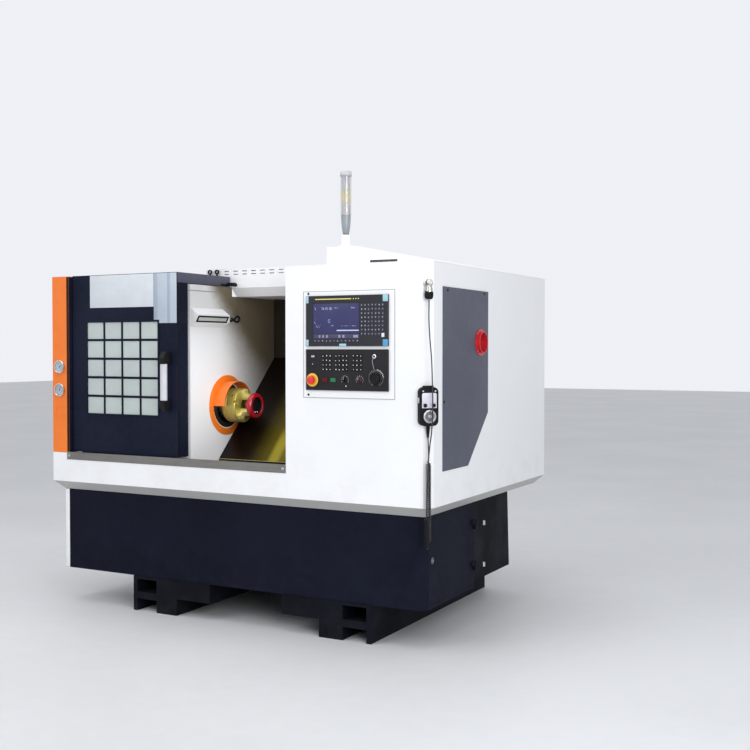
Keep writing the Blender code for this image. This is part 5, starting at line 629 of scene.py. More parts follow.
@dataclass(frozen=True)
class Coating:
    """Paint, powder coat or moulded plastic with its grain and tone. Dust on some coats and painted light
    on others gather in patches towards the foot, and low faces that look down can take painted shade.
    """

    name: str
    colour: Colour
    shade: Colour
    roughness: float = 0.4
    spread: float = 0.06
    grain: float = 900.0
    depth: float = 0.00003
    strength: float = 0.2
    coat: float = 0.0
    tone_scale: float = 30.0
    dust_and_light: Colour = (0.45, 0.43, 0.4)
    dust_and_light_amount: float = 0.0
    dust_and_light_low: float = 0.0
    dust_and_light_high: float = 0.4
    specular: float = 0.5
    under: Colour | None = None

    def make(self) -> bpy.types.Material:
        """Builds the coating's material."""
        material, graph, inputs = start_material(self.name)
        place = graph.object_place()
        tone = Effects.place(graph, Effects.tone(), Vector=place, Scale=self.tone_scale)["Factor"]
        grain = Effects.place(graph, Effects.grain(), Vector=place, Scale=self.grain)
        colour = graph.blend(tone, self.shade, self.colour)
        rough = graph.mix(tone, self.roughness + self.spread, self.roughness)
        # A patchy colour towards the foot: dust on some coats, painted light on others.
        if self.dust_and_light_amount:
            dust_and_light_mask = Effects.place(
                graph, Effects.dust_and_light_mask(), Vector=place, Low=self.dust_and_light_low, High=self.dust_and_light_high)["Mask"]
            dust_and_light_share = graph.sum("MULTIPLY", dust_and_light_mask, self.dust_and_light_amount)
            colour = graph.blend(dust_and_light_share, colour, self.dust_and_light)
            rough = graph.mix(dust_and_light_share, rough, 0.8)
        # Painted shade: low faces that look down turn to the under colour.
        if self.under:
            lean = graph.split(graph.add("ShaderNodeNewGeometry").outputs["Normal"])[2]
            low = graph.sum("LESS_THAN", graph.split(place)[2], 0.75)
            painted_under_shade = graph.sum("MULTIPLY", graph.ramp(lean, -0.3, -0.6), low)
            colour = graph.blend(painted_under_shade, colour, self.under)
        inputs["Specular IOR Level"].default_value = self.specular
        graph.join(colour, inputs["Base Color"])
        graph.join(rough, inputs["Roughness"])
        inputs["Coat Weight"].default_value = self.coat
        inputs["Coat Roughness"].default_value = 0.12
        add_bump(graph, inputs, grain["Height"], self.strength, self.depth)
        return material


class Brushing(Enum):
    """The way that a metal's lines run, as the stretch of its pattern."""

    ALONG = (1.0, 60.0, 60.0)
    UP = (60.0, 60.0, 1.0)
    DEEP = (60.0, 1.0, 60.0)
    ROUND_X = (70.0, 3.0, 3.0)


@dataclass(frozen=True)
class Metal:
    """Bare metal with brushed or turned lines and a thin film of oil in places."""

    name: str
    colour: Colour
    film: Colour
    roughness: float = 0.42
    lines: Brushing = Brushing.ROUND_X
    fineness: float = 20.0
    depth: float = 0.00003
    metallic: float = 1.0
    coat: float = 0.0

    def make(self) -> bpy.types.Material:
        """Builds the metal's material."""
        material, graph, inputs = start_material(self.name)
        place = graph.object_place()
        brush = Effects.place(
            graph, Effects.brush(), Vector=place, Stretch=self.lines.value, Scale=self.fineness)
        tone = Effects.place(graph, Effects.tone(), Vector=place, Scale=9.0)["Factor"]
        patch = graph.sum("MULTIPLY", tone, brush["Streak"])
        graph.join(graph.blend(patch, self.colour, self.film), inputs["Base Color"])
        rough = graph.mix(brush["Height"], self.roughness - 0.06, self.roughness + 0.1)
        graph.join(graph.mix(patch, rough, self.roughness), inputs["Roughness"])
        inputs["Metallic"].default_value = self.metallic
        inputs["Coat Weight"].default_value = self.coat
        inputs["Coat Roughness"].default_value = 0.08
        add_bump(graph, inputs, brush["Height"], 0.35, self.depth)
        return material


@dataclass(frozen=True)
class BackDarkenedWall:
    """White paint that darkens to brown towards the back, and towards the top under painted shade from the
    roof.
    """

    name: str
    clean: Colour
    brown: Colour
    height: float
    begins: tuple[float, float]
    spread: tuple[float, float]
    mottle: float = 0.03
    roof_shade: float = 0.28

    def make(self) -> bpy.types.Material:
        """Builds the wall's material."""
        material, graph, inputs = start_material(self.name)
        place = graph.object_place()
        _, y, z = graph.split(place)
        drop = graph.sum("SUBTRACT", self.height, z)
        tone = Effects.place(graph, Effects.tone(), Vector=place, Scale=3.0)["Factor"]
        depth = graph.sum("MULTIPLY_ADD", tone, self.mottle, graph.sum("SUBTRACT", y, FRONT))
        start = graph.sum("MULTIPLY_ADD", drop, self.begins[1], self.begins[0])
        spread = graph.sum("MAXIMUM", graph.sum("MULTIPLY_ADD", drop, self.spread[1], self.spread[0]), 0.05)
        back_darkening = graph.ramp(graph.sum("DIVIDE", graph.sum("SUBTRACT", depth, start), spread), 0.0, 1.0)
        # Painted shade from the roof darkens the wall's top.
        upper = graph.sum("MULTIPLY", graph.ramp(z, 1.40, 1.56), self.roof_shade)
        clean = graph.blend(upper, self.clean, self.brown)
        graph.join(graph.blend(back_darkening, clean, self.brown), inputs["Base Color"])
        graph.join(graph.mix(back_darkening, 0.36, 0.6), inputs["Roughness"])
        inputs["Specular IOR Level"].default_value = 0.3
        grain = Effects.place(graph, Effects.grain(), Vector=place, Scale=500.0)
        add_bump(graph, inputs, grain["Height"], 0.25, 0.00005)
        return material


@dataclass(frozen=True)
class OilFilm:
    """The slanted guard's sheet under a dried film of coolant, dark, with painted reflections of its gloss:
    gold towards the right and the bottom, bright streaks and a bright spot.
    """

    name: str
    dark: Colour
    gold: Colour
    bright: Colour
    glow_from: float
    glow_to: float
    patch: float

    def make(self) -> bpy.types.Material:
        """Builds the film's material."""
        material, graph, inputs = start_material(self.name)
        place = graph.object_place()
        x, _, z = graph.split(place)
        runs = Effects.place(graph, Effects.brush(), Vector=place, Stretch=(9.0, 1.0, 1.0), Scale=3.0)
        tone = Effects.place(graph, Effects.tone(), Vector=place, Scale=4.0)["Factor"]
        # Painted reflections: gold towards the right and the bottom, bright streaks along the runs and a
        # bright spot near patch.
        side = graph.sum("MULTIPLY", graph.ramp(x, self.glow_from, self.glow_to), graph.ramp(z, 1.30, 1.02))
        gold_sheen = graph.sum("MULTIPLY", side, graph.sum("ADD", 0.6, graph.sum("MULTIPLY", tone, 0.4)))
        base = graph.blend(gold_sheen, self.dark, self.gold)
        near = graph.sum("ABSOLUTE", graph.sum("SUBTRACT", x, self.patch))
        spot_reflection = graph.sum("MULTIPLY", graph.ramp(near, 0.05, 0.012), graph.ramp(z, 0.98, 0.86))
        streak_reflection = graph.sum("MULTIPLY", graph.sum("MULTIPLY", runs["Streak"], side), 0.2)
        glow = graph.sum("MAXIMUM", streak_reflection, graph.sum("MULTIPLY", spot_reflection, 0.85))
        graph.join(graph.blend(glow, base, self.bright), inputs["Base Color"])
        graph.join(graph.mix(tone, 0.3, 0.42), inputs["Roughness"])
        inputs["Specular IOR Level"].default_value = 0.15
        inputs["Coat Weight"].default_value = 0.04
        inputs["Coat Roughness"].default_value = 0.2
        add_bump(graph, inputs, runs["Height"], 0.25, 0.0002)
        return material


@dataclass(frozen=True)
class Clear:
    """Glass or clear plastic with a faint tint and a little dirt in its roughness."""

    name: str
    colour: Colour
    roughness: float = 0.05
    transmission: float = 1.0
    smear: float = 0.08

    def make(self) -> bpy.types.Material:
        """Builds the clear material."""
        material, graph, inputs = start_material(self.name)
        place = graph.object_place()
        tone = Effects.place(graph, Effects.tone(), Vector=place, Scale=7.0)["Factor"]
        shade = tuple(c * 0.94 for c in self.colour)
        graph.join(graph.blend(tone, shade, self.colour), inputs["Base Color"])
        graph.join(graph.mix(tone, self.roughness, self.roughness + self.smear), inputs["Roughness"])
        inputs["IOR"].default_value = 1.45
        inputs["Transmission Weight"].default_value = self.transmission
        return material


@dataclass(frozen=True)
class KeyedPanel:
    """A control unit's skin: dark face and key tops of their own tone."""

    name: str
    face: Colour
    keys: Colour
    proud: float

    def make(self) -> bpy.types.Material:
        """Builds the skin, with keys told by how far they stand out."""
        material, graph, inputs = start_material(self.name)
        place = graph.object_place()
        _, y, _ = graph.split(place)
        tone = Effects.place(graph, Effects.tone(), Vector=place, Scale=5.0)["Factor"]
        grain = Effects.place(graph, Effects.grain(), Vector=place, Scale=1500.0)
        key = graph.sum("LESS_THAN", y, self.proud)
        face = graph.blend(tone, tuple(c * 0.82 for c in self.face), self.face)
        graph.join(graph.blend(key, face, self.keys), inputs["Base Color"])
        inputs["Specular IOR Level"].default_value = 0.25
        graph.join(graph.mix(key, 0.5, 0.34), inputs["Roughness"])
        add_bump(graph, inputs, grain["Height"], 0.25, 0.00003)
        return material


@dataclass(frozen=True)
class ScreenLight:
    """The lit display: indigo ground with plain pale fields and no words."""

    name: str
    ground: Colour
    pale: Colour
    low: Point
    high: Point

    FIELDS = (
        (0.055, 0.84, 0.012, 0.050), (0.225, 0.835, 0.030, 0.042), (0.300, 0.825, 0.030, 0.042),
        (0.385, 0.825, 0.032, 0.042), (0.500, 0.845, 0.045, 0.018), (0.870, 0.850, 0.040, 0.030),
        (0.045, 0.42, 0.010, 0.070), (0.355, 0.42, 0.022, 0.060), (0.110, 0.29, 0.060, 0.014),
        (0.110, 0.23, 0.048, 0.014), (0.420, 0.27, 0.030, 0.014), (0.760, 0.26, 0.180, 0.010))

    def make(self) -> bpy.types.Material:
        """Builds the lit display's material."""
        material, graph, inputs = start_material(self.name)
        place = graph.object_place()
        tone = Effects.place(graph, Effects.tone(), Vector=place, Scale=11.0)["Factor"]
        width, height = self.high[0] - self.low[0], self.high[2] - self.low[2]
        mask: Any = 0.0
        for x, z, half_x, half_z in self.FIELDS:
            centre = (self.low[0] + x * width, 0.0, self.low[2] + z * height)
            half = (half_x * width, 0.0, half_z * height)
            spot = Effects.place(graph, Effects.window(), Vector=place, Centre=centre, Half=half)["Mask"]
            mask = graph.sum("MAXIMUM", mask, spot)
        dash = graph.add("ShaderNodeTexVoronoi", feature="F1")
        graph.join(graph.vector("MULTIPLY", place, (1.6, 1.0, 1.0)), dash.inputs["Vector"])
        dash.inputs["Scale"].default_value = 230.0
        broken = graph.sum("MULTIPLY", mask, graph.sum("LESS_THAN", dash.outputs["Distance"], 0.42))
        bar_centre = (self.low[0] + 0.76 * width, 0.0, self.low[2] + 0.115 * height)
        bar = Effects.place(
            graph, Effects.window(), Vector=place, Centre=bar_centre,
            Half=(0.24 * width, 0.0, 0.018 * height))["Mask"]
        ground = graph.blend(tone, tuple(c * 0.9 for c in self.ground), self.ground)
        lit = graph.blend(graph.sum("MAXIMUM", graph.sum("MULTIPLY", broken, 0.8), bar), ground, self.pale)
        graph.join(lit, inputs["Base Color"])
        graph.join(lit, inputs["Emission Color"])
        inputs["Emission Strength"].default_value = 0.12
        inputs["Specular IOR Level"].default_value = 0.2
        graph.join(graph.mix(tone, 0.3, 0.38), inputs["Roughness"])
        return material


@dataclass(frozen=True)
class DialFace:
    """A gauge's face: white with a coloured band and a ring of marks round its centre."""

    name: str
    centre: Point
    radius: float

    def make(self) -> bpy.types.Material:
        """Builds the face from the angle and distance round its centre."""
        material, graph, inputs = start_material(self.name)
        offset = graph.vector("SUBTRACT", graph.object_place(), self.centre)
        x, _, z = graph.split(offset)
        angle = graph.sum("ARCTAN2", x, z)
        far = graph.sum(
            "DIVIDE",
            graph.sum("SQRT", graph.sum("ADD", graph.sum("MULTIPLY", x, x), graph.sum("MULTIPLY", z, z))),
            self.radius)
        ticks = graph.sum("PINGPONG", graph.sum("DIVIDE", angle, math.pi / 20), 0.5)
        mark = graph.sum(
            "MULTIPLY", graph.sum("LESS_THAN", ticks, 0.07),
            graph.sum("MULTIPLY", graph.sum("GREATER_THAN", far, 0.72), graph.sum("LESS_THAN", far, 0.86)))
        sweep = graph.sum("LESS_THAN", graph.sum("ABSOLUTE", angle), math.radians(136))
        band = graph.sum(
            "MULTIPLY", graph.sum("GREATER_THAN", far, 0.60),
            graph.sum("MULTIPLY", graph.sum("LESS_THAN", far, 0.68), sweep))
        red = graph.sum("MULTIPLY", band, graph.sum("GREATER_THAN", angle, math.radians(75)))
        tone = Effects.place(graph, Effects.tone(), Vector=graph.object_place(), Scale=40.0)["Factor"]
        white = graph.blend(tone, (0.72, 0.76, 0.85), (0.78, 0.81, 0.90))
        banded = graph.blend(red, graph.blend(band, white, (0.42, 0.60, 0.50)), (0.70, 0.34, 0.40))
        graph.join(
            graph.blend(graph.sum("MULTIPLY", mark, sweep), banded, (0.03, 0.03, 0.03)),
            inputs["Base Color"])
        graph.join(graph.mix(tone, 0.42, 0.5), inputs["Roughness"])
        return material


# Every plain finish of the machine
PALETTE: dict[str, Coating | Metal | Clear] = {
    # Low faces of this coat that look down take the under colour: painted shade.
    "white": Coating(
        "white_powder_coat", (0.90, 0.910, 0.925), (0.865, 0.875, 0.890), roughness=0.34, spread=0.05,
        grain=500.0, depth=0.00005, strength=0.25, coat=0.15, tone_scale=1.3, dust_and_light_amount=0.16,
        dust_and_light_low=0.6, dust_and_light_high=0.95, under=(0.46, 0.47, 0.45)),
    "inner_white": Coating(
        "inner_white_paint", (0.86, 0.865, 0.875), (0.78, 0.785, 0.79), roughness=0.36, grain=500.0,
        depth=0.00005, strength=0.25, coat=0.2, tone_scale=2.2, dust_and_light=(0.32, 0.27, 0.16), dust_and_light_amount=0.25,
        dust_and_light_low=0.75, dust_and_light_high=1.2),
    # The foot colour of this coat is painted light, paler and bluer than the paint.
    "navy": Coating(
        "navy_textured_coat", (0.0095, 0.0125, 0.029), (0.0060, 0.0080, 0.020), roughness=0.52, spread=0.1,
        depth=0.00012, strength=0.4, tone_scale=1.8, dust_and_light=(0.05, 0.055, 0.075), dust_and_light_amount=0.3,
        dust_and_light_low=0.15, dust_and_light_high=0.5, specular=0.1),
    # The foot colour of this coat is painted light: the base turns paler and bluer towards the foot, its
    # top lying in the skirt's shade.
    "base_coat": Coating(
        "dark_base_coat", (0.0080, 0.0100, 0.0200), (0.0060, 0.0078, 0.0155), roughness=0.60, spread=0.1,
        depth=0.00012, strength=0.4, tone_scale=1.8, dust_and_light=(0.025, 0.030, 0.045), dust_and_light_amount=0.2,
        dust_and_light_low=0.15, dust_and_light_high=0.5, specular=0.06),
    # Painted shade for the column's front edge.
    "brown_seal": Coating(
        "brown_seal", (0.035, 0.009, 0.003), (0.022, 0.006, 0.002), roughness=0.6, spread=0.1,
        tone_scale=20.0, specular=0.2),
    # Grey for the panel plate's joint and for painted shadow under the partition's ledge.
    "joint": Coating(
        "grey_joint_and_shadow", (0.26, 0.26, 0.27), (0.22, 0.22, 0.23), roughness=0.6, spread=0.1, tone_scale=20.0),
    "slate": Coating(
        "slate_powder_coat", (0.090, 0.096, 0.132), (0.076, 0.081, 0.114), roughness=0.45, depth=0.0001,
        strength=0.4, tone_scale=2.0, specular=0.3),
    "casting": Coating(
        "painted_iron_casting", (0.0035, 0.0045, 0.0095), (0.0022, 0.0030, 0.0065), roughness=0.6,
        spread=0.15, grain=140.0, depth=0.0005, strength=0.6, tone_scale=5.0, dust_and_light=(0.04, 0.038, 0.04),
        dust_and_light_amount=0.3, dust_and_light_high=0.2, specular=0.12),
    "orange": Coating(
        "orange_powder_coat", (0.93, 0.215, 0.014), (0.86, 0.180, 0.011), roughness=0.38, spread=0.05,
        grain=600.0, depth=0.00005, strength=0.3, coat=0.2, tone_scale=2.0),
    "black": Coating(
        "black_moulded_plastic", (0.005, 0.005, 0.006), (0.003, 0.003, 0.004), roughness=0.46, spread=0.12,
        grain=1600.0, depth=0.00006, strength=0.4, tone_scale=20.0, specular=0.25),
    "rubber": Coating(
        "black_rubber", (0.006, 0.006, 0.007), (0.004, 0.004, 0.005), roughness=0.62, spread=0.1,
        grain=1300.0, depth=0.00008, strength=0.4, tone_scale=20.0, specular=0.2),
    "cord": Coating(
        "cord_sheath", (0.016, 0.016, 0.018), (0.011, 0.011, 0.012), roughness=0.38, spread=0.08,
        grain=1300.0, depth=0.00004, strength=0.3, tone_scale=20.0),
    "grip": Coating(
        "pale_grip_plastic", (0.62, 0.63, 0.68), (0.56, 0.57, 0.62), roughness=0.36, spread=0.08,
        grain=1600.0, depth=0.00004, strength=0.3, tone_scale=15.0),
    "charcoal": Coating(
        "charcoal_panel", (0.034, 0.034, 0.042), (0.028, 0.028, 0.035), roughness=0.48, grain=1500.0,
        strength=0.3, tone_scale=9.0, specular=0.25),
    "lilac": Coating(
        "lilac_grey_plate", (0.68, 0.68, 0.76), (0.63, 0.63, 0.71), roughness=0.35, spread=0.05,
        grain=1500.0, depth=0.00002),
    "pale": Coating(
        "bare_pale_plate", (0.66, 0.70, 0.74), (0.61, 0.65, 0.69), grain=1200.0, depth=0.00002,
        tone_scale=12.0),
    "blue_plate": Coating(
        "bluish_plate", (0.48, 0.54, 0.62), (0.44, 0.50, 0.58), grain=1200.0, depth=0.00002, tone_scale=12.0
    ),
    # Painted shade for the tall plate's bands.
    "blue_band": Coating(
        "bluish_plate_shade_band", (0.36, 0.42, 0.51), (0.33, 0.39, 0.48), grain=1200.0, depth=0.00002,
        tone_scale=12.0),
    "tape": Coating("pale_blue_film", (0.38, 0.63, 0.74), (0.34, 0.58, 0.69), roughness=0.25, spread=0.05),
    "blue_tape": Coating("blue_film", (0.10, 0.34, 0.58), (0.08, 0.30, 0.53), roughness=0.25, spread=0.05),
    "pale_yellow": Coating("pale_yellow_tape", (0.80, 0.72, 0.20), (0.75, 0.67, 0.18), spread=0.05),
    "soft_strip": Coating(
        "soft_key_strip", (0.075, 0.070, 0.135), (0.065, 0.060, 0.120), spread=0.05, specular=0.25),
    "soft_mark": Coating(
        "soft_key_text", (0.30, 0.29, 0.40), (0.26, 0.25, 0.36), roughness=0.5, spread=0.05, depth=0.00001,
        strength=0.1),
    "cream": Coating(
        "cream_lamp_tier", (0.92, 0.84, 0.66), (0.88, 0.79, 0.60), spread=0.05, tone_scale=12.0),
    "yellow": Coating(
        "yellow_enamel", (0.86, 0.50, 0.045), (0.80, 0.45, 0.035), roughness=0.32, spread=0.05,
        grain=1400.0, coat=0.3, tone_scale=20.0),
    "red": Coating(
        "red_button_plastic", (0.78, 0.030, 0.020), (0.68, 0.022, 0.016), roughness=0.26, grain=1400.0,
        coat=0.4),
    "dark_red": Coating(
        "dark_red_cap", (0.15, 0.006, 0.006), (0.12, 0.005, 0.005), grain=1400.0, specular=0.2),
    "maroon": Coating(
        "maroon_knob", (0.050, 0.006, 0.008), (0.040, 0.005, 0.006), roughness=0.36, grain=1400.0, coat=0.1
    ),
    "green": Coating(
        "green_cap", (0.025, 0.20, 0.10), (0.018, 0.16, 0.08), roughness=0.34, grain=1400.0, specular=0.3),
    "ring_red": Coating(
        "red_ring_paint", (0.40, 0.003, 0.017), (0.31, 0.002, 0.012), roughness=0.2, spread=0.08,
        grain=300.0, depth=0.00005, coat=0.45, tone_scale=14.0),
    "collar": Coating(
        "red_collar_plastic", (0.62, 0.018, 0.026), (0.52, 0.014, 0.02), roughness=0.34, coat=0.2,
        tone_scale=14.0),
    "mark": Coating(
        "white_marks", (0.80, 0.80, 0.80), (0.74, 0.74, 0.74), roughness=0.5, spread=0.05, grain=1500.0,
        depth=0.00001, strength=0.1, tone_scale=40.0),
    "dark_wall": Coating(
        "dark_rear_wall", (0.030, 0.021, 0.013), (0.016, 0.012, 0.009), roughness=0.34, spread=0.12,
        grain=200.0, depth=0.0001, strength=0.3, coat=0.2, tone_scale=3.0),
    "lamp_grey": Coating(
        "grey_teal_housing", (0.30, 0.33, 0.36), (0.26, 0.29, 0.32), roughness=0.32, coat=0.3,
        tone_scale=12.0),
    "lamp_cap": Coating(
        "pale_lamp_cap", (0.60, 0.61, 0.64), (0.55, 0.56, 0.59), roughness=0.3, coat=0.3, tone_scale=12.0),
    "brass_jaw": Metal(
        "oiled_gold_jaw", (0.80, 0.70, 0.26), (0.60, 0.50, 0.13), roughness=0.34, lines=Brushing.DEEP,
        fineness=16.0, metallic=0.5),
    "chuck": Metal(
        "oiled_chuck_steel", (0.50, 0.43, 0.11), (0.34, 0.28, 0.05), roughness=0.36, fineness=9.0,
        metallic=0.5),
    "sill": Metal(
        "brushed_sill_steel", (0.25, 0.242, 0.228), (0.20, 0.19, 0.17), lines=Brushing.ALONG, fineness=18.0,
        metallic=0.8),
    "steel": Metal("ground_steel", (0.60, 0.60, 0.61), (0.44, 0.42, 0.37), roughness=0.26, fineness=12.0),
    "chrome": Metal(
        "bright_chrome", (0.78, 0.78, 0.80), (0.70, 0.70, 0.72), roughness=0.13, lines=Brushing.UP,
        depth=0.00001),
    "wheel": Metal("silver_anodised", (0.62, 0.63, 0.66), (0.54, 0.55, 0.58), roughness=0.27),
    "iron": Metal(
        "machined_iron", (0.24, 0.24, 0.25), (0.17, 0.16, 0.14), lines=Brushing.ALONG, fineness=12.0,
        metallic=0.85),
    "screw": Metal("zinc_screw", (0.55, 0.55, 0.57), (0.46, 0.45, 0.44), roughness=0.3, lines=Brushing.UP),
    "window": Clear("pale_green_window", (0.72, 0.80, 0.775), 0.05, 0.35),
    "lens": Clear("clear_lamp_tube", (0.93, 0.93, 0.88), 0.04),
    "dial_glass": Clear("clear_dial_glass", (0.99, 0.99, 0.99), 0.02, smear=0.02),
    "core": Coating("lilac_white_insert", (0.80, 0.78, 0.90), (0.74, 0.72, 0.85), tone_scale=12.0),
    "dish": Metal("dark_wheel_dish", (0.16, 0.16, 0.17), (0.12, 0.12, 0.13), roughness=0.4, metallic=0.7),
    "lamp_glass": Clear("frosted_lamp_glass", (0.66, 0.68, 0.64), 0.3, 0.35),}


class Finishes:
    """Makes each finish of the palette once, when it is first asked for."""

    def __init__(self) -> None:
        """Starts with nothing made."""
        self.made: dict[str, bpy.types.Material] = {}

    def __getattr__(self, name: str) -> bpy.types.Material:
        """Gives the finish of a name, made if it isn't yet."""
        if name not in PALETTE:
            raise AttributeError(name)
        if name not in self.made:
            self.made[name] = PALETTE[name].make()
        return self.made[name]


# Small parts


@dataclass
class Screws:
    """Round-headed screws with a cross slot."""

    radius: float = 0.004
    height: float = 0.002
    sides: int = 16

    def pattern(self) -> Piece:
        """Models one screw head at the origin, facing Z."""
        r, h = self.radius, self.height
        head = Bench.turned(
            "screw_pattern", [(r, 0), (r, h * 0.4), (r * 0.8, h * 0.85), (r * 0.35, h)], Matrix.Identity(4),
            self.sides)
        bars = [
            Bench.block("slot_a", (-r * 0.6, -r * 0.1, h * 0.6), (r * 0.6, r * 0.1, h * 1.5)),
            Bench.block("slot_b", (-r * 0.1, -r * 0.6, h * 0.6), (r * 0.1, r * 0.6, h * 1.5))]
        return Bench.cut(head, *bars)

    def row(self, name: str, places: Sequence[Matrix]) -> Piece:
        """Sets screws at each place as one object."""
        return Bench.copies(name, self.pattern(), places)


@dataclass
class CapScrews:
    """Cylindrical socket-head screws."""

    radius: float = 0.006
    height: float = 0.005

    def row(self, name: str, places: Sequence[Matrix]) -> Piece:
        """Sets cap screws at each place as one object."""
        r, h = self.radius, self.height
        profile = [(r, 0), (r, h * 0.85), (r * 0.88, h), (r * 0.52, h), (r * 0.52, h * 0.35)]
        head = Bench.turned("cap_pattern", profile, Matrix.Identity(4), 18)
        return Bench.copies(name, head, places)


@dataclass
class Ticks:
    """A ring of short radial marks on a face."""

    inner: float
    outer: float
    width: float = 0.0012
    thick: float = 0.0004

    def ring(self, name: str, place: Matrix, count: int, start: float, sweep: float) -> Piece:
        """Sets the marks round the place's Z, clockwise from an angle off its Y.

        Args:
            name: The piece's name.
            place: The centre, facing Z.
            count: How many marks.
            start: The first mark's angle from the top, in degrees.
            sweep: The angle from the first to the last, in degrees.

        Returns:
            All marks as one object.
        """
        bar = Bench.block(
            "tick", (-self.width / 2, self.inner, 0), (self.width / 2, self.outer, self.thick))
        places = []
        for i in range(count):
            angle = -math.radians(start + sweep * i / max(1, count - 1))
            places.append(place @ Matrix.Rotation(angle, 4, "Z"))
        return Bench.copies(name, bar, places)


# The room and the camera


@dataclass
class Studio:
    """A pale floor and backdrop, soft lamps and the camera at the photographed place."""

    camera_place: Point = (2.03, -4.30, 1.36)
    turn: float = 28.2
    pitch: float = -1.43
    lens: float = 51.98

    def camera(self) -> None:
        """Sets up the camera."""
        bpy.ops.object.camera_add(
            location=(RIGHT + self.camera_place[0], FRONT + self.camera_place[1], self.camera_place[2]),
            rotation=(math.radians(90 + self.pitch), 0, math.radians(self.turn)))
        camera = bpy.context.object
        camera.name = "photo_camera"
        camera.data.lens = self.lens
        camera.data.sensor_width = 36.0
        camera.data.clip_end = 200.0
        bpy.context.scene.camera = camera

    def lamps(self) -> None:
        """Sets up the soft lamps and the world."""
        lamps = (
            ("key_lamp", (-1.8, -4.6, 4.2), (0.0, 0.0, 0.9), 3.6, 60.0),
            ("fill_lamp", (4.4, -4.2, 2.3), (0.4, 0.0, 1.0), 2.6, 120.0),
            ("top_lamp", (0.0, -0.8, 5.0), (0.0, 0.0, 0.6), 4.0, 70.0),
            ("chamber_lamp", tuple(at(0.885, 0.17, 1.22)), tuple(at(1.40, 0.30, 1.10)), 0.35, 1.3))
        for name, place, target, size, power in lamps:
            bpy.ops.object.light_add(type="AREA", location=place)
            lamp = bpy.context.object
            lamp.name = name
            lamp.data.shape = "DISK"
            lamp.data.size = size
            lamp.data.energy = power
            away = Vector(target) - Vector(place)
            lamp.rotation_euler = away.to_track_quat("-Z", "Y").to_euler()
        world = bpy.data.worlds.new("studio_air")
        bpy.context.scene.world = world
        world.use_nodes = True
        graph = Graph(world.node_tree)
        background = world.node_tree.nodes["Background"]
        path = graph.add("ShaderNodeLightPath")
        seen = graph.sum("MAXIMUM", path.outputs["Is Camera Ray"], path.outputs["Is Glossy Ray"])
        seen = graph.sum("MAXIMUM", seen, path.outputs["Is Transmission Ray"])
        background.inputs["Color"].default_value = (0.93, 0.95, 1.0, 1.0)
        graph.join(graph.mix(seen, 0.62, 0.92), background.inputs["Strength"])

    def floor(self) -> None:
        """Lays the floor."""
        material, graph, inputs = start_material("pale_studio_floor")
        tone = Effects.place(graph, Effects.tone(), Vector=graph.object_place(), Scale=0.7)["Factor"]
        graph.join(graph.blend(tone, (0.70, 0.71, 0.72), (0.74, 0.75, 0.76)), inputs["Base Color"])
        inputs["Roughness"].default_value = 0.55
        Bench.clear()
        bpy.ops.mesh.primitive_plane_add(size=60, location=(0, 0, 0))
        ground = bpy.context.object
        ground.name = "studio_floor"
        ground.data.materials.append(material)

    def build(self) -> None:
        """Builds the whole studio."""
        self.camera()
        self.lamps()
        self.floor()
        scene = bpy.context.scene
        scene.view_settings.view_transform = "Standard"


# Cord


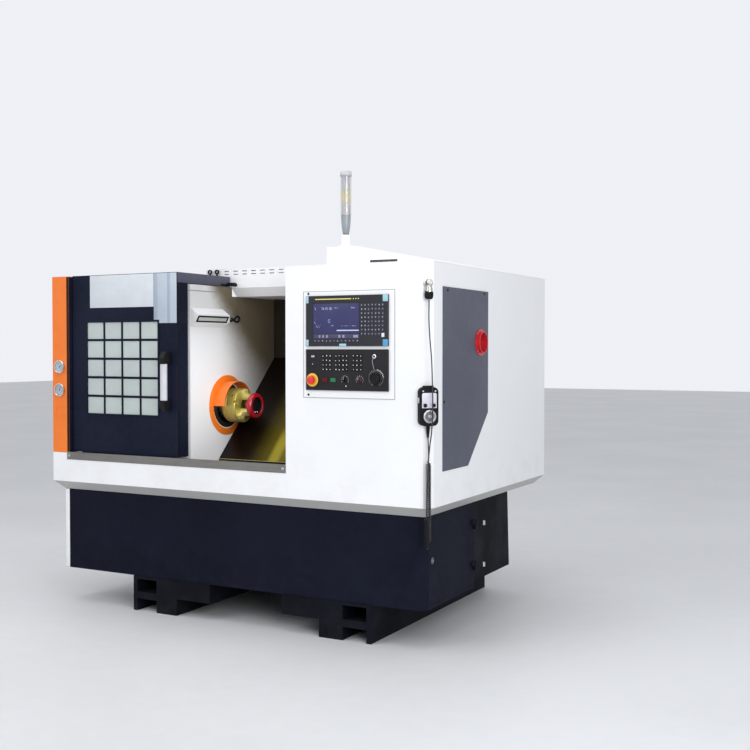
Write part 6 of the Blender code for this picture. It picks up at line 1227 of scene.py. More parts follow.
@dataclass
class PendantCord:
    """The pendant's cord: drop, loop, curly part and lead, as one length."""

    diameter: float = 0.0055
    coil_radius: float = 0.0095
    coil_low: float = 0.5005
    coil_high: float = 0.8585
    turns: int = 40
    axis: tuple[float, float] = (0.0, -0.024)
    drop: tuple[Point, ...] = (
        (0.000, -0.0280, 1.5715), (0.000, -0.0285, 1.550), (-0.003, -0.036, 1.480), (-0.002, -0.046, 1.400),
        (0.003, -0.054, 1.310), (0.005, -0.058, 1.220), (0.006, -0.061, 1.130), (0.005, -0.061, 1.060),
        (0.001, -0.060, 0.990), (-0.006, -0.057, 0.930), (-0.010, -0.053, 0.870), (-0.013, -0.049, 0.780),
        (-0.015, -0.045, 0.690), (-0.016, -0.043, 0.610), (-0.015, -0.041, 0.530), (-0.013, -0.039, 0.492),
        (-0.008, -0.034, 0.475), (-0.003, -0.028, 0.481))
    lead: tuple[Point, ...] = ((0.001, -0.0225, 0.876), (0.001, -0.020, 0.920), (0.000, -0.0173, 0.9650))

    def route(self) -> list[Vector]:
        """Gives the whole route in the row frame."""
        steps = self.turns * 14
        a, b = self.axis
        coil = []
        for i in range(steps + 1):
            share = i / steps
            angle = math.pi + 2 * math.pi * self.turns * share
            reach = self.coil_radius * min(1.0, 0.35 + share * 30, 0.35 + (1 - share) * 30)
            height = self.coil_low + self.diameter / 2 + (
                self.coil_high - self.coil_low - self.diameter) * share
            coil.append(Vector((a + reach * math.cos(angle), b + reach * math.sin(angle), height)))
        down = smooth_path(self.drop, 0.010)
        up = smooth_path((coil[-1], *self.lead), 0.008)
        place = corner_frame()
        return [place @ point for point in (*down, *coil, *up[1:])]

    def build(self, finishes: Finishes) -> None:
        """Builds the cord, its ferrule and its clip."""
        points = self.route()
        length = sum((q - p).length for p, q in zip(points, points[1:]))
        cord = Bench.tube("pendant_cord", points, self.diameter / 2, 4)
        Bench.fit(
            cord, finishes.cord, replaces=("cord_drop", "cord_coil", "cord_lead"), slot="black_plastic")
        place = corner_frame()
        drop = smooth_path(self.drop, 0.010)
        low = min(drop, key=lambda p: abs(p.z - 0.486) + (0 if p.y < -0.036 else 1))
        high = min(drop, key=lambda p: abs(p.z - 0.604))
        way = (high - low).normalized()
        turn = way.to_track_quat("Z", "Y").to_matrix().to_4x4()
        base = place @ Matrix.Translation(low) @ turn
        long = (high - low).length
        sleeve = Bench.turned(
            "cord_ferrule",
            [
                (0.0034, 0), (0.0080, 0), (0.0095, 0.006), (0.0095, long - 0.01), (0.0085, long),
                (0.0034, long)],
            base, 20, closed=False)
        Bench.fit(sleeve, finishes.rubber)
        clip = Bench.turned(
            "cord_clip",
            [(0.0034, long), (0.0105, long), (0.0105, long + 0.009), (0.0034, long + 0.009)], base, 20,
            closed=False)
        Bench.fit(clip, finishes.black)
        self.diameter
        LOG.info("cord length %.3f m", length)


# The machine


@dataclass
class Enclosure:
    """The sheets outside: their coats, screws and trim."""

    sill_screws: tuple[float, ...] = (0.772, 2.1215)
    cover_screws: tuple[tuple[float, float], ...] = ((0.1755, 1.622), (0.606, 1.6225), (0.1385, 1.117))

    def coats(self, finishes: Finishes) -> None:
        """Gives the enclosure's nodes their coats."""
        dress(
            finishes.white, "control_cabinet", "lower_front_panel", "rear_enclosure", "cabinet_roof",
            "chamber_roof", "panel_plate", "signal_lamp_base")
        dress(finishes.inner_white, "work_lamp")
        # The partition darkens to brown towards the back and carries painted shade at its top.
        wall = BackDarkenedWall(
            "partition_paint_dark_to_back", (0.88, 0.885, 0.90), (0.165, 0.135, 0.088), 1.60, (0.28, 0.40),
            (0.20, 0.75))
        dress(wall.make(), "headstock_cover", "partition_wall")
        dress(finishes.slate, "side_cover")
        dress(finishes.orange, "corner_column")
        dress(finishes.sill, "door_sill")
        dress(finishes.navy, "sliding_door")
        dress(finishes.base_coat, "base_cabinet", "base_side_door")
        dress(finishes.casting, "bed_casting")
        dress(finishes.collar, "hose_collar")

    def screws(self, finishes: Finishes) -> None:
        """Sets the screws of sill and side cover."""
        sill = [facing(Facing.FRONT, t, -0.002, 0.788) for t in self.sill_screws]
        Bench.fit(Screws(0.007, 0.003).row("sill_screws", sill), finishes.screw)
        sides = [facing(Facing.RIGHT, -0.0033, u, z) for u, z in self.cover_screws]
        Bench.fit(Screws(0.006, 0.003).row("side_cover_screws", sides), finishes.black)

    def trim(self, finishes: Finishes) -> None:
        """Adds the base's pale strip, lugs, knock-out ring, a seal, a brown strip of painted shade on the
        column's front edge and the sill's end cover.
        """
        Bench.fit(
            Bench.span("base_corner_strip", (2.1635, 2.1905), (0.0425, 0.0448), (0.1815, 0.6035), 0.0006),
            finishes.white)
        lugs = []
        for t in (1.4917, 1.5385):
            lugs.append(
                Bench.span("lug_foot", (t - 0.018, t + 0.018), (0.452, 0.472), (1.7421, 1.7480), 0.001))
            lugs.append(
                Bench.span("lug_stem", (t - 0.004, t + 0.004), (0.458, 0.466), (1.7470, 1.7590), 0.001))
            ring = Bench.ring(
                "lug_ring",
                [(0.007, -0.004), (0.013, -0.004), (0.013, 0.004), (0.007, 0.004)],
                facing(Facing.FRONT, t, 0.462, 1.7700), 20)
            lugs.append(ring)
        Bench.fit(Bench.merge("roof_lugs", lugs), finishes.black)
        Bench.fit(
            Bench.ring(
                "knockout_lip",
                [(0.0335, -0.0004), (0.0362, -0.0004), (0.0362, 0.0006), (0.0335, 0.0006)],
                facing(Facing.FRONT, 2.180, 0.0, 1.014), 40),
            finishes.orange)
        Bench.fit(
            Bench.span("cabinet_seam_strip", (0.7541, 0.7546), (0.0006, 0.010), (0.6515, 0.7665)),
            finishes.charcoal)
        Bench.fit(
            Bench.span("column_side_seal", (2.1183, 2.1191), (0.001, 0.098), (0.806, 1.736), 0.0002),
            finishes.navy)
        # A brown strip of painted shade along the column's front edge.
        Bench.fit(
            Bench.span("column_edge_shade", (2.1191, 2.1345), (-0.0010, -0.0001), (0.8065, 1.736), 0.0002),
            finishes.brown_seal)
        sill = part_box("door_sill")
        left, face = RIGHT - sill[0].x, sill[0].y - FRONT
        Bench.fit(
            Bench.span(
                "sill_end_cover", (left - 0.012, left + 0.0160), (face - 0.0006, -0.0001),
                (sill[0].z, sill[1].z), 0.0003),
            finishes.sill)

    def build(self, finishes: Finishes) -> None:
        """Builds everything of the enclosure."""
        self.coats(finishes)
        self.screws(finishes)
        self.trim(finishes)


@dataclass
class Door:
    """The sliding door's window frame, plates, handle caps, buffer and edge seal."""

    front: float = 0.020
    window: tuple[float, float, float, float] = (1.536, 2.006, 1.017, 1.493)
    plate_wide: tuple[float, float, float, float] = (1.5615, 1.987, 1.570, 1.7385)
    plate_tall: tuple[float, float, float, float] = (1.4145, 1.5600, 1.486, 1.7385)

    def frame(self, finishes: Finishes) -> None:
        """Frames the window with a thin raised rim."""
        t0, t1, z0, z1 = self.window
        face, proud, rim = self.front, 0.003, 0.010
        bars = [
            Bench.span("rim_top", (t0 - rim, t1 + rim), (face - proud, face), (z1, z1 + rim), 0.001),
            Bench.span("rim_low", (t0 - rim, t1 + rim), (face - proud, face), (z0 - rim, z0), 0.001),
            Bench.span("rim_right", (t0 - rim, t0), (face - proud, face), (z0, z1), 0.001),
            Bench.span("rim_left", (t1, t1 + rim), (face - proud, face), (z0, z1), 0.001)]
        Bench.fit(Bench.merge("window_rim", bars), finishes.navy, Body.DOOR)

    def plates(self, finishes: Finishes) -> None:
        """Sets the two bare plates and the painted shade bands on the tall one."""
        for name, (t0, t1, z0, z1), finish in (
            ("wide_bare_plate", self.plate_wide, finishes.pale),
            ("tall_bare_plate", self.plate_tall, finishes.blue_plate)
        ):
            Bench.fit(
                Bench.span(name, (t0, t1), (self.front - 0.0009, self.front - 0.0001), (z0, z1), 0.0003),
                finish, Body.DOOR)
        # Darker vertical bands on the tall plate: painted shade.
        shade_bands = [
            Bench.span(
                "band", span, (self.front - 0.0012, self.front - 0.0008), self.plate_tall[2:], 0.0001)
            for span in ((1.4545, 1.4735), (1.5357, 1.5598))]
        Bench.fit(Bench.merge("tall_plate_shade_bands", shade_bands), finishes.blue_band, Body.DOOR)

    def handle(self, finishes: Finishes) -> None:
        """Dresses the handle and adds its pale grip sleeve."""
        dress(finishes.black, "door_handle")
        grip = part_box("handle_grip")
        centre = (grip[0] + grip[1]) / 2
        t, u = RIGHT - centre.x, centre.y - FRONT
        low, tall = grip[0].z, grip[1].z - grip[0].z
        place = facing(Facing.UP, t, u, low)
        r = 0.0177
        profile = [
            (0.0084, 0), (r - 0.002, 0), (r, 0.002), (r, tall - 0.002), (r - 0.002, tall), (0.0084, tall),
            (0.0084, 0)]
        Bench.fit(
            Bench.turned("pale_handle_sleeve", profile, place, 40, False), finishes.grip, Body.DOOR,
            ("handle_grip",), "pale_grip")

    def buffer(self, finishes: Finishes) -> None:
        """Adds the roller on the door's upper arm and the seal and lip on its leading edge."""
        arm = Bench.span("buffer_bar", (1.350, 1.4085), (0.434, 0.452), (1.6900, 1.7000), 0.002)
        roller = Bench.turned(
            "buffer_roller",
            [(0.008, 0), (0.0125, 0.0015), (0.0125, 0.0165), (0.008, 0.018)],
            facing(Facing.UP, 1.362, 0.443, 1.6870), 24)
        front = Bench.span("buffer_front", (1.4066, 1.4083), (0.385, 0.452), (1.6900, 1.7000), 0.0006)
        Bench.fit(Bench.merge("door_buffer", [arm, roller, front]), finishes.black, Body.DOOR)
        Bench.fit(
            Bench.span("door_edge_seal", (1.4092, 1.4098), (0.024, 0.034), (0.822, 1.690), 0.0002),
            finishes.rubber, Body.DOOR)
        Bench.fit(
            Bench.span("door_top_lip", (1.4093, 1.4100), (0.0205, 0.466), (1.6895, 1.7400), 0.0002),
            finishes.slate, Body.DOOR)

    def build(self, finishes: Finishes) -> None:
        """Builds everything of the door."""
        dress(finishes.window, "window_glass")
        self.frame(finishes)
        self.plates(finishes)
        self.handle(finishes)
        self.buffer(finishes)


@dataclass
class Chuck:
    """The chuck, its jaws, the ring that they grip and the orange guard."""

    setback: float = 0.427
    height: float = 1.056
    face: float = 1.290
    back: float = 1.3715
    radius: float = 0.090
    bore: float = 0.0265
    first_angle: float = 75.0

    def axis(self, t: float = 0.0) -> Matrix:
        """Gives the placing on the spindle axis, facing right."""
        return facing(Facing.RIGHT, t, self.setback, self.height)

    def body(self, finishes: Finishes) -> None:
        """Turns the chuck, and cuts its jaw slots, T-slots and key sockets."""
        r, long = self.radius, self.back - self.face
        edge = 0.003
        profile = [
            (self.bore, 0), (r - edge, 0), (r, edge), (r, long * 0.30), (r - 0.0015, long * 0.32),
            (r - 0.0015, long * 0.36), (r, long * 0.38), (r, long - edge), (r - edge, long), (0.062, long),
            (0.062, long - 0.0012), (0.0595, long - 0.0012), (0.0595, long), (self.bore + 0.004, long),
            (self.bore, long - 0.004), (self.bore, 0)]
        chuck = Bench.turned("three_jaw_chuck", profile, self.axis(self.back), 96, False)
        tools = []
        for number in range(3):
            turn = self.axis(self.face) @ spin(self.first_angle + 120 * number)
            tools.append(
                Bench.block(
                    "slot", (self.bore + 0.003, -0.0114, -0.0145), (r + 0.01, 0.0114, 0.01), place=turn))
            side = turn @ spin(60)
            tools.append(
                Bench.block("tee", (r - 0.028, -0.007, -0.0105), (r + 0.01, 0.007, 0.01), place=side))
            socket = turn @ spin(38) @ shift(r, 0, -0.030)
            hole = Bench.turned("socket", [(0.0075, -0.018), (0.0075, 0.01)], socket @ spin(90, "Y"), 20)
            tools.append(hole)
        Bench.cut(chuck, *tools)
        Bench.fit(chuck, finishes.chuck, Body.SPINDLE, ("chuck_body",), "oiled_chuck_steel")

    def jaws(self, finishes: Finishes) -> None:
        """Makes the stepped jaws with their top steps, screw bores and screws."""
        for number, body in enumerate((Body.JAW_1, Body.JAW_2, Body.JAW_3)):
            turn = self.axis(self.face) @ spin(self.first_angle + 120 * number)
            side = turn @ spin(90, "X")
            outline = [
                (0.0362, 0.0004), (0.087, 0.0004), (0.087, 0.023), (0.084, 0.026), (0.0612, 0.026),
                (0.0600, 0.0272), (0.0600, 0.052), (0.057, 0.0548), (0.0375, 0.0548), (0.0362, 0.0535)]
            block = Bench.sheet(f"stepped_jaw_{number + 1}", outline, 0.0335, side, 0.0012)
            foot = Bench.block("jaw_foot", (0.0362, -0.011, -0.0138), (0.0815, 0.011, 0.004), 0.0008, turn)
            jaw = Bench.merge(f"stepped_jaw_{number + 1}", [block, foot])
            bores = []
            for reach, depth in ((0.0735, 0.026), (0.0480, 0.0548)):
                spot = turn @ shift(reach, 0, depth)
                bores.append(Bench.turned("bore", [(0.0062, -0.008), (0.0062, 0.004)], spot, 20))
            Bench.cut(jaw, *bores)
            Bench.fit(jaw, finishes.brass_jaw, body, (f"jaw_{number + 1}",), "jaw_steel")
            places = [turn @ shift(0.0735, 0, 0.0175), turn @ shift(0.0480, 0, 0.0463)]
            Bench.fit(
                CapScrews(0.0054, 0.006).row(f"jaw_{number + 1}_screws", places), finishes.steel, body)

    def ring(self, finishes: Finishes) -> None:
        """Turns the glossy red ring in the jaws, with a black lining of painted shade in its bore."""
        front = 0.055 + 0.0003
        profile = [
            (0.030, front + 0.006), (0.0445, front + 0.006), (0.0445, front + 0.0255),
            (0.0465, front + 0.0288)]
        for i in range(9):
            angle = math.radians(90 - 90 * i / 8)
            profile.append((0.0545 + 0.012 * math.cos(angle), front + 0.018 + 0.0118 * math.sin(angle)))
        profile += [
            (0.0665, front + 0.006), (0.0640, front + 0.0015), (0.0600, front), (0.0357, front),
            (0.0357, front - 0.025), (0.030, front - 0.026), (0.030, front + 0.006)]
        Bench.fit(
            Bench.turned("red_gripped_ring", profile, self.axis(self.face), 72, False), finishes.ring_red,
            Body.SPINDLE, ("gripped_ring",), "red_ring")
        # A black lining in the ring's bore: painted shade.
        Bench.fit(
            Bench.turned(
                "ring_bore_shade",
                [
                    (0.0298, front - 0.024), (0.0298, front + 0.0062), (0.0443, front + 0.0062),
                    (0.0443, front + 0.0245), (0.0432, front + 0.0245), (0.0432, front + 0.0080)],
                self.axis(self.face), 48),
            finishes.rubber, Body.SPINDLE)
        stubs = [
            Bench.turned(
                "stub", [(0.0050, 0), (0.0050, 0.013), (0.0030, 0.015)],
                self.axis(self.face) @ shift(0.034, b, front + 0.0082), 16)
            for b in (-0.010, 0.010)]
        Bench.fit(Bench.merge("ring_steel_stubs", stubs), finishes.chrome, Body.SPINDLE)

    def guard(self, finishes: Finishes) -> None:
        """Makes the smooth orange flange and hood with bolts."""
        back = 1.4014
        place = self.axis(back)
        flange = Bench.ring(
            "guard_flange",
            [(0.1252, 0), (0.1592, 0), (0.1592, 0.0026), (0.1586, 0.003), (0.1252, 0.003)], place, 120)
        count = 48
        outline = [
            (0.128 * math.cos(math.pi * i / count), 0.128 * math.sin(math.pi * i / count))
            for i in range(count + 1)]
        outline += [
            (0.1252 * math.cos(math.pi - math.pi * i / count), 0.1252 * math.sin(math.pi * i / count))
            for i in range(count + 1)]
        turn = Matrix.Translation(at(back - 0.0375, self.setback, self.height)) @ Matrix(
            ((0, 0, 1, 0), (1, 0, 0, 0), (0, 1, 0, 0), (0, 0, 0, 1)))
        hood = Bench.smooth(Bench.sheet("guard_hood", outline, 0.0750, turn))
        Bench.fit(
            Bench.merge("orange_chuck_guard", [flange, hood]), finishes.orange, replaces=("chuck_guard",),
            slot="orange_paint")
        bolts = []
        for i in range(6):
            angle = math.radians(30 + 60 * i)
            spot = shift(0.144 * math.cos(angle), 0.144 * math.sin(angle), 0.003)
            bolts.append(place @ spot)
        Bench.fit(Screws(0.0045, 0.002).row("guard_screws", bolts), finishes.orange)
        Bench.fit(
            Bench.ring(
                "guard_shadow_ring", [(0.0935, 0), (0.1195, 0), (0.1195, 0.002), (0.0935, 0.002)],
                self.axis(back + 0.001), 72),
            finishes.dark_wall)

    def build(self, finishes: Finishes) -> None:
        """Builds the chuck and what is round it."""
        self.body(finishes)
        self.jaws(finishes)
        self.ring(finishes)
        self.guard(finishes)


@dataclass
class WorkSpace:
    """Film on the slanted guard, the work lamp and the machine inside."""

    lamp_face: float = 1.3557

    def coats(self, finishes: Finishes) -> None:
        """Gives the inner nodes their finishes."""
        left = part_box("way_cover_fixed")
        dress(
            OilFilm(
                "filmed_guard_steel", (0.006, 0.003, 0.002), (0.105, 0.080, 0.001), (0.32, 0.27, 0.025),
                left[0].x + 0.15, left[0].x + 0.37, RIGHT - 1.06).make(),
            "way_cover_fixed", "way_cover_moving")
        dress(finishes.dark_wall, "rear_inner_wall")
        dress(finishes.casting, "headstock")
        dress(finishes.slate, "spindle_motor")
        dress(finishes.rubber, "drive_belt")
        dress(finishes.steel, "spindle", "motor_pulley", "z_ball_screw", "turret_disc")
        dress(finishes.iron, "saddle", "cross_slide")
        dress(finishes.base_coat, "coolant_tank")

    def lamp(self, finishes: Finishes) -> None:
        """Builds the lamp's glass, black frame and curled cable."""
        face = self.lamp_face
        flat = facing(Facing.RIGHT, face - 0.0010, 0.0, 0.0)
        outer = [(-z, u) for u, z in ((0.120, 1.5240), (0.381, 1.5240), (0.357, 1.4910), (0.100, 1.4910))]
        inner = [
            (-z, u)
            for u, z in ((0.1249, 1.5165), (0.3656, 1.5165), (0.3526, 1.4985), (0.1139, 1.4985))]
        Bench.fit(Bench.sheet("lamp_glass", inner, 0.0012, flat), finishes.lamp_glass)
        Bench.fit(
            Bench.cut(
                Bench.sheet("lamp_frame", outer, 0.0040, flat), Bench.sheet("hole", inner, 0.02, flat)),
            finishes.rubber)
        points = [
            at(t, u, z)
            for t, u, z in (
                (1.378, 0.381, 1.515), (1.376, 0.400, 1.510), (1.374, 0.425, 1.503), (1.373, 0.450, 1.512),
                (1.372, 0.475, 1.528), (1.372, 0.497, 1.524), (1.374, 0.500, 1.507), (1.378, 0.482, 1.500),
                (1.384, 0.463, 1.508), (1.392, 0.452, 1.520))]
        Bench.fit(Bench.tube("lamp_cable", smooth_path(points, 0.004), 0.0055, 3), finishes.rubber)

    def edges(self, finishes: Finishes) -> None:
        """Adds the bright line on the guard's lower edge, its black lip, a screw on the partition and a
        thin line of painted shadow under a ledge.
        """
        Bench.fit(
            Bench.span("guard_edge_line", (0.836, 1.3978), (0.3464, 0.3478), (0.7742, 0.7764), 0.0004),
            finishes.brass_jaw)
        Bench.fit(
            Bench.span("guard_black_lip", (0.836, 1.3978), (0.3464, 0.3478), (0.752, 0.7740), 0.0004),
            finishes.rubber)
        Bench.fit(
            Screws(0.004, 0.002).row("partition_screw", [facing(Facing.RIGHT, 1.4018, 0.30, 1.641)]),
            finishes.screw)
        # A thin grey line on the partition: painted shadow under a ledge.
        Bench.fit(
            Bench.span("partition_ledge_shadow", (1.4011, 1.4017), (0.095, 0.345), (1.6515, 1.6555), 0.0002),
            finishes.joint)

    def build(self, finishes: Finishes) -> None:
        """Builds everything of the work space."""
        self.coats(finishes)
        self.lamp(finishes)
        self.edges(finishes)


@dataclass
class Gauges:
    """The two pressure gauges on the orange column."""

    t: float = 2.180
    heights: tuple[float, float] = (1.260, 1.137)
    needles: tuple[float, float] = (-58.0, -20.0)

    def build(self, finishes: Finishes) -> None:
        """Builds both gauges with rim, face, needle and glass."""
        for name, z, turn in zip(("upper", "lower"), self.heights, self.needles):
            place = facing(Facing.FRONT, self.t, 0.0, z)
            Bench.fit(
                Bench.turned(
                    f"gauge_{name}_case",
                    [
                        (0.0290, -0.0399), (0.0290, 0.0004), (0.0349, 0.0004), (0.0349, 0.0105),
                        (0.0342, 0.0132), (0.0325, 0.0139), (0.0308, 0.0125), (0.0302, 0.0070)],
                    place, 56),
                finishes.chrome, replaces=(f"gauge_{name}",), slot="ground_steel")
            centre = at(self.t, -0.0075, z)
            Bench.fit(
                Bench.turned(
                    f"gauge_{name}_face", [(0.0300, 0.0071), (0.0300, 0.0076), (0.0299, 0.0078)], place, 48
                ),
                DialFace(f"gauge_{name}_dial", tuple(centre), 0.030).make())
            tilt = place @ spin(turn) @ shift(0, 0, 0.0090)
            needle = Bench.sheet(
                f"gauge_{name}_needle",
                [(-0.0010, -0.006), (0.0010, -0.006), (0.0006, 0.022), (-0.0006, 0.022)], 0.0006, tilt)
            hub = Bench.turned(
                "needle_hub", [(0.0026, -0.0011), (0.0026, 0.0008), (0.0018, 0.0014)], tilt, 18)
            Bench.fit(Bench.merge(f"gauge_{name}_needle", [needle, hub]), finishes.rubber)
            Bench.fit(
                Bench.turned(f"gauge_{name}_glass", [(0.0303, 0.0112), (0.0303, 0.0120)], place, 48),
                finishes.dial_glass)


@dataclass
class SignalLamp:
    """The signal lamp's ring, housing, tube, insert and cap."""

    t: float = 0.500
    u: float = 0.130
    foot: float = 1.8303

    def build(self, finishes: Finishes) -> None:
        """Builds the lamp from foot to cap."""
        place = facing(Facing.UP, self.t, self.u, self.foot)
        Bench.fit(
            Bench.turned(
                "lamp_foot",
                [
                    (0.0360, 0), (0.0360, 0.006), (0.0300, 0.010), (0.0235, 0.012), (0.0228, 0.014),
                    (0.0228, 0.058), (0.0215, 0.060)],
                place, 48),
            finishes.white, replaces=("signal_lamp_base",), slot="white_enclosure_paint")
        Bench.fit(
            Bench.turned("lamp_ring", [(0.0145, 0.0601), (0.0145, 0.0640)], place, 48), finishes.rubber)
        Bench.fit(
            Bench.turned(
                "lamp_housing",
                [
                    (0.0140, 0.0642), (0.0155, 0.068), (0.0205, 0.100), (0.0228, 0.135), (0.0236, 0.150),
                    (0.0236, 0.1520)],
                place, 48),
            finishes.lamp_grey)
        Bench.fit(
            Bench.ring(
                "lamp_tube",
                [(0.0226, 0.1523), (0.0260, 0.1523), (0.0260, 0.3320), (0.0226, 0.3320)], place, 48),
            finishes.lens, replaces=("signal_lamp_lens",), slot="clear_lens")
        core = [
            Bench.turned("core", [(0.0208, low), (0.0208, high)], place, 32)
            for low, high in ((0.1525, 0.2070), (0.2675, 0.3318))]
        Bench.fit(Bench.merge("lamp_insert", core), finishes.core)
        Bench.fit(
            Bench.turned(
                "lamp_tier",
                [(0.0200, 0.2075), (0.0212, 0.2085), (0.0212, 0.2660), (0.0200, 0.2670)], place, 32),
            finishes.cream)
        Bench.fit(
            Bench.turned(
                "lamp_cap",
                [
                    (0.0268, 0.3323), (0.0278, 0.3340), (0.0278, 0.3500), (0.0262, 0.3560),
                    (0.0215, 0.3595), (0.0120, 0.3599)],
                place, 48),
            finishes.lamp_cap)
        Bench.fit(
            Bench.turned(
                "lamp_cap_line",
                [(0.0279, 0.3345), (0.0281, 0.3350), (0.0281, 0.3370), (0.0279, 0.3375)], place, 48),
            finishes.lamp_grey)


@dataclass
class OperatorPanel:
    """The operator panel's skins, screen, caps, knobs and marks."""

    face: float = UNIT_FACE
    screen: tuple[float, float, float, float] = (0.352, 0.596, 1.424, 1.565)

    def skins(self, finishes: Finishes) -> None:
        """Gives both units their keyed skins and the screen its light."""
        proud = FRONT + self.face - 0.0007
        dress(
            KeyedPanel("display_skin", (0.028, 0.029, 0.036), (0.050, 0.052, 0.075), proud).make(),
            "display_unit")
        dress(
            KeyedPanel("keypad_skin", (0.016, 0.015, 0.017), (0.006, 0.006, 0.007), proud).make(),
            "keypad_unit")
        t0, t1, z0, z1 = self.screen
        low, high = at(t1, 0, z0), at(t0, 0, z1)
        Bench.fit(
            Bench.span(
                "display_screen", (t0 + 0.0006, t1 - 0.0006), (self.face + 0.0012, self.face + 0.0028),
                (z0 + 0.0006, z1 - 0.0006), 0.0003),
            ScreenLight(
                "lit_screen", (0.045, 0.045, 0.125), (0.55, 0.60, 0.80), tuple(low), tuple(high)).make())

    def legends(self, finishes: Finishes) -> None:
        """Sets a small plain mark on every key, at the keys' centres."""
        chance = random.Random(11)
        grids = (
            (
                "display_key_marks",
                ((0.223, 0.348, 7, 1.417, 1.566, 8), (0.352, 0.596, 12, 1.388, 1.402, 1)), finishes.lilac,
                0.8),
            (
                "pad_key_marks",
                (
                    (0.496, 0.551, 3, 1.254, 1.337, 4), (0.408, 0.484, 4, 1.254, 1.337, 4),
                    (0.334, 0.392, 3, 1.254, 1.337, 4)),
                finishes.mark, 1.0))
        for name, groups, finish, size in grids:
            places = []
            for t0, t1, columns, z0, z1, rows in groups:
                wide, tall = (t1 - t0) / columns, (z1 - z0) / rows
                for i in range(columns):
                    for j in range(rows):
                        t = t0 + (i + 0.36) * wide + chance.uniform(-0.0012, 0.0012)
                        z = z0 + (j + 0.36) * tall + chance.uniform(-0.0012, 0.0012)
                        scale = Matrix.Diagonal(
                            (
                                size * chance.uniform(0.0022, 0.0044),
                                size * chance.uniform(0.0030, 0.0058), 0.0003, 1.0))
                        places.append(facing(Facing.FRONT, t, self.face - 0.0016, z) @ scale)
            mark = Bench.block("mark", (-0.5, -0.5, -0.5), (0.5, 0.5, 0.5))
            Bench.fit(Bench.copies(name, mark, places), finish)

    def strips(self, finishes: Finishes) -> None:
        """Adds the yellow strip, film corners, white cap and screws."""
        face = (self.face - 0.0006, self.face - 0.0001)
        strips = [
            Bench.span("strip", span, face, (1.5815, 1.5860), 0.0002)
            for span in ((0.392, 0.583), (0.377, 0.383), (0.364, 0.370), (0.351, 0.357))]
        Bench.fit(Bench.merge("yellow_strip", strips), finishes.pale_yellow)
        Bench.fit(
            Bench.span("soft_key_strip", (0.352, 0.590), face, (1.4035, 1.4225), 0.0002),
            finishes.soft_strip)
        fields = [
            Bench.span("field", span, (self.face - 0.0009, self.face - 0.0005), (1.4070, 1.4190), 0.0001)
            for span in (
                (0.5547, 0.5632), (0.5355, 0.5440), (0.5142, 0.5248), (0.4480, 0.4587), (0.4267, 0.4374),
                (0.3560, 0.3804))]
        Bench.fit(Bench.merge("soft_key_fields", fields), finishes.soft_mark)
        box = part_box("panel_plate")
        t0, t1, front = RIGHT - box[1].x, RIGHT - box[0].x, box[0].y - FRONT
        depth, wide = (front - 0.0003, front + 0.0005), 0.0022
        rims = [
            Bench.span("rim", (t0, t1), depth, (box[1].z - wide, box[1].z)),
            Bench.span("rim", (t0, t1), depth, (box[0].z, box[0].z + wide)),
            Bench.span("rim", (t0, t0 + wide), depth, (box[0].z, box[1].z)),
            Bench.span("rim", (t1 - wide, t1), depth, (box[0].z, box[1].z))]
        Bench.fit(Bench.merge("panel_plate_rim", rims), finishes.joint)
        spots = (
            (0.6255, 1.583, 0.013, 0.032), (0.2165, 1.584, 0.026, 0.030), (0.6255, 1.384, 0.013, 0.028),
            (0.436, 1.3735, 0.036, 0.012))
        patches = [
            Bench.span(
                "film_patch", (t - w / 2, t + w / 2), (self.face - 0.0005, self.face - 0.0001),
                (z - h / 2, z + h / 2), 0.0001)
            for t, z, w, h in spots]
        Bench.fit(Bench.merge("film_patches", patches), finishes.tape)
        Bench.fit(
            Bench.span("blue_film_patch", (0.2035, 0.2295), face, (1.3685, 1.3985), 0.0001),
            finishes.blue_tape)
        Bench.fit(
            Bench.span(
                "white_port_cover", (0.2205, 0.2345), (self.face - 0.0035, self.face - 0.0002),
                (1.409, 1.427), 0.001),
            finishes.mark)
        corners = [facing(Facing.FRONT, 0.625, -0.0033, z) for z in (1.143, 1.6115)]
        Bench.fit(Screws(0.0055, 0.002).row("panel_plate_screws", corners), finishes.rubber)

    def stop(self, finishes: Finishes) -> None:
        """Builds the emergency stop's yellow collar and red mushroom."""
        t, z = 0.596, 1.212
        place = facing(Facing.FRONT, t, self.face, z)
        Bench.fit(
            Bench.ring(
                "stop_yellow_collar",
                [
                    (0.0120, 0.0041), (0.0310, 0.0041), (0.0310, 0.0052), (0.0290, 0.0060),
                    (0.0140, 0.0060), (0.0120, 0.0055)],
                place, 56),
            finishes.yellow)
        Bench.fit(
            Bench.turned(
                "stop_mushroom",
                [
                    (0.0105, -0.0003), (0.0105, 0.0112), (0.0185, 0.0125), (0.0200, 0.0145),
                    (0.0198, 0.0200), (0.0180, 0.0240), (0.0140, 0.0255), (0.0060, 0.0259)],
                place, 48),
            finishes.red, Body.STOP, ("emergency_stop",), "red_button")

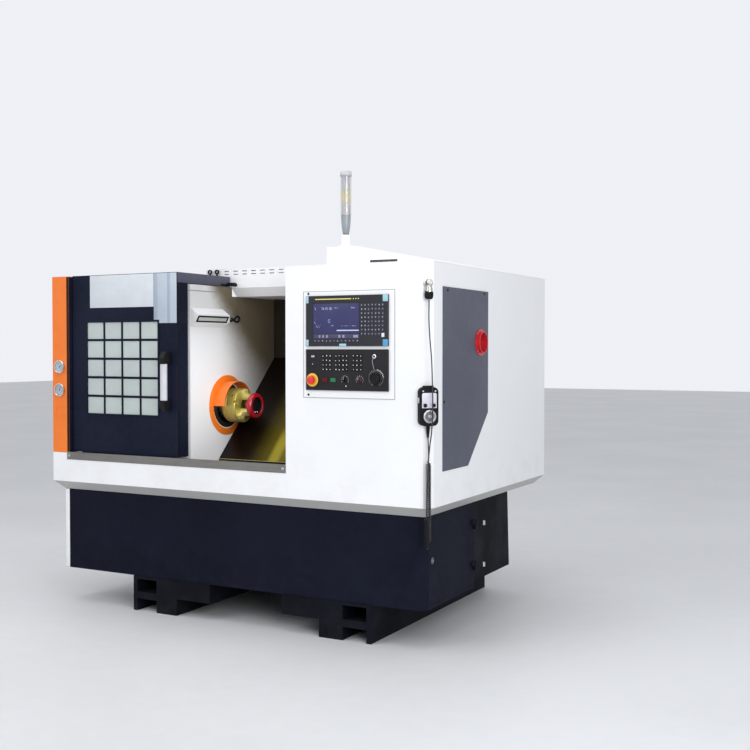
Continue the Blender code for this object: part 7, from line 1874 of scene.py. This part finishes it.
    def caps(self, finishes: Finishes) -> None:
        """Dresses the two buttons and adds the power buttons and key lock."""
        dress(finishes.dark_red, "stop_button")
        dress(finishes.green, "start_button")
        for name, z, finish in (
            ("power_on_cap", 1.321, finishes.grip), ("power_off_cap", 1.285, finishes.black)
        ):
            place = facing(Facing.FRONT, 0.593, self.face, z)
            bezel = Bench.turned("bezel", [(0.0105, 0.0001), (0.0105, 0.0020), (0.0090, 0.0030)], place, 28)
            Bench.fit(Bench.merge(name + "_bezel", [bezel]), finishes.charcoal)
            if name == "power_on_cap":
                halves = [
                    Bench.block("half", (a, -0.0040, 0.0028), (a + 0.0070, 0.0040, 0.0058), 0.0010, place)
                    for a in (-0.0078, 0.0008)]
                Bench.fit(Bench.merge(name, halves), finish)
                continue
            Bench.fit(
                Bench.block(name, (-0.0062, -0.0062, 0.0028), (0.0062, 0.0062, 0.0058), 0.0012, place),
                finish)
            Bench.fit(
                Bench.block(
                    name + "_mark", (-0.0020, -0.0020, 0.0057), (0.0020, 0.0020, 0.0060), 0.0, place),
                finishes.mark)
        place = facing(Facing.FRONT, 0.271, self.face, 1.322)
        Bench.fit(
            Bench.turned(
                "key_lock_ring",
                [(0.0100, 0.0002), (0.0100, 0.0046), (0.0085, 0.0060), (0.0045, 0.0060), (0.0045, 0.0040)],
                place, 32),
            finishes.chrome)
        Bench.fit(
            Bench.block("key_lock_slot", (-0.0009, -0.0032, 0.0041), (0.0009, 0.0032, 0.0050), 0.0, place),
            finishes.rubber)

    def knobs(self, finishes: Finishes) -> None:
        """Builds the pointer knobs, the fluted dial and their marks."""
        spots = (
            ("mode", 0.424, 1.215, Body.MODE, "mode_knob", finishes.black),
            ("override", 0.348, 1.215, Body.OVERRIDE, "override_knob", finishes.maroon))
        for name, t, z, body, node, finish in spots:
            place = facing(Facing.FRONT, t, self.face, z)
            skirt = Bench.turned(
                f"{name}_knob_body",
                [(0.0125, 0.0004), (0.0130, 0.0012), (0.0130, 0.0050), (0.0112, 0.0075), (0.0100, 0.0080)],
                place, 40)
            bar = Bench.block("bar", (-0.0028, -0.0108, 0.0060), (0.0028, 0.0112, 0.0155), 0.0012, place)
            Bench.fit(
                Bench.merge(f"{name}_knob_body", [skirt, bar]), finish, body, (node,), "black_plastic")
            Bench.fit(
                Bench.block(
                    f"{name}_pointer", (-0.0006, 0.001, 0.0150), (0.0006, 0.0108, 0.0158), 0.0, place),
                finishes.mark, body)
            Bench.fit(
                Ticks(0.0155, 0.0205, 0.0013).ring(f"{name}_marks", place, 9, -120, 240), finishes.mark)
        Bench.fit(
            Bench.turned(
                "mode_dot", [(0.0030, 0.0001), (0.0030, 0.0010), (0.0024, 0.0013)],
                facing(Facing.FRONT, 0.4186, self.face, 1.186), 20),
            finishes.mark)
        string = [
            at(t, self.face - out, z)
            for t, out, z in (
                (0.2735, 0.0062, 1.3180), (0.2804, 0.0045, 1.3006), (0.2765, 0.0030, 1.2800),
                (0.2727, 0.0022, 1.2630))]
        Bench.fit(Bench.tube("key_string", smooth_path(string, 0.004), 0.0008, 2), finishes.grip)
        self.dial(finishes)

    def dial(self, finishes: Finishes) -> None:
        """Builds the large fluted dial."""
        place = facing(Facing.FRONT, 0.264, self.face, 1.224)
        skirt = Bench.turned(
            "feed_dial_skirt",
            [(0.0320, 0.0004), (0.0330, 0.0015), (0.0325, 0.0060), (0.0265, 0.0090), (0.0260, 0.0090)],
            place, 72)
        crown = Bench.turned(
            "feed_dial_crown",
            [(0.0250, 0.0080), (0.0245, 0.0200), (0.0225, 0.0218), (0.0160, 0.0219), (0.0150, 0.0205)],
            place, 72)
        flutes = [
            Bench.turned(
                "flute", [(0.0022, 0.0082), (0.0022, 0.0196), (0.0012, 0.0204)],
                place @ Matrix.Rotation(2 * math.pi * i / 18, 4, "Z") @ shift(0.0240, 0, 0), 10)
            for i in range(18)]
        Bench.fit(
            Bench.merge("feed_dial_body", [skirt, crown, *flutes]), finishes.black, Body.FEED,
            ("feed_dial",), "black_plastic")
        Bench.fit(
            Ticks(0.0270, 0.0312, 0.0011).ring(
                "feed_dial_marks", place @ shift(0, 0, 0.0072), 21, -150, 300),
            finishes.mark, Body.FEED)
        Bench.fit(
            Ticks(0.0345, 0.0385, 0.0012).ring("feed_scale_marks", place, 25, -150, 300), finishes.mark)
        Bench.fit(Ticks(0.0350, 0.0405, 0.0024).ring("feed_bold_marks", place, 7, 10, 70), finishes.mark)

    def build(self, finishes: Finishes) -> None:
        """Builds everything of the panel."""
        self.skins(finishes)
        self.legends(finishes)
        self.strips(finishes)
        self.stop(finishes)
        self.caps(finishes)
        self.knobs(finishes)


@dataclass
class Pendant:
    """The hand pendant's plate, wheel, knobs and hanger, and the gland above it."""

    thick: float = 0.0343
    wheel_height: float = 1.060
    knob_height: float = 1.108
    spread: float = 0.020

    def spot(self, a: float, z: float, out: float = 0.0) -> Matrix:
        """Gives a placing on the pendant's front, facing out."""
        front = -self.thick - out
        return corner_frame() @ shift(a, front, z) @ spin(90, "X")

    def front_parts(self, finishes: Finishes) -> None:
        """Adds the lilac plate, wheel, knobs and their marks."""
        dress(finishes.rubber, "pendant_body")
        plate = self.spot(0, 0)
        outline = [
            (-0.034, 1.0965), (0.034, 1.0965), (0.034, 1.158), (0.029, 1.163), (-0.029, 1.163),
            (-0.034, 1.158)]
        Bench.fit(
            Bench.sheet("pendant_plate", outline, 0.0012, plate @ shift(0, 0, 0.0006), 0.0003),
            finishes.lilac)
        for name, a, body, node in (
            ("axis", -self.spread, Body.AXIS_KNOB, "pendant_axis_knob"),
            ("step", self.spread, Body.STEP_KNOB, "pendant_step_knob")
        ):
            place = self.spot(a, self.knob_height)
            knob = Bench.turned(
                f"{name}_knob",
                [(0.0084, 0.0015), (0.0085, 0.0030), (0.0078, 0.0080), (0.0066, 0.0089), (0.0040, 0.0090)],
                place, 28)
            pointer = Bench.block(
                "pointer", (-0.0014, -0.0080, 0.0070), (0.0014, 0.0080, 0.0105), 0.0006, place)
            Bench.fit(
                Bench.merge(f"{name}_knob", [knob, pointer]), finishes.rubber, body, (node,),
                "black_plastic")
            Bench.fit(
                Ticks(0.0100, 0.0128, 0.0008, 0.0003).ring(
                    f"{name}_knob_marks", place @ shift(0, 0, 0.0012), 5, -60, 120),
                finishes.rubber)
        self.wheel(finishes)

    def wheel(self, finishes: Finishes) -> None:
        """Builds the silver hand wheel with its knurl, dark dish and marks."""
        place = self.spot(0, self.wheel_height)
        disc = Bench.turned(
            "wheel_disc",
            [
                (0.0275, 0.0004), (0.0288, 0.0012), (0.0288, 0.0080), (0.0272, 0.0096), (0.0225, 0.0098),
                (0.0215, 0.0086), (0.0080, 0.0086), (0.0070, 0.0096), (0.0030, 0.0098)],
            place, 72)
        teeth = [
            Bench.turned(
                "tooth", [(0.0009, 0.0014), (0.0009, 0.0078)],
                place @ Matrix.Rotation(2 * math.pi * i / 50, 4, "Z") @ shift(0.0287, 0, 0), 6)
            for i in range(50)]
        Bench.fit(
            Bench.merge("pendant_hand_wheel", [disc, *teeth]), finishes.wheel, Body.WHEEL,
            ("pendant_wheel",), "silver_wheel")
        Bench.fit(
            Bench.turned("wheel_dish", [(0.0213, 0.0087), (0.0213, 0.0089)], place, 48), finishes.dish,
            Body.WHEEL)
        Bench.fit(
            Ticks(0.0232, 0.0262, 0.0006, 0.0003).ring(
                "wheel_marks", place @ shift(0, 0, 0.0097), 49, 0, 352.8),
            finishes.rubber, Body.WHEEL)

    def back_parts(self, finishes: Finishes) -> None:
        """Adds the hanger on top, the side button and the strain relief's rings."""
        frame_matrix = corner_frame()
        hanger = [
            Bench.block(
                "hanger_bar", (-0.024, -0.026, 1.1855), (0.024, -0.010, 1.1945), 0.002, frame_matrix),
            Bench.block(
                "hanger_leg", (-0.024, -0.026, 1.176), (-0.016, -0.010, 1.190), 0.002, frame_matrix),
            Bench.block("hanger_leg", (0.016, -0.026, 1.176), (0.024, -0.010, 1.190), 0.002, frame_matrix)]
        Bench.fit(Bench.merge("pendant_hanger", hanger), finishes.rubber)
        # Pale blocks on the pendant's corner screws: painted highlights.
        glints = [
            Bench.block("glint", (a, -0.0350, 1.1680), (a + 0.007, -0.0343, 1.1740), 0.0002, frame_matrix)
            for a in (-0.032, 0.025)]
        Bench.fit(Bench.merge("pendant_corner_screw_glints", glints), finishes.grip)
        Bench.fit(
            Bench.block(
                "pendant_side_button", (-0.0455, -0.024, 1.118), (-0.0428, -0.011, 1.142), 0.001,
                frame_matrix),
            finishes.grip)
        rings = []
        for i in range(5):
            z = 1.004 - 0.008 * i
            r = 0.0092 - 0.0009 * i
            place = frame_matrix @ shift(0, -0.0173, z)
            rings.append(
                Bench.turned(
                    "relief_ring",
                    [(r - 0.0015, 0), (r + 0.0006, 0.0006), (r + 0.0006, 0.0034), (r - 0.0015, 0.004)],
                    place, 24))
        Bench.fit(Bench.merge("pendant_relief_rings", rings), finishes.rubber)

    def gland(self, finishes: Finishes) -> None:
        """Adds the chrome gland's hexagon and the black plug under it."""
        dress(finishes.steel, "pendant_gland")
        base = corner_frame() @ shift(0, 0, 1.645) @ spin(90, "X")
        nut = Bench.turned(
            "gland_hexagon",
            [(0.0160, 0.0125), (0.0170, 0.0140), (0.0170, 0.0230), (0.0160, 0.0245)], base, 6, True, 20.0)
        rings = [
            Bench.turned(
                "gland_ring",
                [(0.0130, z), (0.0153, z + 0.001), (0.0153, z + 0.003), (0.0130, z + 0.004)], base, 28)
            for z in (0.028, 0.034)]
        Bench.fit(nut, finishes.screw)
        Bench.fit(Bench.merge("gland_rings", rings), finishes.rubber)
        plug = corner_frame() @ shift(0, -0.028, 0)
        Bench.fit(
            Bench.turned(
                "gland_black_plug",
                [
                    (0.0090, 1.5722), (0.0150, 1.5752), (0.0185, 1.5830), (0.0196, 1.5930),
                    (0.0188, 1.6030), (0.0158, 1.6110), (0.0110, 1.6150)],
                plug, 36),
            finishes.rubber)

    def build(self, finishes: Finishes) -> None:
        """Builds the pendant and its gland."""
        self.front_parts(finishes)
        self.back_parts(finishes)
        self.gland(finishes)


@dataclass
class SideFittings:
    """The base's side door fittings and the hose collar's inner rim."""

    lock: Point = (0.045, 0.118, 0.398)
    collar: Point = (0.0, 0.559, 1.387)
    hinge: tuple[float, float] = (-0.0085, 0.593)
    hinge_heights: tuple[float, float] = (0.496, 0.293)
    screw_circle: float = 0.0585

    def build(self, finishes: Finishes) -> None:
        """Builds the lock's ring, the hinges' sleeves and the collar's rim."""
        dress(finishes.iron, "side_door_lock")
        place = facing(Facing.RIGHT, *self.lock)
        Bench.fit(
            Bench.ring(
                "lock_escutcheon",
                [(0.0125, 0.0002), (0.0150, 0.0002), (0.0150, 0.0012), (0.0125, 0.0016)], place, 36),
            finishes.iron, Body.SIDE_DOOR)
        for number, height in enumerate(self.hinge_heights):
            hinge = facing(Facing.UP, *self.hinge, height)
            Bench.fit(
                Bench.ring(
                    f"hinge_sleeve_{number}",
                    [(0.0072, 0.0010), (0.0078, 0.0010), (0.0078, 0.0225), (0.0072, 0.0225)], hinge, 24),
                finishes.screw, Body.SIDE_DOOR)
        spot = facing(Facing.RIGHT, *self.collar)
        Bench.fit(
            Bench.ring(
                "collar_rim",
                [
                    (0.0483, 0.0212), (0.0508, 0.0212), (0.0520, 0.0200), (0.0520, 0.0160),
                    (0.0512, 0.0150), (0.0483, 0.0150)],
                spot, 56),
            finishes.collar)
        screws = []
        for i in range(4):
            angle = math.radians(45 + 90 * i)
            screws.append(
                spot @ shift(
                    self.screw_circle * math.cos(angle), self.screw_circle * math.sin(angle), 0.0076))
        Bench.fit(Screws(0.0032, 0.0016).row("collar_screws", screws), finishes.screw)


def main() -> None:
    """Builds the studio, the cord and every sub-assembly in order."""
    logging.basicConfig(level=logging.INFO, format="%(name)s: %(message)s")
    finishes = Finishes()
    Studio().build()
    PendantCord().build(finishes)
    for part in (
        Enclosure(), Door(), Chuck(), WorkSpace(), Gauges(), SignalLamp(), OperatorPanel(), Pendant(),
        SideFittings()
    ):
        part.build(finishes)
        LOG.info("built %s", type(part).__name__)


if __name__ == "__main__":
    main()
